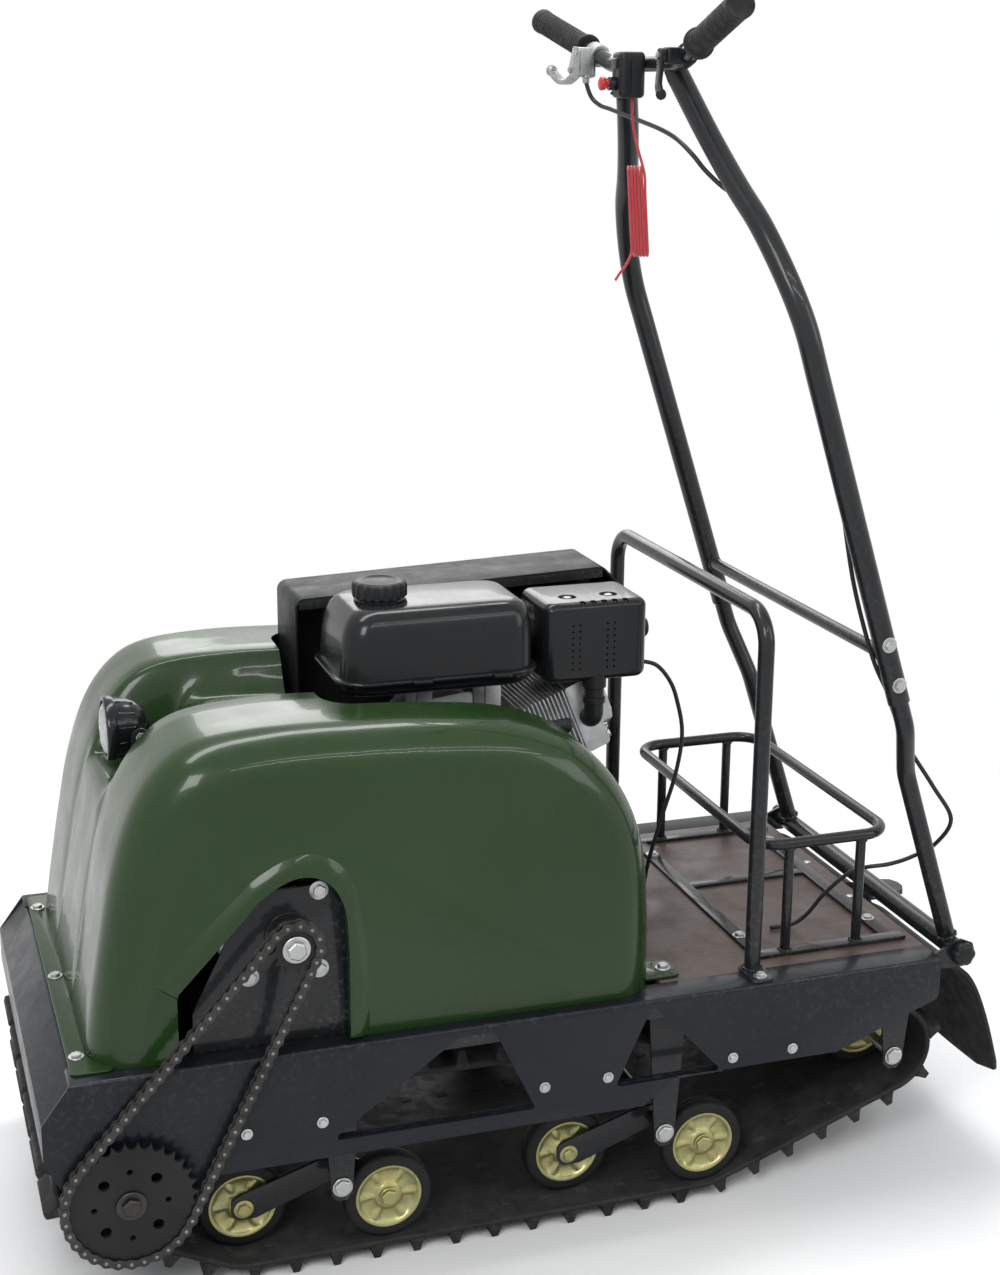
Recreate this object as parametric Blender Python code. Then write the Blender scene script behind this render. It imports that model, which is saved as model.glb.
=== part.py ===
"""Tracked snow tow vehicle with an upright tow handle, in metres with +Z up.

The vehicle drives toward -X, and its chain side faces -Y. The origin is on the ground, under the lug in the
middle of the track's ground run. Each object is one closed solid.
"""

import math

import bmesh
import bpy
from mathutils import Matrix, Vector

# Clearances
SEAT_GAP = 0.0003
SHAFT_GAP = 0.0004
BELT_SLACK = 0.0015
TRACK_CLEARANCE = 0.0192
HUB_GAP = 0.0005
MERGE = 0.00001
FLAT_ANGLE = math.radians(0.1)
SINK = 0.001

# Track and running gear
BELT_THICKNESS = 0.008
LUG_HEIGHT = 0.020
LUG_BASE = 0.020
LUG_TIP = 0.009
LUG_COUNT = 48
WHEEL_RADIUS = 0.060
WHEEL_WIDTH = 0.028
WHEEL_SIDES = 12
STUB_RADIUS = 0.008
DRIVE_AXLE_X = -0.551
DRIVE_AXLE_Z = 0.187
DRIVE_RADIUS = 0.079
DRIVE_TEETH = 8
DRIVE_WIDTH = 0.022
AXLE_RADIUS = 0.0125
IDLER_X = 0.533
IDLER_Z = 0.190
IDLER_OFFSET = 0.150
BOGIE_PIVOT_Z = 0.128
BOGIE_PIVOTS_X = (-0.272, 0.183)
BOGIE_LEAD = 0.122
BOGIE_TRAIL = 0.068
ARM_THICKNESS = 0.006
ARM_HALF_HEIGHT = 0.016
HANGER_THICKNESS = 0.004

# Chassis
BODY_HALF_WIDTH = 0.305
SHEET = 0.003
FRAME_TUBE = 0.025
DECK_THICKNESS = 0.012
TRACK_TOP = DRIVE_AXLE_Z + DRIVE_RADIUS + BELT_SLACK + BELT_THICKNESS + LUG_HEIGHT
FOLD_HEIGHT = TRACK_TOP + TRACK_CLEARANCE + FRAME_TUBE + SEAT_GAP + DECK_THICKNESS
PANEL_FRONT = -0.615
PANEL_REAR = 0.575
PANEL_DROP = 0.153
REAR_DROP = 0.118
FLANGE_WIDTH = 0.046
NOSE_REACH = 0.037
NOSE_DROP = 0.050
STRIP_HEIGHT = 0.022
BOLT_RADIUS = 0.0075
BOLT_HEIGHT = 0.005
DECK_FRONT = 0.172
STAND_LENGTH = 0.290
STAND_FRONT = -0.135
STAND_NEAR = 0.085
STAND_FAR = 0.100
STAND_TOP = 0.006
STAND_LEG = 0.024

# Places across the body
PANEL_INNER = BODY_HALF_WIDTH - SHEET
TUBE_OUTER = PANEL_INNER - SEAT_GAP
TUBE_INNER = TUBE_OUTER - FRAME_TUBE
FLANGE_INNER = BODY_HALF_WIDTH - FLANGE_WIDTH
TRACK_HALF_WIDTH = BODY_HALF_WIDTH - 0.055
HANGER_OFFSET = TRACK_HALF_WIDTH + 0.012
ARM_OFFSET = TRACK_HALF_WIDTH - 0.0375

# Heights of the frame
TUBE_TOP = FOLD_HEIGHT - SHEET - SEAT_GAP
TUBE_BOTTOM = TUBE_TOP - FRAME_TUBE
CROSS_TOP = FOLD_HEIGHT - DECK_THICKNESS - SEAT_GAP
CROSS_BOTTOM = CROSS_TOP - FRAME_TUBE
WHEEL_Z = WHEEL_RADIUS + BELT_SLACK + BELT_THICKNESS + LUG_HEIGHT
CROSS_REAR = PANEL_REAR - 0.030
CHASSIS_CROSS_X = (PANEL_FRONT + 0.030, -0.440, -0.240, -0.020, 0.200, 0.330, CROSS_REAR)

# Chain drive
CHAIN_PITCH = 0.015875
CHAIN_LINKS = 70
LARGE_TEETH = 32
SMALL_TEETH = 12
CHAIN_TILT = math.radians(55.7)
CHAIN_STANDOFF = 0.013
ROLLER_RADIUS = 0.0051
PLATE_PIN_HEIGHT = 0.0066
MINIMUM_BEND = math.radians(0.5)
PLATE_INNER = 0.0036
PLATE_OUTER = 0.0058
SPROCKET_THICKNESS = 0.006
TOOTH_HEIGHT = 0.003
LARGE_HUB_RADIUS = 0.030
SMALL_HUB_RADIUS = 0.020
JACKSHAFT_RADIUS = 0.0125
CHAIN_PLANE = BODY_HALF_WIDTH + CHAIN_STANDOFF
CHAIN_BASE = (DRIVE_AXLE_X, DRIVE_AXLE_Z)

# Engine
CRANK_X = -0.030
CRANK_Z = FOLD_HEIGHT + 0.250
CRANK_RADIUS = 0.0125
CYLINDER_TILT = math.radians(22)
ENGINE_BASE_Z = CRANK_Z - 0.132
BLOCK_NEAR = 0.065
BLOCK_FAR = 0.085
CYLINDER_END = 0.165
HEAD_END = 0.200
HEAD_FAR = 0.065
FIN_COUNT = 8
FIN_PITCH = 0.0088
RECOIL_RADIUS = 0.088
RECOIL_OUTER = -BLOCK_NEAR - 0.053
RECOIL_PULL_X = CRANK_X + 0.082
RECOIL_PULL_Y = RECOIL_OUTER - 0.014
RECOIL_PULL_Z = CRANK_Z + 0.060

# Belt drive
PULLEY_NEAR = BLOCK_FAR + 0.027
PULLEY_WIDTH = 0.050
DRIVE_PULLEY_RADIUS = 0.075
DRIVEN_PULLEY_RADIUS = 0.098
BELT_WIDTH = 0.018
BELT_DEPTH = 0.011
IDLE_DRIVE_RADIUS = 0.040
IDLE_DRIVEN_RADIUS = 0.092

# Fuel tank, from the crankshaft's middle
TANK_CENTRE = (CRANK_X - 0.0625, -0.040)
TANK_SIZE = (0.265, 0.170)
TANK_BOTTOM_Z = CRANK_Z + 0.140
TANK_SEAM_Z = TANK_BOTTOM_Z + 0.023
TANK_TOP_Z = TANK_BOTTOM_Z + 0.116
CAP_SPOT = (TANK_CENTRE[0] - 0.0625, TANK_CENTRE[1])
CAP_RADIUS = 0.037
CAP_HEIGHT = 0.022

# Air cleaner and its pipe
CLEANER_FRONT = CRANK_X + 0.092
CLEANER_REAR = CLEANER_FRONT + 0.150
CLEANER_NEAR = -0.090
CLEANER_FAR = 0.025
CLEANER_BOTTOM = CRANK_Z + 0.128
CLEANER_TOP = CLEANER_BOTTOM + 0.112
ELBOW_SPOT = (CRANK_X + 0.170, -0.074)
ELBOW_LOW = CRANK_Z + 0.068

# Silencer and belt guard
MUFFLER_FRONT = CRANK_X + 0.105
MUFFLER_LENGTH = 0.140
MUFFLER_NEAR = BLOCK_FAR + 0.003
MUFFLER_WIDTH = 0.076
MUFFLER_BOTTOM = CRANK_Z + 0.098
MUFFLER_HEIGHT = 0.106
MUFFLER_CORNER = 0.030
GUARD_FRONT = CRANK_X - 0.215
GUARD_REAR = CRANK_X + 0.265
GUARD_NEAR = BLOCK_FAR - 0.013
GUARD_FAR = PULLEY_NEAR + PULLEY_WIDTH + 0.028
GUARD_TOP = CRANK_Z + 0.248
GUARD_BOTTOM = CRANK_Z - 0.042
GUARD_NOSE_Z = CRANK_Z + 0.048

# Bearing plates and brake
PLATE_THICKNESS = 0.004
BEARING_RING = 0.012
RIGHT_PLATE_Y = PULLEY_NEAR + PULLEY_WIDTH + 0.034
LEFT_PLATE_Y = BODY_HALF_WIDTH - 0.0365
PLATE_FRONT = -0.460
PLATE_REAR = -0.262
SMALL_HUB_END = -(LEFT_PLATE_Y + PLATE_THICKNESS + BEARING_RING + HUB_GAP)
DISC_RADIUS = 0.072
DISC_HALF = 0.002
DISC_Y = -(LEFT_PLATE_Y - 0.0435)

# Hood
HOOD_HALF_WIDTH = BODY_HALF_WIDTH - 0.019
HOOD_SHELL = 0.004
HOOD_EDGE_RADIUS = 0.060
CHANNEL_HALF_WIDTH = 0.082
OPENING_FRONT = PLATE_REAR
OPENING_NEAR_EDGE = 0.168
OPENING_FAR = 0.197
OPENING_REAR = 0.300
LEDGE_HEIGHT = 0.289

# Headlight
LAMP_X = -0.490
LAMP_RADIUS = 0.043
LAMP_DEPTH = 0.060
LAMP_LIFT = 0.014
LAMP_LEDGE_Z = FOLD_HEIGHT + LEDGE_HEIGHT
LAMP_Z = LAMP_LEDGE_Z + LAMP_RADIUS + LAMP_LIFT
LAMP_PIVOT_X = LAMP_X + 0.012

# Rack
HOOP_X = 0.306
HOOP_HALF_WIDTH = BODY_HALF_WIDTH - 0.043
HOOP_TOP = FOLD_HEIGHT + 0.503
HOOP_TUBE = 0.011
HOOP_BEND = 0.045
RING_FRONT = 0.330
RING_REAR = 0.530
RING_HALF_WIDTH = BODY_HALF_WIDTH - 0.083
RING_HEIGHT = FOLD_HEIGHT + 0.163
RING_TUBE = 0.008
RING_CORNER = 0.040
BAR_WIDTH = 0.020
BAR_HEIGHT = 0.005

# Handle
PIVOT_X = PANEL_REAR + 0.045
PIVOT_Z = FOLD_HEIGHT - 0.007
HANDLE_LEAN = math.radians(18.2)
LOWER_TUBE = 0.0125
PIVOT_TUBE = 0.0140
UPPER_TUBE = 0.0150
BASE_HALF_WIDTH = TUBE_INNER - 0.0287
POST_HALF_WIDTH = 0.282
FLARE_START = 0.28
FLARE_END = 0.36
SLEEVE_START = 0.40
LOWER_END = 0.62
CROSSBAR_AT = 0.470
SHOULDER_AT = 0.93
BAR_TUBE = 0.011
BAR_AT = 1.2627
BAR_FORWARD = 0.0048
BAR_X = PIVOT_X - BAR_AT * math.sin(HANDLE_LEAN) - BAR_FORWARD * math.cos(HANDLE_LEAN)
BAR_Z = PIVOT_Z + BAR_AT * math.cos(HANDLE_LEAN) - BAR_FORWARD * math.sin(HANDLE_LEAN)
BAR_STRAIGHT = 0.112
BAR_END = (BAR_X - 0.022, 0.335, BAR_Z + 0.061)
GRIP_START = 0.188
GRIP_RADIUS = 0.0165
KNOB_RADIUS = 0.017
PIN_RADIUS = 0.008
EAR_THICKNESS = 0.004

# Flap
FLAP_TOP = (PIVOT_X + 0.014, FOLD_HEIGHT - 0.034)
FLAP_BOTTOM = (PIVOT_X + 0.092, FOLD_HEIGHT - 0.232)
FLAP_THICKNESS = 0.005
FLAP_HALF_WIDTH = BODY_HALF_WIDTH - 0.043
NOTCH_HALF_WIDTH = 0.034
NOTCH_DEPTH = 0.050

# Tow hitch
HITCH_X = PIVOT_X + 0.036
HITCH_END = HITCH_X + 0.028
HITCH_HALF_WIDTH = 0.028
HITCH_BOTTOM = CROSS_BOTTOM + 0.0053
HITCH_THICKNESS = 0.008
HITCH_HOLE_RADIUS = 0.008

# Hood outlines: x, and height over the fold
HOOD_PROFILE = (
    (-0.590, 0.000),
    (-0.578, 0.078),
    (-0.562, 0.168),
    (-0.545, 0.248),
    (-0.518, 0.323),
    (-0.480, 0.373),
    (-0.430, 0.398),
    (-0.340, 0.406),
    (-0.240, 0.404),
    (-0.150, 0.399),
    (-0.036, 0.385),
    (0.045, 0.353),
    (0.100, 0.303),
    (0.135, 0.243),
    (0.152, 0.178),
    (0.158, 0.098),
    (0.160, 0.000),
)
HOOD_MIDDLE = (
    (-0.590, 0.000),
    (-0.578, 0.078),
    (-0.562, 0.168),
    (-0.548, 0.233),
    (-0.535, 0.280),
    (-0.510, 0.289),
    (-0.412, 0.289),
    (-0.396, 0.348),
    (-0.240, 0.348),
    (-0.150, 0.343),
    (-0.036, 0.329),
    (0.030, 0.303),
    (0.075, 0.263),
    (0.115, 0.218),
    (0.140, 0.168),
    (0.155, 0.098),
    (0.160, 0.000),
)
ARCH = (
    (-0.480, 0.094),
    (-0.403, 0.175),
    (-0.375, 0.205),
    (-0.334, 0.227),
    (-0.298, 0.222),
    (-0.274, 0.192),
    (-0.266, 0.140),
    (-0.265, 0.008),
)

ARCH_MIDDLE = (-0.365, 0.048)

# Handle details and cords
NECK_LINE = (
    (0.930, 0.281),
    (0.990, 0.262),
    (1.055, 0.226),
    (1.105, 0.182),
    (1.170, 0.134),
    (1.245, 0.088),
)
PERCH_Y = 0.160
THROTTLE_Y = -0.140
SWITCH_Y = -0.018
STOP_TRAVEL = 0.004
CABLE_RADIUS = 0.0030
LANYARD_RADIUS = 0.0018
UPPER_CABLE = (
    (0.1983, 0.1540, 1.5200),
    (0.2040, 0.1480, 1.5000),
    (0.2100, 0.1300, 1.4890),
    (0.2135, 0.1000, 1.4842),
    (0.2191, 0.0300, 1.4733),
    (0.2247, -0.0500, 1.4607),
    (0.2289, -0.1000, 1.4481),
    (0.2363, -0.1350, 1.4290),
    (0.2475, -0.1440, 1.4130),
    (0.2640, -0.1560, 1.3950),
    (0.2840, -0.1740, 1.3760),
    (0.3027, -0.2110, 1.3426),
    (0.3224, -0.2470, 1.2827),
    (0.3420, -0.2650, 1.2270),
    (0.3580, -0.2666, 1.1745),
    (0.3920, -0.2650, 1.0550),
    (0.4150, -0.2600, 0.9500),
    (0.4390, -0.2500, 0.8700),
    (0.4585, -0.2695, 0.7868),
    (0.4855, -0.2640, 0.7377),
)
LOWER_CABLE = (
    (0.4880, -0.2635, 0.7310),
    (0.5060, -0.2620, 0.6900),
    (0.5330, -0.2450, 0.6500),
    (0.5780, -0.2470, 0.5850),
    (0.6083, -0.2500, 0.5346),
    (0.5960, -0.2340, 0.4930),
    (0.5660, -0.2240, 0.4735),
    (0.5356, -0.2150, 0.4625),
    (0.4947, -0.1900, 0.4480),
    (0.4640, -0.1680, 0.4100),
    (0.4420, -0.1560, 0.3740),
    (0.4200, -0.1500, 0.3580),
    (0.3900, -0.1460, 0.3556),
)
CONTROL_CABLE = (
    (0.2135, -0.060, 0.745),
    (0.240, -0.056, 0.735),
    (0.262, -0.052, 0.710),
    (0.275, -0.050, 0.680),
    (0.285, -0.050, 0.630),
    (0.280, -0.045, 0.570),
    (0.262, -0.040, 0.500),
    (0.245, -0.035, 0.430),
    (0.235, -0.030, 0.3536),
)
LANYARD_START = (
    (0.1980, -0.0180, 1.4987),
    (0.1980, -0.0180, 1.4930),
    (0.1990, -0.0190, 1.4700),
    (0.2040, -0.0230, 1.4400),
)
LANYARD_END = (
    (0.1960, -0.0240, 1.2920),
    (0.1920, -0.0200, 1.2820),
    (0.1880, -0.0140, 1.2740),
    (0.1840, -0.0080, 1.2640),
)

# The red cord's hank
HANK_MIDDLE = (0.2040, -0.0220, 1.3545)
HANK_LENGTH = 0.115
HANK_LOOPS = 5
HANK_POINTS = 24
HANK_FOLD_POINTS = 8
HANK_FOLD = 0.0072
HANK_PITCH = 0.0042
HANK_LEAN = 0.008
HANK_FACING = math.radians(-18.5)

COLOURS = {
    "black_paint": (0.020, 0.021, 0.023, 0.0, 0.45),
    "sheet_steel": (0.030, 0.034, 0.040, 0.0, 0.40),
    "green_gelcoat": (0.045, 0.095, 0.040, 0.0, 0.15),
    "rubber": (0.015, 0.015, 0.015, 0.0, 0.80),
    "zinc": (0.55, 0.50, 0.30, 0.8, 0.35),
    "steel": (0.45, 0.45, 0.46, 0.9, 0.35),
    "aluminium": (0.62, 0.63, 0.64, 0.8, 0.35),
    "plywood": (0.055, 0.035, 0.028, 0.0, 0.60),
    "plastic": (0.025, 0.027, 0.030, 0.0, 0.35),
    "clear_lens": (0.75, 0.78, 0.80, 0.1, 0.10),
    "red_cord": (0.45, 0.02, 0.03, 0.0, 0.55),
}


def clear_scene():
    for obj in list(bpy.data.objects):
        bpy.data.objects.remove(obj, do_unlink=True)


def material(name):
    found = bpy.data.materials.get(name)
    if found:
        return found
    red, green, blue, metallic, roughness = COLOURS[name]
    made = bpy.data.materials.new(name)
    made.use_nodes = True
    shader = made.node_tree.nodes["Principled BSDF"]
    shader.inputs["Base Color"].default_value = (red, green, blue, 1.0)
    shader.inputs["Metallic"].default_value = metallic
    shader.inputs["Roughness"].default_value = roughness
    return made


def from_bmesh(name, shape):
    """Links a new object that holds the bmesh, with its faces pointing out."""
    bmesh.ops.recalc_face_normals(shape, faces=shape.faces)
    mesh = bpy.data.meshes.new(name)
    shape.to_mesh(mesh)
    shape.free()
    obj = bpy.data.objects.new(name, mesh)
    bpy.context.scene.collection.objects.link(obj)
    return obj


def finish(obj, name, finish_name, sharp=35):
    """Names a finished solid, gives it its material and shades its round faces smooth."""
    obj.name = name
    obj.data.name = name
    obj.data.materials.clear()
    obj.data.materials.append(material(finish_name))
    if obj.type == "MESH":
        obj.data.shade_smooth()
        obj.data.set_sharp_from_angle(angle=math.radians(sharp))
    return obj


def bake(obj):
    """Replaces the object's mesh by the one that its modifiers make."""
    graph = bpy.context.evaluated_depsgraph_get()
    mesh = bpy.data.meshes.new_from_object(obj.evaluated_get(graph))
    obj.modifiers.clear()
    obj.data = mesh
    return obj


def weld(obj):
    """Merges points that a Boolean left on each other, and splits its faces into triangles."""
    shape = bmesh.new()
    shape.from_mesh(obj.data)
    bmesh.ops.remove_doubles(shape, verts=shape.verts, dist=MERGE)
    bmesh.ops.dissolve_limit(shape, angle_limit=FLAT_ANGLE, verts=shape.verts, edges=shape.edges)
    bmesh.ops.triangulate(shape, faces=shape.faces)
    shape.to_mesh(obj.data)
    shape.free()
    return obj


def combine(target, tools, operation):
    for tool in tools:
        modifier = target.modifiers.new(operation.lower(), "BOOLEAN")
        modifier.operation = operation
        modifier.object = tool
        modifier.solver = "EXACT"
    bake(target)
    for tool in tools:
        bpy.data.objects.remove(tool, do_unlink=True)
    return weld(target)


def join(target, *tools):
    return combine(target, tools, "UNION")


def cut(target, *tools):
    return combine(target, tools, "DIFFERENCE")


def place(obj, matrix):
    obj.data.transform(matrix)
    return obj


def prism(outline, start, end, axis="Y"):
    """A closed outline extruded along an axis: (x, z) along Y, (y, z) along X and (x, y) along Z."""
    shape = bmesh.new()
    rings = []
    for level in (start, end):
        ring = []
        for first, second in outline:
            if axis == "Y":
                spot = (first, level, second)
            elif axis == "X":
                spot = (level, first, second)
            else:
                spot = (first, second, level)
            ring.append(shape.verts.new(spot))
        rings.append(ring)
    for ring in rings:
        shape.faces.new(ring)
    count = len(outline)
    for index in range(count):
        after = (index + 1) % count
        shape.faces.new((rings[0][index], rings[0][after], rings[1][after], rings[1][index]))
    return from_bmesh("prism", shape)


def box(low, high):
    outline = [(low[0], low[1]), (high[0], low[1]), (high[0], high[1]), (low[0], high[1])]
    return prism(outline, low[2], high[2], "Z")


def bevel(obj, width, segments=2, angle=40):
    modifier = obj.modifiers.new("bevel", "BEVEL")
    modifier.width = width
    modifier.segments = segments
    modifier.limit_method = "ANGLE"
    modifier.angle_limit = math.radians(angle)
    return bake(obj)


def circle(centre, radius, sides, phase=0.0):
    points = []
    for index in range(sides):
        angle = phase + math.tau * index / sides
        points.append((centre[0] + radius * math.cos(angle), centre[1] + radius * math.sin(angle)))
    return points


def rod(centre, radius, start, end, sides=10, axis="Y"):
    return prism(circle(centre, radius, sides), start, end, axis)


def turned(profile, centre, sides, axis="Y"):
    """A closed profile of (radius, along) spun about an axis through the centre. No point is on the axis."""
    shape = bmesh.new()
    rings = []
    for index in range(sides):
        angle = math.tau * index / sides
        ring = []
        for radius, along in profile:
            first = centre[0] + radius * math.cos(angle)
            second = centre[1] + radius * math.sin(angle)
            if axis == "Y":
                spot = (first, along, second)
            elif axis == "X":
                spot = (along, first, second)
            else:
                spot = (first, second, along)
            ring.append(shape.verts.new(spot))
        rings.append(ring)
    count = len(profile)
    for index in range(sides):
        here, there = rings[index], rings[(index + 1) % sides]
        for step in range(count):
            after = (step + 1) % count
            shape.faces.new((here[step], here[after], there[after], there[step]))
    return from_bmesh("turned", shape)


def smooth_line(points, closed=False, steps=6):
    """Points of a Catmull-Rom curve through the given points."""
    spots = [Vector(point) for point in points]
    count = len(spots)
    runs = count if closed else count - 1
    line = []
    for index in range(runs):
        before = spots[(index - 1) % count] if closed or index else spots[0] * 2 - spots[1]
        start = spots[index]
        end = spots[(index + 1) % count]
        last = closed or index + 2 < count
        beyond = spots[(index + 2) % count] if last else spots[-1] * 2 - spots[-2]
        for step in range(steps):
            t = step / steps
            line.append(
                0.5
                * (
                    2 * start
                    + (end - before) * t
                    + (2 * before - 5 * start + 4 * end - beyond) * t**2
                    + (3 * start - before - 3 * end + beyond) * t**3
                )
            )
    if not closed:
        line.append(spots[-1])
    return line


def rounded_path(points, radius, steps=4):
    """A path whose inner corners are arcs of about the given radius."""
    spots = [Vector(point) for point in points]
    line = [spots[0]]
    for before, corner, after in zip(spots, spots[1:], spots[2:]):
        toward = (before - corner).normalized()
        away = (after - corner).normalized()
        turn = math.pi - toward.angle(away)
        cutback = radius * math.tan(turn / 2)
        start = corner + toward * cutback
        end = corner + away * cutback
        middle = (toward + away).normalized()
        centre = corner + middle * (radius / math.cos(turn / 2))
        for step in range(steps + 1):
            share = step / steps
            arm = (start - centre).slerp(end - centre, share)
            line.append(centre + arm.normalized() * radius)
    line.append(spots[-1])
    return line


def sweep(points, radius, sides=12, closed=False):
    """A round tube along a path, with its ends filled."""
    spots = [Vector(point) for point in points]
    count = len(spots)
    shape = bmesh.new()
    rings = []
    side = None
    for index, spot in enumerate(spots):
        before = spots[index - 1] if closed or index else spot
        after = spots[(index + 1) % count] if closed or index + 1 < count else spot
        along = (after - before).normalized()
        if side is None:
            side = along.cross(Vector((0.31, 0.17, 0.93))).normalized()
        else:
            side = (side - along * side.dot(along)).normalized()
        other = along.cross(side)
        stretch = 1.0
        if before is not spot and after is not spot:
            bend = (spot - before).angle(after - spot)
            stretch = 1.0 / math.cos(bend / 2)
        ring = []
        for step in range(sides):
            angle = math.tau * step / sides
            ring.append(shape.verts.new(spot + (side * math.cos(angle) + other * math.sin(angle)) * radius * stretch))
        rings.append(ring)
    runs = count if closed else count - 1
    for index in range(runs):
        here, there = rings[index], rings[(index + 1) % count]
        for step in range(sides):
            after = (step + 1) % sides
            shape.faces.new((here[step], here[after], there[after], there[step]))
    if not closed:
        shape.faces.new(rings[0])
        shape.faces.new(rings[-1])
    return from_bmesh("sweep", shape)


def cord(name, points, radius, finish_name, resolution=2):
    """A cord as a curve with a round bevel and filled ends."""
    data = bpy.data.curves.new(name, "CURVE")
    data.dimensions = "3D"
    data.bevel_depth = radius
    data.bevel_resolution = resolution
    data.use_fill_caps = True
    spline = data.splines.new("POLY")
    spline.points.add(len(points) - 1)
    for spot, point in zip(spline.points, points):
        spot.co = (*point, 1.0)
    obj = bpy.data.objects.new(name, data)
    bpy.context.scene.collection.objects.link(obj)
    data.materials.append(material(finish_name))
    return obj


def hex_head(centre, side, face, radius=BOLT_RADIUS, height=BOLT_HEIGHT):
    """A bolt head on a face that looks toward side * Y, sunk a little so that it joins what carries it."""
    return rod(centre, radius, side * (face - SINK), side * (face + height), 6)


def side_panel(side, name):
    """A side panel: an upright sheet with two triangular windows, a top fold, bolt heads and an axle bearing."""
    bottom = FOLD_HEIGHT - PANEL_DROP
    rear_bottom = FOLD_HEIGHT - REAR_DROP
    nose = PANEL_FRONT - NOSE_REACH
    reach = AXLE_RADIUS + 0.042
    outline = [
        (PANEL_FRONT, FOLD_HEIGHT),
        (nose, FOLD_HEIGHT - NOSE_DROP),
        (nose, FOLD_HEIGHT - NOSE_DROP * 2),
        (DRIVE_AXLE_X - reach, DRIVE_AXLE_Z - reach / 2),
        (DRIVE_AXLE_X - reach / 2, DRIVE_AXLE_Z - reach),
        (DRIVE_AXLE_X + reach / 2, DRIVE_AXLE_Z - reach),
        (DRIVE_AXLE_X + 2 * reach, bottom),
        (0.134, bottom),
        (0.180, rear_bottom),
        (0.420, rear_bottom),
        (PANEL_REAR, FOLD_HEIGHT - REAR_DROP / 2),
        (PANEL_REAR, FOLD_HEIGHT),
    ]
    near, far = sorted((side * PANEL_INNER, side * BODY_HALF_WIDTH))
    plate = prism(outline, near, far)
    under_fold = FOLD_HEIGHT - 0.012
    strip_top = bottom + STRIP_HEIGHT
    windows = (
        [(-0.296, strip_top), (-0.020, strip_top), (-0.077, under_fold), (-0.125, under_fold)],
        [(0.092, rear_bottom), (0.246, rear_bottom), (0.148, under_fold), (0.140, under_fold)],
    )
    cutters = [prism(window, near - SHEET, far + SHEET) for window in windows]
    cutters.append(rod((DRIVE_AXLE_X, DRIVE_AXLE_Z), AXLE_RADIUS + 0.010, near - SHEET, far + SHEET, 16))
    cut(plate, *cutters)
    low, high = sorted((side * FLANGE_INNER, side * BODY_HALF_WIDTH))
    fold = box((PANEL_FRONT, low, FOLD_HEIGHT - SHEET), (PANEL_REAR, high, FOLD_HEIGHT))
    bearing = turned(
        [
            (AXLE_RADIUS + SHAFT_GAP, side * (PANEL_INNER - 0.014)),
            (AXLE_RADIUS + SHAFT_GAP, side * (BODY_HALF_WIDTH + 0.0002)),
            (AXLE_RADIUS + 0.011, side * (BODY_HALF_WIDTH + 0.0002)),
            (AXLE_RADIUS + 0.011, side * (PANEL_INNER + SINK)),
            (AXLE_RADIUS + 0.026, side * (PANEL_INNER + SINK)),
            (AXLE_RADIUS + 0.026, side * (PANEL_INNER - 0.006)),
            (AXLE_RADIUS + 0.014, side * (PANEL_INNER - 0.014)),
        ],
        CHAIN_BASE,
        14,
    )
    bolt_height = FOLD_HEIGHT - 0.102
    heads = []
    for spot in (-0.403, -0.306, -0.008, 0.081, 0.262, 0.351):
        heads.append(hex_head((spot, bolt_height), side, BODY_HALF_WIDTH))
    join(plate, fold, bearing, *heads)
    return finish(plate, name, "sheet_steel")


def front_plate():
    """The folded plate across the nose, between the side panels."""
    inner = PANEL_INNER - SEAT_GAP
    nose = PANEL_FRONT - NOSE_REACH
    top = FOLD_HEIGHT - SHEET - SEAT_GAP
    outline = [
        (PANEL_FRONT + 0.016, top),
        (PANEL_FRONT + 0.001, top),
        (nose, FOLD_HEIGHT - NOSE_DROP),
        (nose, FOLD_HEIGHT - NOSE_DROP * 2),
        (nose + SHEET, FOLD_HEIGHT - NOSE_DROP * 2),
        (nose + SHEET, FOLD_HEIGHT - NOSE_DROP - 0.001),
        (PANEL_FRONT + 0.003, top - SHEET),
        (PANEL_FRONT + 0.016, top - SHEET),
    ]
    plate = prism(outline, -inner, inner)
    return finish(plate, "front_plate", "sheet_steel", 20)


def bored_plate(outline, start, end, hole, radius):
    plate = prism(outline, start, end)
    return cut(plate, rod(hole, radius, min(start, end) - SHEET, max(start, end) + SHEET, 12))


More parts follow.
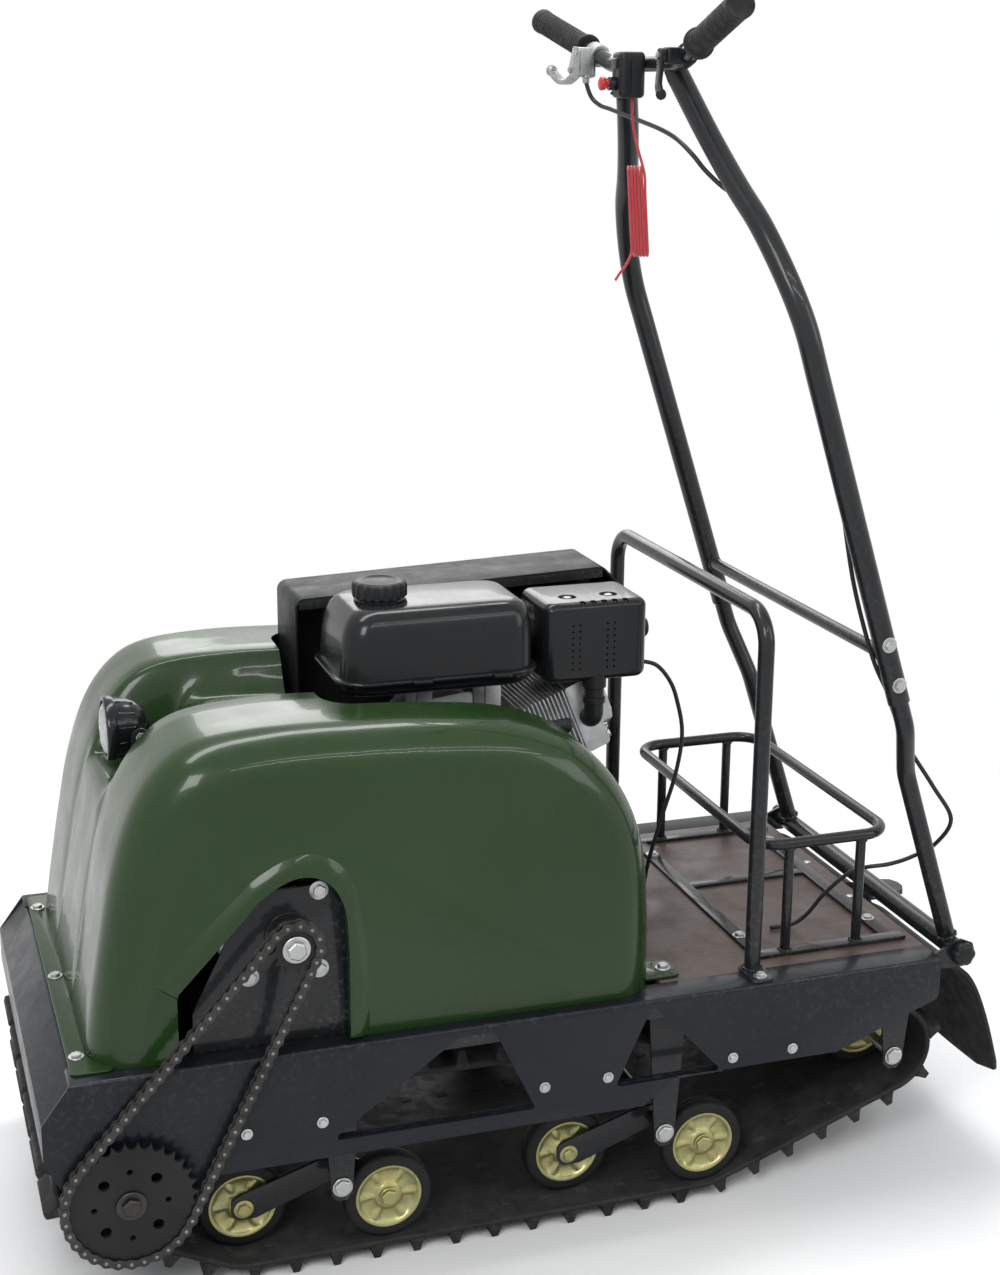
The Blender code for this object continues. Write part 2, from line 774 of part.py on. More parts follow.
def chassis_frame():
    """Welded frame: two rails, cross members, the engine stand, bogie hangers and the rear axle's plates."""
    rail_start = PANEL_FRONT + 0.018
    near = box((rail_start, -TUBE_OUTER, TUBE_BOTTOM), (PANEL_REAR - SHEET, -TUBE_INNER, TUBE_TOP))
    far = box((rail_start, TUBE_INNER, TUBE_BOTTOM), (PANEL_REAR - SHEET, TUBE_OUTER, TUBE_TOP))
    parts = [far]
    for spot in CHASSIS_CROSS_X:
        low = (spot, -TUBE_INNER - SINK, CROSS_BOTTOM)
        high = (spot + FRAME_TUBE, TUBE_INNER + SINK, CROSS_TOP)
        parts.append(box(low, high))
    for side in (-1, 1):
        plate_near = side * (HANGER_OFFSET - HANGER_THICKNESS / 2)
        plate_far = side * (HANGER_OFFSET + HANGER_THICKNESS / 2)
        start, end = sorted((plate_near, plate_far))
        spots = [(spot, BOGIE_PIVOT_Z, STUB_RADIUS) for spot in BOGIE_PIVOTS_X]
        spots.append((IDLER_X, IDLER_Z, STUB_RADIUS))
        for x, z, radius in spots:
            outline = [
                (x - 0.028, CROSS_BOTTOM + 0.010),
                (x - 0.014, z - 0.012),
                (x - 0.006, z - 0.020),
                (x + 0.006, z - 0.020),
                (x + 0.014, z - 0.012),
                (x + 0.028, CROSS_BOTTOM + 0.010),
            ]
            parts.append(bored_plate(outline, start, end, (x, z), radius + SHAFT_GAP))
            foot_start, foot_end = sorted((plate_near, side * (TUBE_INNER + SINK)))
            parts.append(
                box((x - 0.028, foot_start, TUBE_BOTTOM - 0.004), (x + 0.028, foot_end, TUBE_BOTTOM + 0.004))
            )
    top = ENGINE_BASE_Z
    table_low, table_high = STAND_FRONT, STAND_FRONT + STAND_LENGTH
    parts.append(box((table_low, -STAND_NEAR, top - STAND_TOP), (table_high, STAND_FAR, top)))
    for x in (table_low, table_high - STAND_LEG):
        outline = [
            (-STAND_NEAR - 0.015, CROSS_TOP - SINK),
            (-STAND_NEAR, top - STAND_TOP / 2),
            (STAND_FAR, top - STAND_TOP / 2),
            (STAND_FAR + 0.008, CROSS_TOP - SINK),
            (STAND_FAR - 0.028, CROSS_TOP - SINK),
            (STAND_FAR - 0.040, top - 0.030),
            (-STAND_NEAR + 0.035, top - 0.030),
            (-STAND_NEAR + 0.021, CROSS_TOP - SINK),
        ]
        parts.append(prism(outline, x, x + STAND_LEG, "X"))
    for x in (table_low, table_high - FRAME_TUBE):
        low = (x, -TUBE_INNER - SINK, CROSS_BOTTOM)
        high = (x + FRAME_TUBE, TUBE_INNER + SINK, CROSS_TOP)
        parts.append(box(low, high))
    ear = [
        (PANEL_REAR + 0.002, TUBE_TOP - SINK),
        (PANEL_REAR - 0.012, TUBE_TOP - SINK),
        (PANEL_REAR - 0.012, TUBE_BOTTOM + SINK),
        (PIVOT_X, PIVOT_Z - 0.022),
        (PIVOT_X + 0.018, PIVOT_Z - 0.012),
        (PIVOT_X + 0.022, PIVOT_Z),
        (PIVOT_X + 0.018, PIVOT_Z + 0.012),
        (PIVOT_X, PIVOT_Z + 0.020),
    ]
    for side in (-1, 1):
        start, end = sorted((side * (TUBE_INNER + SINK), side * (TUBE_INNER + SINK + EAR_THICKNESS)))
        parts.append(bored_plate(ear, start, end, (PIVOT_X, PIVOT_Z), PIN_RADIUS + SHAFT_GAP))
    parts.append(hitch_plate())
    join(near, *parts)
    return finish(near, "chassis_frame", "black_paint", 20)


def hitch_plate():
    """The plate behind the rear cross member, with a hole for a drawbar's pin."""
    half = HITCH_HALF_WIDTH
    shoulder = HITCH_END - half
    outline = [
        (CROSS_REAR + FRAME_TUBE - SINK, -half),
        (shoulder, -half),
        (HITCH_END - half / 4, -half * 3 / 4),
        (HITCH_END, -half / 4),
        (HITCH_END, half / 4),
        (HITCH_END - half / 4, half * 3 / 4),
        (shoulder, half),
        (CROSS_REAR + FRAME_TUBE - SINK, half),
    ]
    top = HITCH_BOTTOM + HITCH_THICKNESS
    plate = prism(outline, HITCH_BOTTOM, top, "Z")
    hole = circle((HITCH_X, 0.0), HITCH_HOLE_RADIUS, 12)
    return cut(plate, prism(hole, HITCH_BOTTOM - SHEET, top + SHEET, "Z"))


def deck_board():
    half = FLANGE_INNER - SEAT_GAP
    board = box((DECK_FRONT, -half, CROSS_TOP + SEAT_GAP), (PANEL_REAR, half, FOLD_HEIGHT))
    return finish(board, "deck_board", "plywood")


def rear_flap():
    """The rubber mud flap, bolted under the rear edge of the deck."""
    drop = Vector((FLAP_BOTTOM[0] - FLAP_TOP[0], 0, FLAP_BOTTOM[1] - FLAP_TOP[1])).normalized()
    across = Vector((drop.z, 0, -drop.x)) * FLAP_THICKNESS
    start = CROSS_REAR + FRAME_TUBE + SEAT_GAP
    top = FLAP_TOP[1]
    outline = [
        (start + FLAP_THICKNESS, top),
        (start + FLAP_THICKNESS, CROSS_TOP - SINK),
        (start, CROSS_TOP - SINK),
        (start, top - FLAP_THICKNESS),
        (FLAP_TOP[0] + across.x, top - FLAP_THICKNESS),
        (FLAP_BOTTOM[0] + across.x, FLAP_BOTTOM[1] + across.z),
        (FLAP_BOTTOM[0], FLAP_BOTTOM[1]),
        (FLAP_TOP[0], top),
    ]
    flap = prism(outline, -FLAP_HALF_WIDTH, FLAP_HALF_WIDTH)
    low = (start - SHEET, -NOTCH_HALF_WIDTH, top - NOTCH_DEPTH)
    cut(flap, box(low, (FLAP_BOTTOM[0], NOTCH_HALF_WIDTH, CROSS_TOP)))
    return finish(flap, "rear_flap", "rubber", 60)


def hull_of(circles):
    """The belt's path round circles of (x, z, radius): dense points, in order, with the turn at each."""
    spots = []
    for x, z, radius in circles:
        for step in range(360):
            angle = math.tau * step / 360
            spots.append((x + radius * math.cos(angle), z + radius * math.sin(angle)))
    spots = sorted(spots)

    def half(points):
        chain = []
        for point in points:
            while len(chain) > 1:
                (ax, az), (bx, bz) = chain[-2], chain[-1]
                if (bx - ax) * (point[1] - az) - (bz - az) * (point[0] - ax) > 0:
                    break
                chain.pop()
            chain.append(point)
        return chain

    lower = half(spots)
    upper = half(reversed(spots))
    return lower[:-1] + upper[:-1]


def loop_lengths(loop):
    total = [0.0]
    for index in range(len(loop)):
        here, there = loop[index], loop[(index + 1) % len(loop)]
        total.append(total[-1] + math.dist(here, there))
    return total


def on_loop(loop, lengths, travel):
    """The point and outward normal at a distance along a loop that runs anticlockwise in (x, z)."""
    travel %= lengths[-1]
    low, high = 0, len(loop)
    while high - low > 1:
        middle = (low + high) // 2
        if lengths[middle] <= travel:
            low = middle
        else:
            high = middle
    here, there = loop[low], loop[(low + 1) % len(loop)]
    span = lengths[low + 1] - lengths[low]
    share = (travel - lengths[low]) / span
    x = here[0] + (there[0] - here[0]) * share
    z = here[1] + (there[1] - here[1]) * share
    return (x, z), ((there[1] - here[1]) / span, -(there[0] - here[0]) / span)


def track_belt():
    """The rubber track: a belt round the drive wheels, road wheels and idlers, with bars moulded across it."""
    first = BOGIE_PIVOTS_X[0] - BOGIE_LEAD
    last = BOGIE_PIVOTS_X[1] + BOGIE_TRAIL
    wheel = WHEEL_RADIUS + BELT_SLACK
    loop = hull_of(
        (
            (DRIVE_AXLE_X, DRIVE_AXLE_Z, DRIVE_RADIUS + BELT_SLACK),
            (first, WHEEL_Z, wheel),
            (last, WHEEL_Z, wheel),
            (IDLER_X, IDLER_Z, wheel),
        )
    )
    lengths = loop_lengths(loop)
    pitch = lengths[-1] / LUG_COUNT
    start = 0.0
    for index, point in enumerate(loop):
        after = loop[(index + 1) % len(loop)]
        if point[0] < 0 <= after[0] and point[1] < WHEEL_Z:
            start = lengths[index] - point[0]
    stations = []
    for lug in range(LUG_COUNT):
        middle = start + lug * pitch
        steps = ((-LUG_BASE / 2, 0), (-LUG_TIP / 2, 1), (LUG_TIP / 2, 1), (LUG_BASE / 2, 0))
        for offset, raised in steps:
            stations.append((middle + offset, raised))
        gap = pitch - LUG_BASE
        before = on_loop(loop, lengths, middle + LUG_BASE / 2)[1]
        after = on_loop(loop, lengths, middle + LUG_BASE / 2 + gap)[1]
        turn = math.acos(min(1.0, before[0] * after[0] + before[1] * after[1]))
        extra = int(turn / math.radians(18))
        for step in range(extra):
            stations.append((middle + LUG_BASE / 2 + gap * (step + 1) / (extra + 1), 0))
    depths = [(travel, BELT_THICKNESS + LUG_HEIGHT * raised) for travel, raised in stations]
    belt = band(loop, lengths, depths, 0.0, TRACK_HALF_WIDTH, TRACK_HALF_WIDTH)
    return finish(belt, "track_belt", "rubber", 20)


def wheel_shape(bore):
    """A road wheel: a pressed hub with a dished web and a rubber tyre."""
    half = WHEEL_WIDTH / 2
    rim = WHEEL_RADIUS - 0.014
    profile = [
        (bore + SHAFT_GAP, -half + 0.001),
        (rim - 0.004, -half + 0.006),
        (rim, -half),
        (WHEEL_RADIUS, -half + 0.002),
        (WHEEL_RADIUS, half - 0.002),
        (rim, half),
        (rim - 0.004, half - 0.006),
        (bore + SHAFT_GAP, half - 0.001),
    ]
    return turned(profile, (0.0, 0.0), WHEEL_SIDES)


def road_wheels():
    """Eight road wheels: the leading pair of each bogie runs inside its arms, the trailing pair outside."""
    seat = ARM_THICKNESS / 2 + SEAT_GAP + WHEEL_WIDTH / 2
    for pivot, row in zip(BOGIE_PIVOTS_X, ("front", "rear")):
        for side, hand in ((-1, "left"), (1, "right")):
            for x, offset, place_name in (
                (pivot - BOGIE_LEAD, ARM_OFFSET - seat, "inner"),
                (pivot + BOGIE_TRAIL, ARM_OFFSET + seat, "outer"),
            ):
                wheel = wheel_shape(STUB_RADIUS)
                wheel.location = (x, side * offset, WHEEL_Z)
                finish(wheel, f"road_wheel_{row}_{place_name}_{hand}", "zinc")


def bogie(pivot, name):
    """A rocking bogie: a shaft between the hangers, two bent arms and a stub axle for each wheel."""
    lead, trail = pivot - BOGIE_LEAD, pivot + BOGIE_TRAIL
    half = ARM_HALF_HEIGHT
    outline = [
        (lead - half, WHEEL_Z - half / 2),
        (lead - half, WHEEL_Z + half / 2),
        (lead - half / 2, WHEEL_Z + half),
        (pivot - half, BOGIE_PIVOT_Z + half),
        (pivot + half, BOGIE_PIVOT_Z + half),
        (trail + half / 2, WHEEL_Z + half),
        (trail + half, WHEEL_Z + half / 2),
        (trail + half, WHEEL_Z - half / 2),
        (trail + half / 2, WHEEL_Z - half),
        (trail - half, WHEEL_Z - half),
        (pivot, BOGIE_PIVOT_Z - half),
        (lead + half, WHEEL_Z - half),
        (lead - half / 2, WHEEL_Z - half),
    ]
    tip = HANGER_OFFSET + HANGER_THICKNESS / 2 + SEAT_GAP
    shaft = rod((pivot, BOGIE_PIVOT_Z), STUB_RADIUS, -tip - SINK, tip + SINK)
    parts = [rod((pivot, BOGIE_PIVOT_Z), STUB_RADIUS + 0.006, -ARM_OFFSET, ARM_OFFSET)]
    keep = WHEEL_WIDTH + 2 * SEAT_GAP
    for side in (-1, 1):
        start, end = sorted((side * (ARM_OFFSET - ARM_THICKNESS / 2), side * (ARM_OFFSET + ARM_THICKNESS / 2)))
        parts.append(prism(outline, start, end))
        parts.append(rod((pivot, BOGIE_PIVOT_Z), 0.013, *sorted((side * tip, side * (tip + 0.006))), 6))
        inner_face = side * (ARM_OFFSET - ARM_THICKNESS / 2)
        inner_end = inner_face - side * keep
        parts.append(rod((lead, WHEEL_Z), STUB_RADIUS, *sorted((inner_face + side * SINK, inner_end - side * SINK))))
        parts.append(rod((lead, WHEEL_Z), 0.013, *sorted((inner_end, inner_end - side * 0.006)), 6))
        outer_face = side * (ARM_OFFSET + ARM_THICKNESS / 2)
        outer_end = outer_face + side * keep
        parts.append(rod((trail, WHEEL_Z), STUB_RADIUS, *sorted((outer_face - side * SINK, outer_end + side * SINK))))
        parts.append(rod((trail, WHEEL_Z), 0.013, *sorted((outer_end, outer_end + side * 0.006)), 6))
    join(shaft, *parts)
    return finish(shaft, name, "black_paint", 30)


def idlers():
    """The rear shaft in the frame's plates, with two wheels that carry the belt round."""
    end = HANGER_OFFSET + HANGER_THICKNESS / 2
    shaft = rod((IDLER_X, IDLER_Z), STUB_RADIUS, -end - 0.006, end + 0.006)
    parts = []
    for side in (-1, 1):
        parts.append(rod((IDLER_X, IDLER_Z), 0.013, *sorted((side * (end + SEAT_GAP), side * (end + 0.007))), 6))
        inner = IDLER_OFFSET - WHEEL_WIDTH / 2 - SEAT_GAP
        outer = IDLER_OFFSET + WHEEL_WIDTH / 2 + SEAT_GAP
        parts.append(rod((IDLER_X, IDLER_Z), 0.013, *sorted((side * (inner - 0.006), side * inner))))
        parts.append(rod((IDLER_X, IDLER_Z), 0.013, *sorted((side * outer, side * (outer + 0.006)))))
    join(shaft, *parts)
    finish(shaft, "idler_shaft", "steel")
    for side, hand in ((-1, "left"), (1, "right")):
        wheel = wheel_shape(STUB_RADIUS)
        wheel.location = (IDLER_X, side * IDLER_OFFSET, IDLER_Z)
        finish(wheel, f"idler_wheel_{hand}", "zinc")


def drive_axle():
    """The front axle with the two toothed wheels that drive the track, and the chain sprocket's bolt."""
    outer = CHAIN_PLANE + SPROCKET_THICKNESS / 2 + SEAT_GAP
    axle = rod(CHAIN_BASE, AXLE_RADIUS, -outer - SINK, BODY_HALF_WIDTH + 0.006, 14)
    parts = [
        rod(CHAIN_BASE, AXLE_RADIUS + 0.006, -outer - 0.003, -outer, 12),
        rod(CHAIN_BASE, 0.010, -outer - 0.010, -outer - 0.002, 6),
        rod(CHAIN_BASE, AXLE_RADIUS + 0.010, -0.180, 0.180, 14),
    ]
    outline = []
    for tooth in range(DRIVE_TEETH):
        middle = math.tau * tooth / DRIVE_TEETH
        step = math.tau / DRIVE_TEETH
        for turn, radius in ((-0.34, 0.80), (-0.16, 1.0), (0.16, 1.0), (0.34, 0.80)):
            angle = middle + turn * step
            reach = DRIVE_RADIUS * radius
            outline.append((CHAIN_BASE[0] + reach * math.cos(angle), CHAIN_BASE[1] + reach * math.sin(angle)))
    for middle in (-0.110, 0.110):
        parts.append(prism(outline, middle - DRIVE_WIDTH / 2, middle + DRIVE_WIDTH / 2))
    join(axle, *parts)
    return finish(axle, "drive_axle", "steel")


def pitch_radius(teeth):
    return CHAIN_PITCH / (2 * math.sin(math.pi / teeth))


def chain_route(distance):
    """A function from travel to a point on the chain's pitch line, and the line's length."""
    large, small = pitch_radius(LARGE_TEETH), pitch_radius(SMALL_TEETH)
    lean = math.asin((large - small) / distance)
    straight = distance * math.cos(lean)
    wrap_large = math.pi + 2 * lean
    wrap_small = math.pi - 2 * lean
    lengths = (large * wrap_large, straight, small * wrap_small, straight)
    far = (
        CHAIN_BASE[0] + distance * math.cos(CHAIN_TILT),
        CHAIN_BASE[1] + distance * math.sin(CHAIN_TILT),
    )
    large_start = CHAIN_TILT + math.pi / 2 - lean
    small_start = CHAIN_TILT - math.pi / 2 + lean

    def ring(centre, radius, angle):
        return (centre[0] + radius * math.cos(angle), centre[1] + radius * math.sin(angle))

    def spot(travel):
        travel %= sum(lengths)
        if travel < lengths[0]:
            return ring(CHAIN_BASE, large, large_start + travel / large)
        travel -= lengths[0]
        if travel < lengths[1]:
            start = ring(CHAIN_BASE, large, large_start + wrap_large)
            end = ring(far, small, small_start)
            share = travel / lengths[1]
            return (start[0] + (end[0] - start[0]) * share, start[1] + (end[1] - start[1]) * share)
        travel -= lengths[1]
        if travel < lengths[2]:
            return ring(far, small, small_start + travel / small)
        travel -= lengths[2]
        start = ring(far, small, small_start + wrap_small)
        end = ring(CHAIN_BASE, large, large_start)
        share = travel / lengths[3]
        return (start[0] + (end[0] - start[0]) * share, start[1] + (end[1] - start[1]) * share)

    return spot, sum(lengths), far


def walk_chain(distance):
    """The pins of the chain, each one pitch from the last, and how far the last overshoots the first."""
    spot, total, far = chain_route(distance)
    travel = CHAIN_PITCH / 2
    start = travel
    pins = []
    for _ in range(CHAIN_LINKS):
        pins.append(spot(travel))
        low, high = travel, travel + 1.2 * CHAIN_PITCH
        for _ in range(40):
            middle = (low + high) / 2
            if math.dist(spot(middle), pins[-1]) < CHAIN_PITCH:
                low = middle
            else:
                high = middle
        travel = high
    return pins, travel - start - total, far


def chain_layout():
    """Finds the centre distance at which the chain closes, and each sprocket's place and first tooth gap."""
    large, small = pitch_radius(LARGE_TEETH), pitch_radius(SMALL_TEETH)
    wrapped = (LARGE_TEETH + SMALL_TEETH) / 2
    middle = (CHAIN_LINKS - wrapped) * CHAIN_PITCH / 2
    low, high = middle * 0.9, middle * 1.1
    low = max(low, large - small + CHAIN_PITCH)
    for _ in range(50):
        middle = (low + high) / 2
        if walk_chain(middle)[1] > 0:
            low = middle
        else:
            high = middle
    pins, _, far = walk_chain(middle)
    phases = []
    for centre, radius in ((CHAIN_BASE, large), (far, small)):
        seated = [pin for pin in pins if abs(math.dist(pin, centre) - radius) < 0.00002]
        pin = seated[len(seated) // 2]
        phases.append(math.atan2(pin[1] - centre[1], pin[0] - centre[0]))
    return pins, far, phases


def sprocket_outline(centre, teeth, phase):
    """Tooth gaps that seat the chain's rollers, with a blunt tooth between each two."""
    radius = pitch_radius(teeth)
    seat = (ROLLER_RADIUS + SHAFT_GAP) / math.cos(math.radians(30))
    outline = []
    for tooth in range(teeth):
        angle = phase + math.tau * tooth / teeth
        middle = (centre[0] + radius * math.cos(angle), centre[1] + radius * math.sin(angle))
        for turn in (-60, 0, 60):
            facing = angle + math.pi - math.radians(turn)
            outline.append((middle[0] + seat * math.cos(facing), middle[1] + seat * math.sin(facing)))
        tip = angle + math.pi / teeth
        reach = radius + TOOTH_HEIGHT
        outline.append((centre[0] + reach * math.cos(tip), centre[1] + reach * math.sin(tip)))
    return outline


def sprocket(name, centre, teeth, phase, hub, hub_end, bore, holes):
    """A sprocket plate with its hub toward the vehicle."""
    near = -CHAIN_PLANE - SPROCKET_THICKNESS / 2
    far = -CHAIN_PLANE + SPROCKET_THICKNESS / 2
    plate = prism(sprocket_outline(centre, teeth, phase), near, far)
    join(plate, rod(centre, hub, near + SINK, hub_end, 16))
    cutters = [rod(centre, bore + SHAFT_GAP, near - SHEET, hub_end + SHEET, 16)]
    for index in range(holes):
        angle = math.tau * (index + 0.5) / holes
        reach = pitch_radius(teeth) * 0.56
        spot = (centre[0] + reach * math.cos(angle), centre[1] + reach * math.sin(angle))
        cutters.append(rod(spot, 0.007, near - SHEET, far + SHEET, 8))
    cut(plate, merge(cutters))
    return finish(plate, name, "black_paint")


def chain(pins):
    """The roller chain: two rows of link plates joined by a roller at each pin."""
    count = len(pins)
    rings = []
    for index, pin in enumerate(pins):
        after = pins[(index + 1) % count]
        before = pins[index - 1]
        along = Vector((after[0] - before[0], after[1] - before[1])).normalized()
        bend = along.angle(Vector((after[0] - pin[0], after[1] - pin[1])))
        if bend > MINIMUM_BEND:
            rings.append((pin, Vector((along.y, -along.x)) * PLATE_PIN_HEIGHT))
    bands = []
    for side in (-1, 1):
        shape = bmesh.new()
        levels = (-CHAIN_PLANE + side * PLATE_INNER, -CHAIN_PLANE + side * PLATE_OUTER)
        corners = []
        for (x, z), out in rings:
            corner = []
            for facing, y in ((-1, levels[0]), (1, levels[0]), (1, levels[1]), (-1, levels[1])):
                corner.append(shape.verts.new((x + facing * out.x, y, z + facing * out.y)))
            corners.append(corner)
        for index in range(len(corners)):
            here, there = corners[index], corners[(index + 1) % len(corners)]
            for step in range(4):
                after = (step + 1) % 4
                shape.faces.new((here[step], here[after], there[after], there[step]))
        bands.append(from_bmesh("band", shape))
    reach = (PLATE_INNER + PLATE_OUTER) / 2
    rollers = [rod(pin, ROLLER_RADIUS, -CHAIN_PLANE - reach, -CHAIN_PLANE + reach, 4) for pin in pins]
    rollers = merge(rollers)
    join(bands[0], bands[1], rollers)
    return finish(bands[0], "drive_chain", "steel", 25)


def merge(objects):
    """Puts solids that don't touch into one mesh, to be used as one Boolean tool."""
    shape = bmesh.new()
    for obj in objects:
        shape.from_mesh(obj.data)
        bpy.data.objects.remove(obj, do_unlink=True)
    return from_bmesh("merged", shape)


def loft(rings):
    """A solid through closed rings with the same number of points, with its two ends filled."""
    shape = bmesh.new()
    loops = [[shape.verts.new(spot) for spot in ring] for ring in rings]
    count = len(rings[0])
    for here, there in zip(loops, loops[1:]):
        for step in range(count):
            after = (step + 1) % count
            shape.faces.new((here[step], here[after], there[after], there[step]))
    shape.faces.new(loops[0])
    shape.faces.new(loops[-1])
    return from_bmesh("loft", shape)


def spindle(start, end, stations, sides=10):
    """A solid of revolution about the line from start to end, through (distance, radius) stations."""
    start, end = Vector(start), Vector(end)
    along = (end - start).normalized()
    side = along.cross(Vector((0.31, 0.17, 0.93))).normalized()
    other = along.cross(side)
    rings = []
    for distance, radius in stations:
        ring = []
        for step in range(sides):
            angle = math.tau * step / sides
            ring.append(start + along * distance + (side * math.cos(angle) + other * math.sin(angle)) * radius)
        rings.append(ring)
    return loft(rings)


def rounded_rectangle(centre, size, corner, height, steps=3):
    """A ring of points at a height, wound once round a rectangle with round corners."""
    ring = []
    half_x, half_y = size[0] / 2 - corner, size[1] / 2 - corner
    for turn, (side_x, side_y) in enumerate(((1, 1), (-1, 1), (-1, -1), (1, -1))):
        for step in range(steps + 1):
            angle = math.pi / 2 * (turn + step / steps)
            x = centre[0] + side_x * half_x + corner * math.cos(angle)
            y = centre[1] + side_y * half_y + corner * math.sin(angle)
            ring.append((x, y, height))
    return ring


def padded_box(low, high, corner, width):
    """A box with round upright edges and softened top and bottom edges."""
    centre = ((low[0] + high[0]) / 2, (low[1] + high[1]) / 2)
    size = (high[0] - low[0], high[1] - low[1])
    rings = []
    for inset, height in (
        (width, low[2]),
        (0.0, low[2] + width),
        (0.0, high[2] - width),
        (width, high[2]),
    ):
        shrunk = (size[0] - 2 * inset, size[1] - 2 * inset)
        rings.append(rounded_rectangle(centre, shrunk, max(corner - inset, 0.001), height, 2))
    return loft(rings)


def jackshaft(centre):
    """The countershaft: it carries the small sprocket outside, the brake disc, and the driven pulley inside."""
    outer = CHAIN_PLANE + SPROCKET_THICKNESS / 2 + SEAT_GAP
    shaft = rod(centre, JACKSHAFT_RADIUS, -outer - SINK, RIGHT_PLATE_Y + 0.016, 14)
    disc = rod(centre, DISC_RADIUS, DISC_Y - DISC_HALF, DISC_Y + DISC_HALF, 24)
    parts = [
        rod(centre, JACKSHAFT_RADIUS + 0.004, -outer - 0.003, -outer, 14),
        rod(centre, 0.010, -outer - 0.010, -outer - 0.002, 6),
        rod(centre, JACKSHAFT_RADIUS + 0.012, DISC_Y - 0.004, DISC_Y + 0.018, 14),
        disc,
    ]
    holes = []
    for index in range(6):
        angle = math.tau * index / 6
        spot = (centre[0] + 0.050 * math.cos(angle), centre[1] + 0.050 * math.sin(angle))
        holes.append(rod(spot, 0.008, DISC_Y - 3 * DISC_HALF, DISC_Y + 3 * DISC_HALF, 6))
    join(shaft, *parts)
    cut(shaft, merge(holes))
    return finish(shaft, "jackshaft", "steel")


def bearing_plate(centre, side, name):
    """An upright plate with a foot, a boss round the jackshaft and bolt heads."""
    face = LEFT_PLATE_Y if side < 0 else RIGHT_PLATE_Y
    base = FOLD_HEIGHT + SEAT_GAP if side < 0 else CROSS_TOP + SEAT_GAP
    thick = PLATE_THICKNESS
    front, rear = PLATE_FRONT, PLATE_REAR
    top = centre[1] + 0.060
    outline = [
        (front, base),
        (front, base + 0.055),
        (centre[0] - 0.072, centre[1] + 0.010),
        (centre[0] - 0.044, top - 0.012),
        (centre[0] - 0.014, top),
        (centre[0] + 0.030, top),
        (rear, top - 0.025),
        (rear, base),
    ]
    near, far = sorted((side * face, side * (face + thick)))
    plate = prism(outline, near, far)
    foot_low, foot_high = sorted((side * (face + thick), side * (face - 0.030)))
    foot = box((front, foot_low, base), (rear, foot_high, base + thick))
    boss_ends = sorted((side * (face - BEARING_RING), side * (face + thick + BEARING_RING / 2)))
    boss = rod(centre, JACKSHAFT_RADIUS + 0.018, *boss_ends, 14)
    ring = rod(centre, JACKSHAFT_RADIUS + 0.010, *sorted((side * face, side * (face + thick + BEARING_RING))), 14)
    heads = []
    for x, z in ((rear - 0.036, top - 0.0066), (rear - 0.037, base + 0.095), (rear - 0.126, base + 0.095)):
        heads.append(rod((x, z), 0.008, side * (face + thick - SINK), side * (face + thick + 0.006), 6))
    join(plate, foot, boss, ring, *heads)
    cut(plate, rod(centre, JACKSHAFT_RADIUS + SHAFT_GAP, near - 0.060, far + 0.060, 20))
    return finish(plate, name, "black_paint")


def brake_caliper(centre):
    """The caliper, bolted inside the left bearing plate and reaching over the disc's front edge."""
    front = centre[0] - DISC_RADIUS - 0.014
    body = box(
        (front, -LEFT_PLATE_Y + SEAT_GAP, centre[1] - 0.020),
        (front + 0.040, DISC_Y + 0.024, centre[1] + 0.020),
    )
    slot = box(
        (front + 0.010, DISC_Y - 0.0024, centre[1] - 0.030),
        (front + 0.060, DISC_Y + 0.0024, centre[1] + 0.030),
    )
    cut(body, slot)
    pad = rod((front + 0.024, centre[1]), 0.012, DISC_Y + 0.023, DISC_Y + 0.031, 16)
    join(body, pad)
    return finish(body, "brake_caliper", "aluminium")


def pulley_profile(bore, rim, hub, belt_radius, half):
    """Two cones that hold the belt by its sides at the belt's radius."""
    slope = math.tan(math.radians(13))
    middle = PULLEY_NEAR + PULLEY_WIDTH / 2
    at_belt = BELT_WIDTH / 2 + SHAFT_GAP
    low = at_belt - (belt_radius - hub) * slope
    high = at_belt + (rim - belt_radius) * slope
    return [
        (bore + SHAFT_GAP, middle - half),
        (hub + 0.010, middle - half),
        (rim, middle - high - 0.004),
        (rim, middle - high),
        (hub, middle - low),
        (hub, middle + low),
        (rim, middle + high),
        (rim, middle + high + 0.004),
        (hub + 0.010, middle + half),
        (bore + SHAFT_GAP, middle + half),
    ]


def pulleys(centre):
    """The variable pulleys at rest: the belt runs low on the crankshaft and high on the jackshaft."""
    drive = turned(
        pulley_profile(CRANK_RADIUS, DRIVE_PULLEY_RADIUS, 0.022, IDLE_DRIVE_RADIUS, PULLEY_WIDTH / 2),
        (CRANK_X, CRANK_Z),
        18,
    )
    finish(drive, "drive_pulley", "aluminium")
    driven = turned(
        pulley_profile(JACKSHAFT_RADIUS, DRIVEN_PULLEY_RADIUS, 0.070, IDLE_DRIVEN_RADIUS, PULLEY_WIDTH / 2),
        centre,
        22,
    )
    finish(driven, "driven_pulley", "aluminium")


def band(loop, lengths, stations, middle, inner_half, outer_half):
    """A belt round a loop, through (travel, depth) stations."""
    shape = bmesh.new()
    rings = []
    for travel, depth in stations:
        (x, z), (out_x, out_z) = on_loop(loop, lengths, travel)
        ring = []
        for y, level in ((-inner_half, 0), (inner_half, 0), (outer_half, depth), (-outer_half, depth)):
            ring.append(shape.verts.new((x + out_x * level, middle + y, z + out_z * level)))
        rings.append(ring)
    for index in range(len(rings)):
        here, there = rings[index], rings[(index + 1) % len(rings)]
        for step in range(4):
            after = (step + 1) % 4
            shape.faces.new((here[step], here[after], there[after], there[step]))
    return from_bmesh("band", shape)


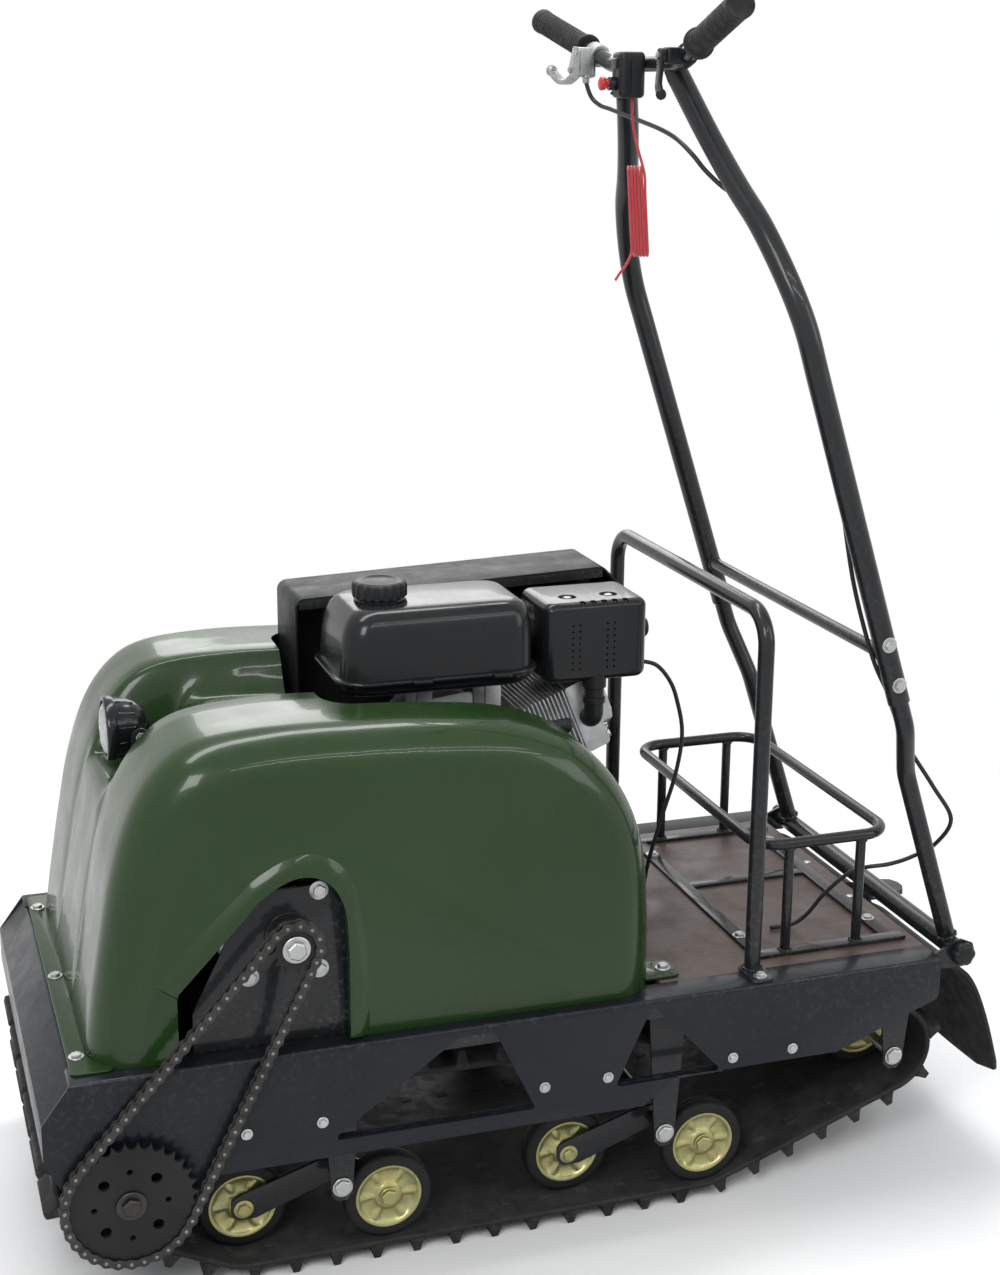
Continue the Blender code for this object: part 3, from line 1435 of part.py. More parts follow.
def drive_belt(centre):
    """The belt between the two variable pulleys."""
    loop = hull_of(
        (
            (CRANK_X, CRANK_Z, IDLE_DRIVE_RADIUS - BELT_DEPTH),
            (centre[0], centre[1], IDLE_DRIVEN_RADIUS - BELT_DEPTH),
        )
    )
    lengths = loop_lengths(loop)
    stations = []
    last = None
    for index in range(len(loop)):
        travel = (lengths[index] + lengths[index + 1]) / 2
        long_run = lengths[index + 1] - lengths[index] > 0.010
        normal = on_loop(loop, lengths, travel)[1]
        turned_far = last is None or normal[0] * last[0] + normal[1] * last[1] < math.cos(math.radians(14))
        if long_run:
            stations.append((lengths[index] + 0.0002, BELT_DEPTH))
            stations.append((lengths[index + 1] - 0.0002, BELT_DEPTH))
            last = normal
        elif turned_far:
            stations.append((travel, BELT_DEPTH))
            last = normal
    slope = math.tan(math.radians(13))
    outer_half = BELT_WIDTH / 2
    middle = PULLEY_NEAR + PULLEY_WIDTH / 2
    belt = band(loop, lengths, stations, middle, outer_half - BELT_DEPTH * slope, outer_half)
    return finish(belt, "drive_belt", "rubber")


def up_cylinder(along, across):
    """A point in (x, z) given along the cylinder's axis from the crankshaft, and across it."""
    cos, sin = math.cos(CYLINDER_TILT), math.sin(CYLINDER_TILT)
    return (CRANK_X + along * cos - across * sin, CRANK_Z + along * sin + across * cos)


def cylinder_block(start, end, half, near, far):
    outline = [up_cylinder(start, -half), up_cylinder(end, -half), up_cylinder(end, half), up_cylinder(start, half)]
    return prism(outline, near, far)


def engine_block():
    """The crankcase, the inclined finned cylinder and head, and the brackets that carry the tank."""
    base = ENGINE_BASE_Z + SEAT_GAP
    outline = [
        (CRANK_X - 0.095, base),
        (CRANK_X - 0.095, base + 0.012),
        (CRANK_X - 0.082, base + 0.022),
        (CRANK_X - 0.082, CRANK_Z + 0.030),
        (CRANK_X - 0.050, CRANK_Z + 0.064),
        (CRANK_X + 0.040, CRANK_Z + 0.074),
        (CRANK_X + 0.085, CRANK_Z + 0.040),
        (CRANK_X + 0.085, base + 0.022),
        (CRANK_X + 0.105, base + 0.012),
        (CRANK_X + 0.105, base),
    ]
    block = prism(outline, -BLOCK_NEAR, BLOCK_FAR)
    parts = [
        cylinder_block(0.050, CYLINDER_END, 0.044, -0.050, 0.060),
        cylinder_block(CYLINDER_END - SINK, HEAD_END, 0.052, -0.055, HEAD_FAR),
        rod((CRANK_X, CRANK_Z), 0.030, BLOCK_FAR - SINK, BLOCK_FAR + 0.014, 14),
    ]
    for index in range(FIN_COUNT):
        start = 0.096 + index * FIN_PITCH
        parts.append(cylinder_block(start, start + 0.003, 0.054, -0.060, 0.068))
    shelf = TANK_BOTTOM_Z - SEAT_GAP
    for x in (CRANK_X - 0.074, CRANK_X + 0.024):
        parts.append(box((x, -0.040, CRANK_Z + 0.030), (x + 0.022, -0.034, shelf)))
        parts.append(box((x, -0.070, shelf - 0.004), (x + 0.022, 0.020, shelf)))
        parts.append(box((x, 0.014, CRANK_Z + 0.030), (x + 0.022, 0.020, shelf)))
    parts.append(rod((CRANK_X - 0.060, base + 0.050), 0.010, -BLOCK_NEAR - 0.012, -BLOCK_NEAR + SINK, 10))
    join(block, *parts)
    bore = rod((CRANK_X, CRANK_Z), CRANK_RADIUS + SHAFT_GAP, 0.010, BLOCK_FAR + 0.030, 14)
    cut(block, bore)
    return finish(block, "engine_block", "aluminium", 25)


def valve_cover():
    near, far = -0.040, 0.050
    cover = cylinder_block(HEAD_END + SEAT_GAP, HEAD_END + 0.024, 0.040, near, far)
    bevel(cover, 0.006)
    ribs = [cylinder_block(HEAD_END + 0.022, HEAD_END + 0.027, 0.030, y, y + 0.004) for y in (-0.020, 0.003, 0.026)]
    head = cylinder_block(HEAD_END + 0.022, HEAD_END + 0.029, 0.005, -0.011, -0.001)
    join(cover, *ribs, head)
    return finish(cover, "valve_cover", "black_paint")


def crankshaft():
    end = PULLEY_NEAR + PULLEY_WIDTH
    shaft = rod((CRANK_X, CRANK_Z), CRANK_RADIUS, 0.012, end + 0.002, 14)
    collar = rod((CRANK_X, CRANK_Z), 0.020, BLOCK_FAR + 0.0145, PULLEY_NEAR - SEAT_GAP, 14)
    washer = rod((CRANK_X, CRANK_Z), 0.018, end + SEAT_GAP, end + 0.004, 14)
    bolt = rod((CRANK_X, CRANK_Z), 0.010, end + 0.003, end + 0.012, 6)
    join(shaft, collar, washer, bolt)
    return finish(shaft, "crankshaft", "steel")


def recoil_housing():
    """The pull starter's cover, with slots round its face and a guide for the cord."""
    centre = (CRANK_X, CRANK_Z)
    inner = -BLOCK_NEAR - SEAT_GAP
    outer = RECOIL_OUTER
    cover = rod(centre, RECOIL_RADIUS, inner - 0.034, inner, 20)
    parts = [
        turned(
            [(0.004, inner - 0.020), (0.004, outer), (0.052, outer), (0.066, outer + 0.010), (0.066, inner - 0.020)],
            centre,
            20,
        ),
        rod(centre, 0.005, inner - 0.010, outer + SINK, 8),
    ]
    guide = Vector((RECOIL_PULL_X, RECOIL_PULL_Y, RECOIL_PULL_Z))
    start = (guide.x, guide.y, CRANK_Z + 0.020)
    parts.append(spindle(start, guide, [(0, 0.011), ((guide - Vector(start)).length, 0.011)], 12))
    low = (guide.x - 0.014, guide.y - 0.006, CRANK_Z + 0.010)
    high = (guide.x + 0.006, inner - 0.004, CRANK_Z + 0.042)
    parts.append(box(low, high))
    join(cover, *parts)
    slots = []
    for index in range(6):
        angle = math.tau * (index + 0.5) / 6
        middle = Matrix.Rotation(-angle, 4, "Y")
        slot = box((0.026, outer - 0.010, -0.008), (0.046, outer + 0.004, 0.008))
        place(slot, Matrix.Translation((CRANK_X, 0, CRANK_Z)) @ middle)
        slots.append(slot)
    cut(cover, merge(slots))
    return finish(cover, "recoil_housing", "black_paint")


def recoil_handle():
    """The pull handle, seated on its guide."""
    top = RECOIL_PULL_Z + SEAT_GAP
    spot = (RECOIL_PULL_X, RECOIL_PULL_Y)
    neck = spindle((*spot, top), (*spot, top + 1), [(0, 0.007), (0.012, 0.009), (0.018, 0.009)], 12)
    grip = spindle(
        (spot[0] - 0.034, spot[1], top + 0.024),
        (spot[0] + 0.034, spot[1], top + 0.024),
        [(0, 0.006), (0.004, 0.010), (0.020, 0.0085), (0.048, 0.0085), (0.064, 0.010), (0.068, 0.006)],
        12,
    )
    join(grip, neck)
    return finish(grip, "recoil_handle", "plastic")


def fuel_tank():
    """A two-part tank: a shallow base, a seam flange and a domed top with a filler neck."""
    rings = []
    for grow, height, corner in (
        (-0.020, TANK_BOTTOM_Z, 0.020),
        (-0.004, TANK_BOTTOM_Z + 0.008, 0.028),
        (0.000, TANK_SEAM_Z - 0.002, 0.030),
        (0.007, TANK_SEAM_Z - 0.002, 0.036),
        (0.007, TANK_SEAM_Z + 0.002, 0.036),
        (0.000, TANK_SEAM_Z + 0.002, 0.030),
        (-0.003, TANK_TOP_Z - 0.030, 0.030),
        (-0.020, TANK_TOP_Z - 0.004, 0.028),
        (-0.036, TANK_TOP_Z, 0.022),
    ):
        size = (TANK_SIZE[0] + 2 * grow, TANK_SIZE[1] + 2 * grow)
        rings.append(rounded_rectangle(TANK_CENTRE, size, corner, height))
    tank = loft(rings)
    neck = rod(CAP_SPOT, CAP_RADIUS - 0.005, TANK_TOP_Z - 0.020, TANK_TOP_Z + 0.003, 18, "Z")
    join(tank, neck)
    return finish(tank, "fuel_tank", "plastic", 25)


def fuel_cap():
    base = TANK_TOP_Z + 0.003 + SEAT_GAP
    outline = []
    for index in range(36):
        angle = math.tau * index / 36
        reach = CAP_RADIUS if index % 4 in (1, 2) else CAP_RADIUS - 0.0025
        outline.append((CAP_SPOT[0] + reach * math.cos(angle), CAP_SPOT[1] + reach * math.sin(angle)))
    cap = prism(outline, base, base + CAP_HEIGHT - 0.004, "Z")
    top = spindle(
        (*CAP_SPOT, base), (*CAP_SPOT, base + 1), [(CAP_HEIGHT - 0.006, 0.034), (CAP_HEIGHT, 0.030)], 18
    )
    join(cap, top)
    return finish(cap, "fuel_cap", "plastic")


def air_cleaner():
    """The air cleaner's box, with recessed bolts, vent slots, a clamp knob and its pipe to the head."""
    low = (CLEANER_FRONT, CLEANER_NEAR, CLEANER_BOTTOM)
    high = (CLEANER_REAR, CLEANER_FAR, CLEANER_TOP)
    body = padded_box(low, high, 0.014, 0.012)
    middle = ((low[0] + high[0]) / 2, (low[2] + high[2]) / 2)
    cutters = []
    for x in (low[0] + 0.034, high[0] - 0.034):
        cutters.append(rod((x, middle[1] + 0.008), 0.011, low[1] - SHEET, low[1] + 0.006, 12))
    for index in range(4):
        x = low[0] + 0.045 + index * 0.018
        cutters.append(box((x, low[1] - SHEET, low[2] + 0.016), (x + 0.007, low[1] + 0.003, low[2] + 0.034)))
    cut(body, merge(cutters))
    parts = []
    for x in (low[0] + 0.034, high[0] - 0.034):
        parts.append(rod((x, middle[1] + 0.008), 0.006, low[1] + 0.001, low[1] + 0.008, 6))
    knob = (high[0] - SINK, (low[1] + high[1]) / 2, middle[1])
    parts.append(spindle(knob, (knob[0] + 1, knob[1], knob[2]), [(0, 0.006), (0.008, 0.006)], 12))
    parts.append(
        spindle((knob[0] + 0.006, *knob[1:]), (knob[0] + 1, *knob[1:]), [(0, 0.014), (0.012, 0.014), (0.014, 0.011)])
    )
    x, y = ELBOW_SPOT
    top = CLEANER_BOTTOM + 0.014
    path = rounded_path([(x, y, top), (x, y, ELBOW_LOW), (x, -0.0553, ELBOW_LOW)], 0.015, 3)
    parts.append(sweep(path, 0.0135, 12))
    parts.append(rod((x, y), 0.0165, CLEANER_BOTTOM - 0.012, CLEANER_BOTTOM + 0.013, 12, "Z"))
    join(body, *parts)
    return finish(body, "air_cleaner", "plastic", 25)


def muffler():
    """The silencer under the guard, with its pipe to the head and a tail pipe."""
    low = Vector((MUFFLER_FRONT, MUFFLER_NEAR, MUFFLER_BOTTOM))
    high = low + Vector((MUFFLER_LENGTH, MUFFLER_WIDTH, MUFFLER_HEIGHT))
    body = padded_box(low, high, MUFFLER_CORNER, 0.012)
    pipe = box((low.x + 0.051, HEAD_FAR + SEAT_GAP, low.z - 0.036), (low.x + 0.075, low.y + 0.030, low.z + 0.006))
    outlet = Vector((high.x - 0.015, low.y + MUFFLER_WIDTH / 2, low.z + 0.045))
    tail = spindle(outlet, outlet + Vector((1, 0, 0)), [(0, 0.010), (0.024, 0.010)], 12)
    join(body, pipe, tail)
    return finish(body, "muffler", "steel")


def belt_guard():
    """The guard over the belt drive and the silencer: a vented roof, an outer wall and two legs."""
    thick = 0.003
    low = (GUARD_FRONT, GUARD_NEAR, GUARD_BOTTOM)
    high = (GUARD_REAR, GUARD_FAR, GUARD_TOP)
    roof = box((low[0], low[1], high[2] - thick), (high[0], high[1], high[2]))
    wall_outline = [
        (low[0], GUARD_NOSE_Z),
        (low[0], high[2]),
        (high[0], high[2]),
        (high[0], low[2] + 0.050),
        (0.110, low[2]),
        (-0.110, low[2]),
    ]
    parts = [
        prism(wall_outline, high[1] - thick, high[1]),
        box((low[0], low[1], GUARD_NOSE_Z), (low[0] + thick, high[1], high[2])),
        box((high[0] - thick, low[1], high[2] - 0.070), (high[0], high[1], high[2])),
        box((low[0], low[1], high[2] - 0.016), (high[0], low[1] + thick, high[2])),
    ]
    front_foot = CROSS_TOP + SEAT_GAP
    rear_foot = FOLD_HEIGHT + SEAT_GAP
    for x, foot, above in ((-0.240, front_foot, GUARD_NOSE_Z + 0.020), (0.204, rear_foot, low[2] + 0.080)):
        parts.append(box((x, high[1] - thick, foot), (x + 0.024, high[1], above)))
        parts.append(box((x, high[1] - thick, foot), (x + 0.024, high[1] + 0.022, foot + thick)))
        parts.append(rod((x + 0.012, high[1] + 0.010), 0.006, foot + thick - SINK, foot + thick + 0.004, 6, "Z"))
    join(roof, *parts)
    slots = []
    for index in range(6):
        x = low[0] + 0.052 + index * 0.066
        slots.append(box((x, low[1] + 0.030, high[2] - 0.010), (x + 0.026, high[1] - 0.030, high[2] + 0.010)))
    cut(roof, merge(slots))
    return finish(roof, "belt_guard", "black_paint")


def inward(profile, distance):
    """Moves each point of a profile inward, keeping its first and last on their own level."""
    moved = []
    last = len(profile) - 1
    for index, point in enumerate(profile):
        if index in (0, last):
            side = 1 if index == 0 else -1
            moved.append((point[0] + side * distance, point[1]))
            continue
        before, after = profile[index - 1], profile[index + 1]
        along = Vector((after[0] - before[0], after[1] - before[1])).normalized()
        moved.append((point[0] + along.y * distance, point[1] - along.x * distance))
    return moved


def hood_solid(shrink, floor):
    """The hood's solid shape: two raised lobes with round outer edges, and the lower middle between them."""
    half = HOOD_HALF_WIDTH - shrink
    stations = []
    for degrees in (0, 28, 58, 90):
        angle = math.radians(degrees)
        radius = HOOD_EDGE_RADIUS
        stations.append((half - radius * (1 - math.cos(angle)), radius * (1 - math.sin(angle)), 0.0))
    edge = CHANNEL_HALF_WIDTH + shrink
    stations.append((edge + 0.022, 0.003, 0.0))
    stations.append((edge + 0.010, 0.004, 0.10))
    stations.append((edge + 0.004, 0.0, 0.35))
    stations.append((edge - 0.002, 0.0, 0.85))
    stations.append((edge - 0.010, 0.0, 1.0))
    rings = []
    spots = [(-y, inset, blend) for y, inset, blend in stations]
    spots += [(y, inset, blend) for y, inset, blend in reversed(stations)]
    for y, inset, blend in spots:
        outer = inward(HOOD_PROFILE, inset + shrink)
        middle = inward(HOOD_MIDDLE, shrink)
        ring = []
        for index, (first, second) in enumerate(zip(outer, middle)):
            x = first[0] + (second[0] - first[0]) * blend
            z = FOLD_HEIGHT + first[1] + (second[1] - first[1]) * blend
            if index in (0, len(outer) - 1):
                z = floor
            ring.append((x, y, z))
        rings.append(ring)
    return loft(rings)


def hood():
    """The moulded hood: a shell with an engine opening, an arched side opening, a lamp bracket and flanges."""
    base = FOLD_HEIGHT + SEAT_GAP
    shell = hood_solid(0.0, base)
    arch = smooth_line([(x, 0, FOLD_HEIGHT + height) for x, height in ARCH], steps=2)
    arch = [(spot.x, spot.z) for spot in arch]
    sill = [(ARCH[0][0], base - 0.010)] + arch + [(ARCH[-1][0], base - 0.010)]
    lip = [(ARCH[0][0] - 0.010, base + 0.045)]
    centre = Vector((ARCH_MIDDLE[0], FOLD_HEIGHT + ARCH_MIDDLE[1]))
    for x, z in arch:
        out = (Vector((x, z)) - centre).normalized() * 0.012
        lip.append((x + out.x, z + out.y))
    lip.append((ARCH[-1][0] + 0.010, base + 0.002))
    lip.append((ARCH[-1][0] - 0.020, base + 0.002))
    lip.append((ARCH[0][0] + 0.020, base + 0.045))
    flare = prism(lip, -HOOD_HALF_WIDTH - 0.009, -HOOD_HALF_WIDTH + 0.030)
    join(shell, flare)
    cut(shell, hood_solid(HOOD_SHELL, base - 0.010))
    cut(shell, box((OPENING_FRONT, -OPENING_NEAR_EDGE, base - 0.010), (OPENING_REAR, OPENING_FAR, 1.0)))
    cut(shell, prism(sill, -HOOD_HALF_WIDTH - 0.060, -HOOD_HALF_WIDTH + 0.060))
    parts = [box((-0.612, -HOOD_HALF_WIDTH, base), (-0.560, HOOD_HALF_WIDTH, base + 0.003))]
    for y in (-0.240, 0.240):
        parts.append(rod((-0.600, y), 0.007, base + 0.002, base + 0.008, 6, "Z"))
    parts.append(box((0.150, -0.250, base), (0.206, -0.200, base + 0.004)))
    parts.append(rod((0.190, -0.224), 0.0075, base + 0.003, base + 0.010, 6, "Z"))
    for side in (-1, 1):
        ear = [
            (LAMP_PIVOT_X - 0.016, LAMP_LEDGE_Z - 0.002),
            (LAMP_PIVOT_X - 0.012, LAMP_Z + 0.006),
            (LAMP_PIVOT_X, LAMP_Z + 0.013),
            (LAMP_PIVOT_X + 0.012, LAMP_Z + 0.006),
            (LAMP_PIVOT_X + 0.020, LAMP_LEDGE_Z - 0.002),
        ]
        near, far = sorted((side * (LAMP_RADIUS + 0.004), side * (LAMP_RADIUS + 0.007)))
        parts.append(prism(ear, near, far))
        tab = ((LAMP_PIVOT_X - 0.016, near, LAMP_LEDGE_Z - 0.002), (LAMP_PIVOT_X + 0.020, far, LAMP_LEDGE_Z + 0.002))
        parts.append(box(*tab))
    join(shell, *parts)
    bores = [rod((LAMP_PIVOT_X, LAMP_Z), 0.0045, -LAMP_RADIUS - 0.020, LAMP_RADIUS + 0.020, 12)]
    cut(shell, *bores)
    return finish(shell, "hood", "green_gelcoat", 40)


def headlight():
    """The lamp's bowl between its bracket ears, and its clear lens."""
    front = LAMP_X - LAMP_DEPTH / 2
    profile = [
        (0.0, LAMP_RADIUS - 0.004),
        (0.003, LAMP_RADIUS),
        (0.012, LAMP_RADIUS),
        (0.016, LAMP_RADIUS - 0.003),
        (0.044, LAMP_RADIUS - 0.010),
        (0.056, LAMP_RADIUS - 0.024),
        (LAMP_DEPTH, 0.010),
    ]
    bowl = spindle((front, 0, LAMP_Z), (front + 1, 0, LAMP_Z), profile, 16)
    reach = LAMP_RADIUS + 0.011
    pin = rod((LAMP_PIVOT_X, LAMP_Z), 0.004, -reach, reach)
    parts = [pin]
    for side in (-1, 1):
        parts.append(rod((LAMP_PIVOT_X, LAMP_Z), 0.008, *sorted((side * (LAMP_RADIUS + 0.0076), side * reach)), 6))
        start, end = side * 0.030, side * (LAMP_RADIUS + 0.0036)
        parts.append(rod((LAMP_PIVOT_X, LAMP_Z), 0.007, *sorted((start, end)), 12))
    join(bowl, *parts)
    recess = spindle(
        (front - 0.001, 0, LAMP_Z), (front + 1, 0, LAMP_Z), [(0, LAMP_RADIUS - 0.006), (0.013, LAMP_RADIUS - 0.008)], 16
    )
    cut(bowl, recess)
    finish(bowl, "headlight_housing", "plastic")
    radius = LAMP_RADIUS - 0.009
    lens = spindle(
        (front, 0, LAMP_Z),
        (front + 1, 0, LAMP_Z),
        [(-0.004, radius - 0.018), (-0.001, radius - 0.006), (0.003, radius), (0.0115, radius)],
        16,
    )
    finish(lens, "headlight_lens", "clear_lens")


def rack_hoop():
    """The upright hoop behind the engine, on two bolted feet."""
    base = FOLD_HEIGHT + SEAT_GAP
    half = HOOP_HALF_WIDTH
    points = [(HOOP_X, -half, base), (HOOP_X, -half, HOOP_TOP), (HOOP_X, half, HOOP_TOP), (HOOP_X, half, base)]
    hoop = sweep(rounded_path(points, HOOP_BEND, 4), HOOP_TUBE, 12)
    parts = []
    for side in (-1, 1):
        low = (HOOP_X - 0.016, side * half - 0.014, base)
        high = (HOOP_X + 0.016, side * half + 0.038, base + 0.004)
        if side < 0:
            low, high = (low[0], -half - 0.038, base), (high[0], -half + 0.014, base + 0.004)
        parts.append(box(low, high))
        spot = (HOOP_X, side * (half + 0.026))
        parts.append(rod(spot, 0.0065, base + 0.003, base + 0.009, 6, "Z"))
    join(hoop, *parts)
    return finish(hoop, "rack_hoop", "black_paint")


def rack_ring():
    """The cargo rail: a closed ring on four posts, welded to flat bars that are bolted to the deck."""
    base = FOLD_HEIGHT + SEAT_GAP
    middle = ((RING_FRONT + RING_REAR) / 2, 0.0)
    size = (RING_REAR - RING_FRONT, 2 * RING_HALF_WIDTH)
    ring = sweep(rounded_rectangle(middle, size, RING_CORNER, RING_HEIGHT, 3), RING_TUBE, 8, True)
    parts = []
    half_bar = BAR_WIDTH / 2
    for y in (-RING_HALF_WIDTH, RING_HALF_WIDTH):
        parts.append(box((RING_FRONT - 0.005, y - half_bar, base), (RING_REAR + 0.030, y + half_bar, base + BAR_HEIGHT)))
        for x in (RING_FRONT + 0.045, RING_REAR - 0.045):
            post = rod((x, y), RING_TUBE - 0.001, base + SINK, RING_HEIGHT, 8, "Z")
            parts.append(post)
    for x in (RING_FRONT + 0.005, RING_REAR + 0.008):
        low = (x - half_bar, -RING_HALF_WIDTH, base)
        parts.append(box(low, (x + half_bar, RING_HALF_WIDTH, base + BAR_HEIGHT - 0.0005)))
    parts.append(box((RING_FRONT, 0.025, base), (RING_REAR + 0.010, 0.045, base + BAR_HEIGHT - 0.001)))
    bolts = ((RING_FRONT + 0.005, -0.160), (RING_FRONT + 0.005, 0.160), (RING_REAR + 0.008, -0.156))
    bolts += ((RING_REAR + 0.008, 0.156),)
    for spot in bolts:
        parts.append(rod(spot, 0.0075, base + BAR_HEIGHT - 0.002, base + BAR_HEIGHT + 0.005, 6, "Z"))
    join(ring, *parts)
    return finish(ring, "rack_ring", "black_paint")


def up_handle(along, y, forward=0.0):
    """A point at a distance up the handle from its pivot."""
    x = PIVOT_X - along * math.sin(HANDLE_LEAN) - forward * math.cos(HANDLE_LEAN)
    z = PIVOT_Z + along * math.cos(HANDLE_LEAN) - forward * math.sin(HANDLE_LEAN)
    return Vector((x, y, z))


def lower_handle():
    """The pivot tube across the rear of the frame, with the two inner posts of the handle."""
    end = TUBE_INNER - SEAT_GAP
    across = rod((PIVOT_X, PIVOT_Z), PIVOT_TUBE, -end, end, 14)
    posts = []
    for side in (-1, 1):
        line = [
            up_handle(0, side * BASE_HALF_WIDTH),
            up_handle(FLARE_START, side * BASE_HALF_WIDTH),
            up_handle(FLARE_END, side * POST_HALF_WIDTH),
            up_handle(LOWER_END, side * POST_HALF_WIDTH),
        ]
        posts.append(sweep(rounded_path(line, 0.060, 2), LOWER_TUBE, 10))
    join(across, *posts)
    bores = []
    for side in (-1, 1):
        start, finish_at = sorted((side * (end - 0.016), side * (end + 0.010)))
        bores.append(rod((PIVOT_X, PIVOT_Z), PIN_RADIUS + SHAFT_GAP, start, finish_at, 14))
    cut(across, *bores)
    return finish(across, "lower_handle", "black_paint")


def pivot_knob(side, name):
    """The clamp knob of one pivot, whose pin runs through the frame's ear into the pivot tube."""
    end = TUBE_INNER - SEAT_GAP
    outer = TUBE_INNER + SINK + EAR_THICKNESS + SEAT_GAP
    pin = rod((PIVOT_X, PIVOT_Z), PIN_RADIUS, side * (end - 0.015), side * (outer + SINK), 14)
    outline = []
    for index in range(16):
        angle = math.tau * index / 16
        reach = KNOB_RADIUS if index % 4 in (1, 2) else KNOB_RADIUS - 0.002
        outline.append((PIVOT_X + reach * math.cos(angle), PIVOT_Z + reach * math.sin(angle)))
    head = prism(outline, side * outer, side * (outer + 0.013))
    cap = rod((PIVOT_X, PIVOT_Z), KNOB_RADIUS - 0.005, side * (outer + 0.012), side * (outer + 0.016), 16)
    join(pin, head, cap)
    return finish(pin, name, "plastic")


def bar_point(y):
    """The handlebar's middle line at a distance along Y."""
    side = 1 if y > 0 else -1
    reach = abs(y)
    if reach <= BAR_STRAIGHT:
        return Vector((BAR_X, y, BAR_Z))
    share = (reach - BAR_STRAIGHT) / (BAR_END[1] - BAR_STRAIGHT)
    x = BAR_X + (BAR_END[0] - BAR_X) * share
    z = BAR_Z + (BAR_END[2] - BAR_Z) * share
    return Vector((x, side * reach, z))


def upper_handle():
    """The outer handle: two sleeves over the lower posts, a crossbar, and the neck that carries the handlebar."""
    neck = []
    for side in (-1, 1):
        line = [up_handle(SLEEVE_START, side * POST_HALF_WIDTH)]
        line.append(up_handle(SHOULDER_AT - 0.060, side * POST_HALF_WIDTH))
        for along, half in NECK_LINE:
            line.append(up_handle(along, side * half))
        bend = smooth_line(line[1:], steps=2)
        neck.append(sweep([line[0]] + bend, UPPER_TUBE, 10))
    half = BAR_END[1]
    bar_line = [bar_point(-half), bar_point(-BAR_STRAIGHT), bar_point(BAR_STRAIGHT), bar_point(half)]
    parts = [
        neck[1],
        sweep(rounded_path(bar_line, 0.060, 3), BAR_TUBE, 12),
        sweep([up_handle(CROSSBAR_AT, -POST_HALF_WIDTH), up_handle(CROSSBAR_AT, POST_HALF_WIDTH)], 0.009, 12),
    ]
    perch = bar_point(PERCH_Y)
    parts.append(box((perch.x - 0.030, PERCH_Y - 0.013, perch.z - 0.026), (perch.x - 0.006, PERCH_Y + 0.013, perch.z + 0.012)))
    throttle = bar_point(THROTTLE_Y)
    low = (throttle.x - 0.028, THROTTLE_Y - 0.010, throttle.z - 0.010)
    parts.append(box(low, (throttle.x - 0.006, THROTTLE_Y + 0.010, throttle.z + 0.010)))
    for side in (-1, 1):
        for along in (SLEEVE_START + 0.030, SLEEVE_START + 0.090):
            spot = up_handle(along, side * POST_HALF_WIDTH)
            near, far = sorted((side * (POST_HALF_WIDTH + 0.013), side * (POST_HALF_WIDTH + 0.021)))
            parts.append(rod((spot.x, spot.z), 0.0075, near, far, 6))
    join(neck[0], *parts)
    bores = []
    for side in (-1, 1):
        line = [up_handle(SLEEVE_START - 0.010, side * POST_HALF_WIDTH)]
        line.append(up_handle(LOWER_END + 0.010, side * POST_HALF_WIDTH))
        bores.append(sweep(line, LOWER_TUBE + 0.0006, 10))
    cut(neck[0], *bores)
    return finish(neck[0], "upper_handle", "black_paint")


def grips():
    """Two ribbed rubber grips over the handlebar's ends."""
    for side, hand in ((-1, "left"), (1, "right")):
        start = bar_point(side * GRIP_START)
        end = bar_point(side * BAR_END[1])
        length = (end - start).length + 0.005
        stations = [(0.0, GRIP_RADIUS + 0.003), (0.005, GRIP_RADIUS + 0.003), (0.006, GRIP_RADIUS)]
        ribs = 3
        pitch = (length - 0.020) / ribs
        for index in range(ribs):
            at = 0.010 + index * pitch
            stations.append((at + pitch * 0.2, GRIP_RADIUS))
            stations.append((at + pitch * 0.5, GRIP_RADIUS - 0.002))
            stations.append((at + pitch * 0.8, GRIP_RADIUS))
        stations.append((length - 0.003, GRIP_RADIUS + 0.001))
        stations.append((length, GRIP_RADIUS - 0.002))
        grip = spindle(start, end, stations, 12)
        reach = (end - start).length + SEAT_GAP
        cut(grip, spindle(start, end, [(-0.010, BAR_TUBE + 0.0006), (reach, BAR_TUBE + 0.0006)], 12))
        finish(grip, f"grip_{hand}", "rubber")


def flat_bar(points, half_width, half_height):
    """A bar of rectangular section through points, with its width in (x, z) and its height across."""
    rings = []
    spots = [Vector(point) for point in points]
    for index, spot in enumerate(spots):
        before = spots[max(index - 1, 0)]
        after = spots[min(index + 1, len(spots) - 1)]
        along = (after - before).normalized()
        across = Vector((1, 0, 0))
        across = (across - along * across.dot(along)).normalized()
        up = along.cross(across)
        ring = []
        for first, second in ((-1, -1), (1, -1), (1, 1), (-1, 1)):
            ring.append(spot + across * first * half_width + up * second * half_height)
        rings.append(ring)
    return loft(rings)


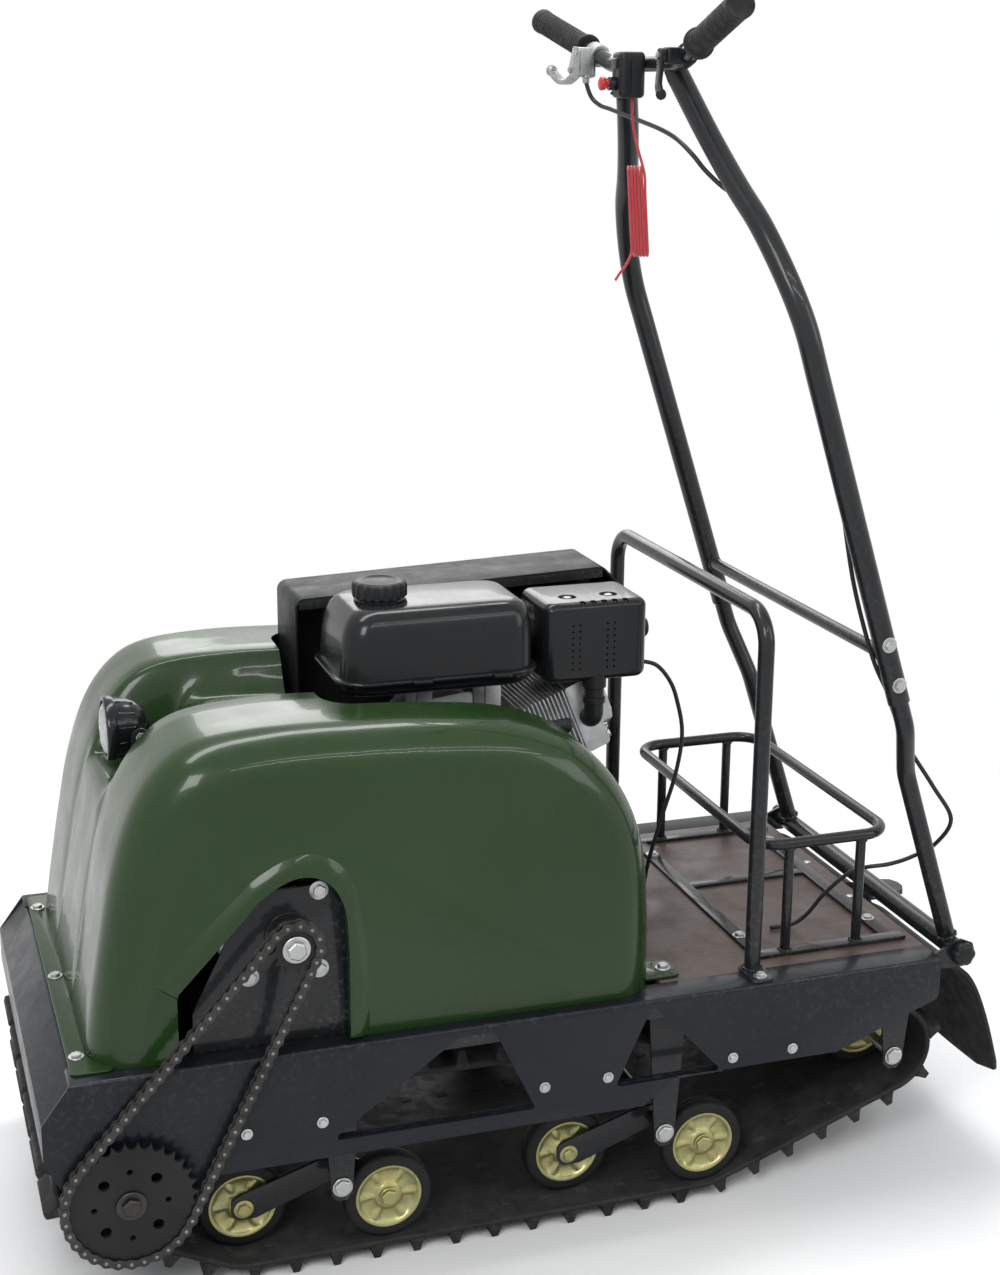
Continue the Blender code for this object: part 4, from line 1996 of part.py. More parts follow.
def brake_lever():
    """The brake lever, pivoted in its perch and reaching out under the right grip."""
    perch = bar_point(PERCH_Y)
    start = perch.x - 0.018
    root = (start, PERCH_Y + 0.0213, perch.z - 0.020)
    points = [
        root,
        (start - 0.002, PERCH_Y + 0.030, perch.z - 0.026),
        (start - 0.002, PERCH_Y + 0.060, perch.z - 0.036),
        (start - 0.002, PERCH_Y + 0.095, perch.z - 0.034),
        (start - 0.002, PERCH_Y + 0.125, perch.z - 0.022),
    ]
    blade = flat_bar(points, 0.0065, 0.0035)
    tip = spindle(
        (start - 0.002, PERCH_Y + 0.121, perch.z - 0.022), (start - 0.002, PERCH_Y + 0.200, perch.z - 0.010),
        [(0, 0.0075), (0.012, 0.0080), (0.015, 0.005)], 12,
    )
    hub = rod((PERCH_Y + 0.0213, perch.z - 0.020), 0.0080, start - 0.010, start + 0.008, 12, "X")
    join(blade, tip, hub)
    return finish(blade, "brake_lever", "black_paint")


def switch_block():
    """The switch housing clamped in front of the handlebar's neck."""
    x = BAR_X - BAR_TUBE - SEAT_GAP
    low = (x - 0.036, SWITCH_Y - 0.018, BAR_Z - 0.044)
    high = (x, SWITCH_Y + 0.018, BAR_Z + 0.014)
    block = box(low, high)
    bevel(block, 0.004)
    stub = rod((SWITCH_Y, BAR_Z - 0.026), 0.0085, low[0] - 0.010, low[0] + SINK, 14, "X")
    rocker = box((low[0] - 0.003, SWITCH_Y - 0.009, BAR_Z - 0.008), (low[0] + SINK, SWITCH_Y + 0.009, BAR_Z + 0.008))
    join(block, stub, rocker)
    bore = rod((SWITCH_Y, BAR_Z - 0.026), 0.0045, low[0] - 0.012, low[0] + 0.012, 12, "X")
    cut(block, bore)
    finish(block, "switch_block", "plastic", 30)
    face = low[0] - 0.010
    button = rod((SWITCH_Y, BAR_Z - 0.026), 0.0040, face - 0.0060, face + 0.012, 12, "X")
    cap = spindle(
        (face - STOP_TRAVEL - 0.0003, SWITCH_Y, BAR_Z - 0.026),
        (face - 1, SWITCH_Y, BAR_Z - 0.026),
        [(0, 0.010), (0.006, 0.011), (0.009, 0.009)],
        18,
    )
    join(button, cap)
    finish(button, "stop_button", "red_cord")


def throttle_lever():
    """The thumb throttle on the bar, by the left side of the neck."""
    spot = bar_point(THROTTLE_Y)
    x = spot.x - 0.0283
    lever = flat_bar(
        [
            (x - 0.004, THROTTLE_Y, spot.z + 0.004),
            (x - 0.007, THROTTLE_Y - 0.004, spot.z - 0.016),
            (x - 0.012, THROTTLE_Y - 0.012, spot.z - 0.034),
            (x - 0.014, THROTTLE_Y - 0.022, spot.z - 0.046),
        ],
        0.0030,
        0.0065,
    )
    hub = rod((THROTTLE_Y, spot.z), 0.009, x - 0.008, x, 14, "X")
    join(lever, hub)
    return finish(lever, "throttle_lever", "black_paint")


def hank():
    """The hank's winding: tall loops that lie side by side, from the first fold's front to the last one's foot."""
    across = Vector((math.cos(HANK_FACING), math.sin(HANK_FACING), 0))
    depth = Vector((-math.sin(HANK_FACING), math.cos(HANK_FACING), 0))
    half = HANK_LENGTH / 2 - HANK_FOLD
    leg_points = HANK_POINTS // 2 - HANK_FOLD_POINTS
    line = []
    for index in range(HANK_LOOPS * HANK_POINTS + leg_points + 1):
        step = index % HANK_POINTS
        if step < leg_points:
            back, height = -1.0, half - 2 * half * step / leg_points
        elif step < leg_points + HANK_FOLD_POINTS:
            angle = math.pi * (step - leg_points) / HANK_FOLD_POINTS
            back, height = -math.cos(angle), -half - HANK_FOLD * math.sin(angle)
        elif step < 2 * leg_points + HANK_FOLD_POINTS:
            share = (step - leg_points - HANK_FOLD_POINTS) / leg_points
            back, height = 1.0, -half + 2 * half * share
        else:
            angle = math.pi * (step - 2 * leg_points - HANK_FOLD_POINTS) / HANK_FOLD_POINTS
            back, height = math.cos(angle), half + HANK_FOLD * math.sin(angle)
        aside = (HANK_LOOPS / 2 - index / HANK_POINTS) * HANK_PITCH
        aside += HANK_LEAN * (half - height) / (2 * half)
        spot = Vector(HANK_MIDDLE) + across * aside + depth * back * HANK_FOLD
        line.append(spot + Vector((0, 0, height)))
    return line


def least_gap(line, radius, apart):
    """The least distance between a tube's own sides, at points of its line at least so many steps apart."""
    shares = (0.0, 1 / 3, 2 / 3)
    fine = [here.lerp(there, share) for here, there in zip(line, line[1:]) for share in shares]
    least = math.inf
    for index, spot in enumerate(fine):
        for other in fine[index + len(shares) * apart :]:
            least = min(least, (other - spot).length)
    return least - 2 * radius


def cords():
    """The brake cable in two parts, the control cable and the red safety cord, put away as a hank."""
    perch = bar_point(PERCH_Y)
    spots = [(perch.x - 0.018, PERCH_Y - 0.006, perch.z - 0.0264)] + list(UPPER_CABLE)
    cord("brake_cable_upper", smooth_line(spots, steps=2), CABLE_RADIUS, "plastic", 1)
    cord("brake_cable_lower", smooth_line(LOWER_CABLE, steps=3), CABLE_RADIUS, "plastic", 1)
    cord("control_cable", smooth_line(CONTROL_CABLE, steps=3), CABLE_RADIUS, "plastic", 1)
    line = [Vector(spot) for spot in LANYARD_START] + hank() + [Vector(spot) for spot in LANYARD_END]
    cord("lanyard", line, LANYARD_RADIUS, "red_cord", 1)
    print("least gap in the hank, mm:", round(1000 * least_gap(line, LANYARD_RADIUS, HANK_FOLD_POINTS), 2))


def main():
    clear_scene()
    side_panel(-1, "side_panel_left")
    side_panel(1, "side_panel_right")
    front_plate()
    chassis_frame()
    deck_board()
    rear_flap()
    track_belt()
    road_wheels()
    bogie(BOGIE_PIVOTS_X[0], "bogie_front")
    bogie(BOGIE_PIVOTS_X[1], "bogie_rear")
    idlers()
    drive_axle()
    pins, small_centre, phases = chain_layout()
    chain(pins)
    hub_end = -BODY_HALF_WIDTH - 0.0002 - SEAT_GAP
    sprocket(
        "large_sprocket", CHAIN_BASE, LARGE_TEETH, phases[0], LARGE_HUB_RADIUS, hub_end, AXLE_RADIUS, 4
    )
    sprocket(
        "small_sprocket", small_centre, SMALL_TEETH, phases[1], SMALL_HUB_RADIUS, SMALL_HUB_END, JACKSHAFT_RADIUS, 0
    )
    jackshaft(small_centre)
    bearing_plate(small_centre, -1, "bearing_plate_left")
    bearing_plate(small_centre, 1, "bearing_plate_right")
    brake_caliper(small_centre)
    pulleys(small_centre)
    drive_belt(small_centre)
    engine_block()
    valve_cover()
    crankshaft()
    recoil_housing()
    recoil_handle()
    fuel_tank()
    fuel_cap()
    air_cleaner()
    muffler()
    belt_guard()
    hood()
    headlight()
    rack_hoop()
    rack_ring()
    lower_handle()
    upper_handle()
    pivot_knob(-1, "pivot_knob_left")
    pivot_knob(1, "pivot_knob_right")
    grips()
    brake_lever()
    switch_block()
    throttle_lever()
    cords()


main()
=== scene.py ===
"""Scene for the tracked snow tow vehicle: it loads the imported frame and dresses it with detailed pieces."""

import bisect
import math

import bmesh
import bpy
from mathutils import Matrix, Vector


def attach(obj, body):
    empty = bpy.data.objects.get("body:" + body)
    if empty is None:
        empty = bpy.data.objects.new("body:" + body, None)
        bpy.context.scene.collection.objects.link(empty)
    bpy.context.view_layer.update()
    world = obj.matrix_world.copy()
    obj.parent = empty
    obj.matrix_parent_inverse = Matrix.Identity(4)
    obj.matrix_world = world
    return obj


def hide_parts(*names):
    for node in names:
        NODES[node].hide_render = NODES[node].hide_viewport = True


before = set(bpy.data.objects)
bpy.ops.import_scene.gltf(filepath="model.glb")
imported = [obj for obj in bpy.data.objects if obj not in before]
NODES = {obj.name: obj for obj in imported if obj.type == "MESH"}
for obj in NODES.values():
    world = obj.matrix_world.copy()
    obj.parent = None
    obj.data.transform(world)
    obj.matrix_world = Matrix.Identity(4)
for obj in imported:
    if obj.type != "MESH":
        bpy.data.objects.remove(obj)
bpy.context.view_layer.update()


# The camera, fitted to the photograph
CAMERA_PLACE = (-0.80067, -2.47507, 1.50785)
CAMERA_YAW = -0.32289
CAMERA_DROP = 0.27286
CAMERA_ROLL = 0.00745
CAMERA_LENS = 55.226
FLOOR_FADE_START = 0.95
FLOOR_FADE_END = 2.10

data = bpy.data.cameras.new("view")
data.sensor_fit = "VERTICAL"
data.sensor_height = 36.0
data.lens = CAMERA_LENS
camera = bpy.data.objects.new("view", data)
bpy.context.scene.collection.objects.link(camera)
turn = Matrix.Rotation(CAMERA_YAW, 4, "Z")
turn = turn @ Matrix.Rotation(math.pi / 2 - CAMERA_DROP, 4, "X")
turn = turn @ Matrix.Rotation(CAMERA_ROLL, 4, "Z")
camera.matrix_world = Matrix.Translation(CAMERA_PLACE) @ turn
bpy.context.scene.camera = camera


# Node helpers
EVEN = (1.0, 1.0, 1.0)


class Graph:
    """A short way to write a material's nodes."""

    INPUTS = {
        "colour": "Base Color", "metal": "Metallic", "rough": "Roughness", "normal": "Normal",
        "coat": "Coat Weight", "coat_rough": "Coat Roughness", "coat_normal": "Coat Normal",
        "specular": "Specular IOR Level", "clear": "Transmission Weight", "ior": "IOR",
        "sheen": "Sheen Weight",
    }

    def __init__(self, name):
        self.material = bpy.data.materials.new(name)
        self.material.use_nodes = True
        self.tree = self.material.node_tree
        self.shader = self.tree.nodes["Principled BSDF"]
        self.place = self.put("ShaderNodeTexCoord").outputs["Object"]

    def put(self, kind, **settings):
        node = self.tree.nodes.new(kind)
        for key, value in settings.items():
            setattr(node, key, value)
        return node

    def feed(self, socket, value):
        if isinstance(value, bpy.types.NodeSocket):
            self.tree.links.new(value, socket)
        else:
            socket.default_value = (*value, 1.0) if socket.type == "RGBA" else value

    def texture(self, kind, stretch, **inputs):
        """A texture in the object's own space."""
        space = self.put("ShaderNodeMapping")
        space.inputs["Scale"].default_value = stretch
        self.feed(space.inputs["Vector"], self.place)
        node = self.put(kind)
        self.feed(node.inputs["Vector"], space.outputs[0])
        for name, value in inputs.items():
            node.inputs[name].default_value = value
        return node

    def noise(self, scale, detail=4.0, rough=0.55, stretch=EVEN, distortion=0.0):
        node = self.texture(
            "ShaderNodeTexNoise", stretch, Scale=scale, Detail=detail, Roughness=rough, Distortion=distortion,
        )
        return node.outputs["Fac"]

    def cells(self, scale):
        return self.texture("ShaderNodeTexVoronoi", EVEN, Scale=scale).outputs["Distance"]

    def wave(self, scale, direction, distortion=0.0, detail=1.0):
        node = self.texture("ShaderNodeTexWave", EVEN, Scale=scale, Distortion=distortion, Detail=detail)
        node.bands_direction = direction
        return node.outputs["Fac"]

    def span(self, value, low, high, start=0.0, end=1.0):
        """Maps a value's stretch from start to end onto low to high."""
        node = self.put("ShaderNodeMapRange", clamp=True)
        self.feed(node.inputs["Value"], value)
        for name, limit in (("From Min", start), ("From Max", end), ("To Min", low), ("To Max", high)):
            node.inputs[name].default_value = limit
        return node.outputs["Result"]

    def times(self, first, second, kind="MULTIPLY"):
        node = self.put("ShaderNodeMath", operation=kind)
        self.feed(node.inputs[0], first)
        self.feed(node.inputs[1], second)
        return node.outputs[0]

    def mix(self, share, first, second):
        node = self.put("ShaderNodeMix", data_type="RGBA")
        self.feed(node.inputs["Factor"], share)
        for socket in node.inputs:
            if socket.type == "RGBA":
                self.feed(socket, first if socket.name == "A" else second)
        return [out for out in node.outputs if out.type == "RGBA"][0]

    def bump(self, height, strength, distance, under=None):
        node = self.put("ShaderNodeBump")
        node.inputs["Strength"].default_value = strength
        node.inputs["Distance"].default_value = distance
        self.feed(node.inputs["Height"], height)
        if under is not None:
            self.feed(node.inputs["Normal"], under)
        return node.outputs["Normal"]

    def film(self, amount, start, clouds):
        """Dust in clouds on what faces up."""
        split = self.put("ShaderNodeSeparateXYZ")
        self.feed(split.inputs[0], self.put("ShaderNodeNewGeometry").outputs["Normal"])
        return self.times(self.span(split.outputs["Z"], 0.0, amount, start, 1.0), clouds)

    def wear(self, patches, low=0.52, high=0.62):
        """Wear in patches on the edges."""
        geometry = self.put("ShaderNodeNewGeometry")
        return self.times(self.span(geometry.outputs["Pointiness"], 0.0, 1.0, low, high), patches)

    def set(self, **values):
        for key, value in values.items():
            self.feed(self.shader.inputs[self.INPUTS[key]], value)
        return self.material


def painted(name, colour, lighter, rough, dust, grain, depth, coat=0.0, worn=None):
    """Paint or plastic: two tones, grain, handling marks, dust on what faces up, and worn edges."""
    g = Graph(name)
    tone = g.mix(g.span(g.noise(7.0, 5.0), 0.0, 1.0, 0.35, 0.7), colour, lighter)
    marks = g.span(g.noise(60.0, 6.0, 0.7, (1.0, 1.0, 5.0)), 0.0, 1.0, 0.58, 0.75)
    tone = g.mix(g.times(marks, 0.25), tone, tuple(min(1.0, c * 1.8 + 0.01) for c in colour))
    film = g.film(dust, 0.2, g.span(g.noise(18.0, 6.0, 0.7), 0.2, 1.0, 0.3, 0.7))
    tone = g.mix(film, tone, (0.15, 0.15, 0.145))
    if worn:
        wear = g.wear(g.span(g.noise(140.0, 4.0), 0.0, 1.0, 0.52, 0.66))
        tone = g.mix(g.times(wear, 0.45), tone, (worn, worn, worn))
    patches = g.span(g.noise(25.0, 6.0, 0.65), rough * 0.8, min(1.0, rough * 1.3), 0.3, 0.7)
    patches = g.times(patches, g.times(film, 0.35), "ADD")
    fine = g.bump(g.noise(grain, 2.0, 0.5), 0.35, depth)
    uneven = g.bump(g.noise(30.0, 3.0), 0.12, 0.0006, fine)
    return g.set(colour=tone, rough=patches, normal=uneven, coat=coat, coat_rough=0.08, specular=0.16)


def bare_metal(name, colour, stain, rough, grain, scale, oil):
    """Bare metal: brushed or cast grain, darker oily patches and slightly uneven gloss."""
    g = Graph(name)
    cloud = g.span(g.noise(22.0, 6.0, 0.65), 0.0, 1.0, 0.4, 0.72)
    tone = g.mix(g.times(cloud, oil), colour, stain)
    fine = g.noise(scale, 3.0, 0.6, grain)
    tone = g.mix(g.span(fine, 0.0, 0.22), tone, tuple(c * 0.55 for c in colour))
    gloss = g.span(g.noise(40.0, 5.0, 0.6), rough * 0.75, rough * 1.35, 0.3, 0.7)
    return g.set(colour=tone, metal=0.92, rough=gloss, normal=g.bump(fine, 0.3, 0.00015))


# Colour, lighter tone, roughness, dust, grain's scale and depth, coat, and the grey of worn edges
PAINTS = {
    "black_paint": ((0.0085, 0.0092, 0.010), (0.014, 0.015, 0.017), 0.30, 0.04, 700.0, 0.0001, 0.30, 0.10),
    "sheet_steel": (
        (0.0052, 0.0070, 0.0098), (0.0080, 0.0104, 0.0138), 0.34, 0.03, 600.0, 0.0001, 0.12, 0.12,
    ),
    "guard_paint": ((0.0085, 0.0090, 0.0098), (0.018, 0.019, 0.021), 0.48, 0.07, 330.0, 0.0005, 0.05, 0.08),
    "plastic": ((0.0060, 0.0068, 0.0078), (0.0090, 0.0098, 0.0110), 0.22, 0.02, 1500.0, 0.00004, 0.22),
    "matt_plastic": ((0.0090, 0.0095, 0.0102), (0.015, 0.016, 0.017), 0.40, 0.04, 900.0, 0.0001, 0.05),
    "cable_jacket": ((0.013, 0.014, 0.015), (0.022, 0.023, 0.025), 0.38, 0.05, 1200.0, 0.00008, 0.10),
    "sprocket": ((0.0085, 0.0088, 0.0092), (0.016, 0.016, 0.016), 0.42, 0.04, 500.0, 0.0002, 0.05),
    "tyre": ((0.0075, 0.0077, 0.0080), (0.016, 0.016, 0.016), 0.55, 0.10, 700.0, 0.0003),
}
# Colour, stain, roughness, grain's stretch and scale, and oil
METALS = {
    "steel": ((0.46, 0.46, 0.47), (0.16, 0.14, 0.12), 0.30, (1, 8, 1), 300.0, 0.35),
    "dark_steel": ((0.060, 0.058, 0.056), (0.02, 0.018, 0.016), 0.42, (1, 6, 1), 350.0, 0.6),
    "bright_zinc": ((0.46, 0.47, 0.47), (0.22, 0.21, 0.19), 0.34, EVEN, 500.0, 0.5),
    "pale_alloy": ((0.33, 0.345, 0.335), (0.20, 0.20, 0.19), 0.45, EVEN, 500.0, 0.25),
    "chain_pin": ((0.24, 0.23, 0.215), (0.05, 0.045, 0.04), 0.32, EVEN, 500.0, 0.6),
}


def make_materials():
    made = {name: painted(name, *values) for name, values in PAINTS.items()}
    made.update((name, bare_metal(name, *values)) for name, values in METALS.items())

    g = Graph("green_gelcoat")
    drift = g.span(g.noise(3.2, 3.0), 0.0, 1.0, 0.3, 0.7)
    tone = g.mix(drift, (0.0080, 0.0270, 0.0045), (0.0120, 0.0350, 0.0065))
    flecks = g.span(g.noise(420.0, 2.0), 0.0, 0.30, 0.56, 0.72)
    tone = g.mix(flecks, tone, (0.030, 0.070, 0.018))
    film = g.film(0.05, 0.1, g.span(g.noise(11.0, 7.0, 0.7), 0.1, 1.0, 0.35, 0.7))
    tone = g.mix(film, tone, (0.14, 0.17, 0.12))
    scuffs = g.span(g.noise(26.0, 7.0, 0.75, (1.0, 1.0, 4.0)), 0.0, 1.0, 0.62, 0.78)
    gloss = g.times(g.span(g.noise(14.0, 5.0), 0.20, 0.34, 0.3, 0.7), g.times(scuffs, 0.14), "ADD")
    ripple = g.bump(g.noise(9.0, 2.0), 0.30, 0.0035)
    peel = g.bump(g.noise(260.0, 2.0), 0.10, 0.0002, ripple)
    made["green_gelcoat"] = g.set(
        colour=tone, rough=gloss, normal=peel, coat=0.30, coat_rough=0.05, coat_normal=ripple, specular=0.20,
    )

    g = Graph("rubber")
    cloud = g.span(g.noise(30.0, 6.0, 0.7), 0.0, 1.0, 0.35, 0.7)
    tone = g.mix(cloud, (0.0090, 0.0092, 0.0095), (0.024, 0.024, 0.025))
    wear = g.wear(g.span(g.noise(90.0, 5.0), 0.0, 1.0, 0.42, 0.62), 0.51, 0.60)
    tone = g.mix(g.times(wear, 0.5), tone, (0.085, 0.082, 0.078))
    film = g.film(0.20, 0.3, g.span(g.noise(25.0, 6.0, 0.7), 0.1, 1.0, 0.35, 0.7))
    tone = g.mix(film, tone, (0.16, 0.15, 0.14))
    pores = g.bump(g.noise(800.0, 3.0, 0.6), 0.4, 0.0003)
    gloss = g.span(g.noise(50.0, 4.0), 0.55, 0.85, 0.3, 0.7)
    made["rubber"] = g.set(colour=tone, rough=gloss, normal=pores, specular=0.2)

    g = Graph("zinc")
    sheen = g.span(g.noise(26.0, 4.0, 0.6, EVEN, 0.8), 0.0, 1.0, 0.3, 0.7)
    tone = g.mix(sheen, (0.40, 0.34, 0.13), (0.30, 0.33, 0.17))
    violet = g.span(g.noise(17.0, 5.0, 0.6, EVEN, 1.2), 0.0, 0.55, 0.52, 0.72)
    tone = g.mix(violet, tone, (0.34, 0.22, 0.16))
    grime = g.span(g.noise(48.0, 7.0, 0.7), 0.0, 0.75, 0.55, 0.78)
    tone = g.mix(grime, tone, (0.07, 0.06, 0.045))
    gloss = g.span(g.noise(70.0, 5.0), 0.28, 0.50, 0.3, 0.7)
    made["zinc"] = g.set(colour=tone, metal=0.85, rough=gloss, normal=g.bump(g.noise(500.0), 0.3, 0.0002))

    g = Graph("plywood")
    grain = g.noise(16.0, 8.0, 0.62, (0.9, 16.0, 16.0), 0.6)
    tone = g.mix(g.span(grain, 0.0, 1.0, 0.3, 0.7), (0.028, 0.016, 0.013), (0.060, 0.034, 0.026))
    scratches = g.span(g.noise(30.0, 8.0, 0.8, (1.0, 14.0, 1.0)), 0.0, 1.0, 0.62, 0.72)
    tone = g.mix(g.times(scratches, 0.35), tone, (0.13, 0.085, 0.065))
    film = g.film(1.0, 0.3, g.span(g.noise(9.0, 8.0, 0.75), 0.0, 0.30, 0.45, 0.75))
    tone = g.mix(film, tone, (0.20, 0.16, 0.14))
    mesh = g.bump(g.times(g.wave(150.0, "X"), g.wave(150.0, "Y")), 0.22, 0.0004)
    gloss = g.span(g.noise(20.0, 5.0), 0.34, 0.62, 0.3, 0.7)
    made["plywood"] = g.set(colour=tone, rough=gloss, normal=g.bump(grain, 0.15, 0.0006, mesh))

    g = Graph("clear_lens")
    tone = g.mix(g.span(g.noise(50.0), 0.0, 0.4), (0.93, 0.95, 0.96), (0.78, 0.82, 0.84))
    ribs = g.bump(g.wave(95.0, "Y", 0.3), 0.5, 0.0008)
    gloss = g.span(g.noise(35.0), 0.03, 0.14)
    made["clear_lens"] = g.set(colour=tone, clear=0.80, ior=1.49, rough=gloss, normal=ribs)

    g = Graph("reflector")
    tone = g.mix(g.span(g.noise(80.0), 0.0, 0.5), (0.86, 0.87, 0.88), (0.66, 0.67, 0.68))
    gloss = g.span(g.noise(60.0), 0.06, 0.18)
    made["reflector"] = g.set(colour=tone, metal=1.0, rough=gloss, normal=g.bump(g.cells(120.0), 0.4, 0.0006))

    g = Graph("red_cord")
    yarn = g.wave(620.0, "Z", 1.5, 2.0)
    fibres = g.noise(1800.0, 4.0, 0.7)
    tone = g.mix(g.span(yarn, 0.0, 1.0, 0.2, 0.8), (0.30, 0.008, 0.014), (0.66, 0.026, 0.038))
    tone = g.mix(g.span(g.noise(40.0, 3.0), 0.0, 0.35), tone, (0.44, 0.012, 0.02))
    lay = g.bump(fibres, 0.3, 0.0002, g.bump(yarn, 0.6, 0.0005))
    made["red_cord"] = g.set(colour=tone, rough=g.span(fibres, 0.45, 0.75), sheen=0.4, normal=lay)

    g = Graph("red_plastic")
    tone = g.mix(g.span(g.noise(60.0), 0.0, 0.6), (0.42, 0.012, 0.014), (0.30, 0.010, 0.012))
    gloss = g.span(g.noise(90.0), 0.28, 0.46)
    made["red_plastic"] = g.set(colour=tone, rough=gloss, normal=g.bump(g.noise(700.0), 0.2, 0.0001))

    g = Graph("cast_alloy")
    tone = g.mix(g.span(g.noise(30.0, 6.0), 0.0, 0.7, 0.35, 0.7), (0.56, 0.57, 0.58), (0.34, 0.34, 0.34))
    grime = g.span(g.noise(16.0, 7.0, 0.7), 0.0, 0.6, 0.5, 0.75)
    tone = g.mix(grime, tone, (0.09, 0.085, 0.08))
    gloss = g.span(g.noise(60.0, 4.0), 0.36, 0.58, 0.3, 0.7)
    grain = g.bump(g.noise(650.0, 3.0), 0.5, 0.0004)
    made["cast_alloy"] = g.set(colour=tone, metal=0.75, rough=gloss, normal=grain)
    return made


MATERIALS = make_materials()


# Shapes
def polar(centre, reach, angle):
    """The point at a distance and angle from a centre."""
    return (centre[0] + reach * math.cos(angle), centre[1] + reach * math.sin(angle))


def ring_points(centre, radius, sides, shift=0.0):
    """Points round a circle. The shift is a share of one step."""
    return [polar(centre, radius, math.tau * (i + shift) / sides) for i in range(sides)]


def corners_of(left, right, low, high):
    """A rectangle's corners, anticlockwise from the lower left one."""
    return [(left, low), (right, low), (right, high), (left, high)]


def spot_on(axis, first, second, level):
    """(x, z) along Y, (y, z) along X and (x, y) along Z."""
    if axis == "Y":
        return (first, level, second)
    if axis == "X":
        return (level, first, second)
    return (first, second, level)


def add_loft(shape, rings, closed=False):
    """A skin through rings of points, with end faces unless it closes on itself."""
    loops = [[shape.verts.new(spot) for spot in ring] for ring in rings]
    count = len(rings[0])
    pairs = list(zip(loops, loops[1:])) + ([(loops[-1], loops[0])] if closed else [])
    for here, there in pairs:
        for step in range(count):
            after = (step + 1) % count
            shape.faces.new((here[step], here[after], there[after], there[step]))
    if not closed:
        shape.faces.new(loops[0])
        shape.faces.new(loops[-1])


def add_prism(shape, outline, start, end, axis="Y"):
    """An outline drawn out along an axis."""
    add_loft(shape, [[spot_on(axis, a, b, level) for a, b in outline] for level in (start, end)])


def add_box(shape, low, high):
    """A box between its lowest and highest corner."""
    add_prism(shape, corners_of(low[0], high[0], low[1], high[1]), low[2], high[2], "Z")


def add_turned(shape, profile, centre, sides, axis="Y"):
    """A closed profile of (radius, along) spun about an axis."""
    rings = []
    for i in range(sides):
        angle = math.tau * i / sides
        rings.append([spot_on(axis, *polar(centre, radius, angle), level) for radius, level in profile])
    add_loft(shape, rings, True)


def frame_of(along):
    """Two directions across a line."""
    along = along.normalized()
    side = along.cross(Vector((0.31, 0.17, 0.93))).normalized()
    return side, along.cross(side)


def ring_about(centre, side, other, radius, sides, phase=0.0):
    """Points round a circle in space, from its two directions."""
    angles = [phase + math.tau * i / sides for i in range(sides)]
    return [centre + (side * math.cos(angle) + other * math.sin(angle)) * radius for angle in angles]


def add_spindle(shape, start, end, stations, sides=24):
    """A solid of revolution about a line, through (distance, radius) stations."""
    start = Vector(start)
    along = (Vector(end) - start).normalized()
    cross = frame_of(along)
    add_loft(
        shape, [ring_about(start + along * distance, *cross, radius, sides) for distance, radius in stations],
    )


def add_sweep(shape, points, radius, sides, closed=False, radii=None):
    """A tube along points."""
    spots = [Vector(point) for point in points]
    count = len(spots)
    rings = []
    side = None
    for index, spot in enumerate(spots):
        before = spots[index - 1] if closed or index else spot
        after = spots[(index + 1) % count] if closed or index + 1 < count else spot
        along = (after - before).normalized()
        side = frame_of(along)[0] if side is None else (side - along * side.dot(along)).normalized()
        rings.append(ring_about(spot, side, along.cross(side), radii[index] if radii else radius, sides))
    add_loft(shape, rings, closed)


def smooth_line(points, steps):
    """A smooth curve through points, with even steps between each two."""
    spots = [Vector(point) for point in points]
    spots = [spots[0] * 2 - spots[1]] + spots + [spots[-1] * 2 - spots[-2]]
    line = []
    for before, start, end, beyond in zip(spots, spots[1:], spots[2:], spots[3:]):
        for step in range(steps):
            t = step / steps
            square = (2 * before - 5 * start + 4 * end - beyond) * t**2
            cube = (3 * start - before - 3 * end + beyond) * t**3
            line.append(0.5 * (2 * start + (end - before) * t + square + cube))
    line.append(spots[-2])
    return line


def rounded_path(points, radius, steps):
    """A line through points with its corners rounded to a radius."""
    spots = [Vector(point) for point in points]
    line = [spots[0]]
    for before, corner, after in zip(spots, spots[1:], spots[2:]):
        toward = (before - corner).normalized()
        away = (after - corner).normalized()
        bend = math.pi - toward.angle(away)
        cutback = radius * math.tan(bend / 2)
        start = corner + toward * cutback
        end = corner + away * cutback
        centre = corner + (toward + away).normalized() * (radius / math.cos(bend / 2))
        for step in range(steps + 1):
            arm = (start - centre).slerp(end - centre, step / steps)
            line.append(centre + arm.normalized() * radius)
    line.append(spots[-1])
    return line


def rounded_rectangle(centre, size, corner, height, steps):
    """A level rectangle's ring of points with round corners."""
    ring = []
    for quarter, (side_x, side_y) in enumerate(corners_of(1, -1, 1, -1)):
        middle = (centre[0] + side_x * (size[0] / 2 - corner), centre[1] + side_y * (size[1] / 2 - corner))
        for step in range(steps + 1):
            ring.append((*polar(middle, corner, math.pi / 2 * (quarter + step / steps)), height))
    return ring


def add_bolt(shape, spot, normal, size, height, washer=True, dome=False):
    """A hex head with a chamfer and a washer, or a nut with the bolt's rounded end."""
    normal = Vector(normal).normalized()
    spot = Vector(spot)
    cross = frame_of(normal)
    turned_by = (spot.x * 71 + spot.z * 37 + spot.y * 13) % 1.0

    def stack(stations, sides, phase=0.0):
        add_loft(
            shape,
            [ring_about(spot + normal * level, *cross, reach, sides, phase) for level, reach in stations],
        )

    base = -0.0005
    if washer:
        stack([(base, size * 1.45), (0.0012, size * 1.45), (0.0015, size * 1.38)], 24)
        base = 0.0014
    head = [(base, size), (height * 0.86, size), (height, size * 0.90), (height, size * 0.62)]
    stack(head + [(height * 0.93, size * 0.58)], 6, turned_by)
    if dome:
        stack([(height * 0.5, size * 0.48), (height * 1.32, size * 0.48), (height * 1.45, size * 0.36)], 14)


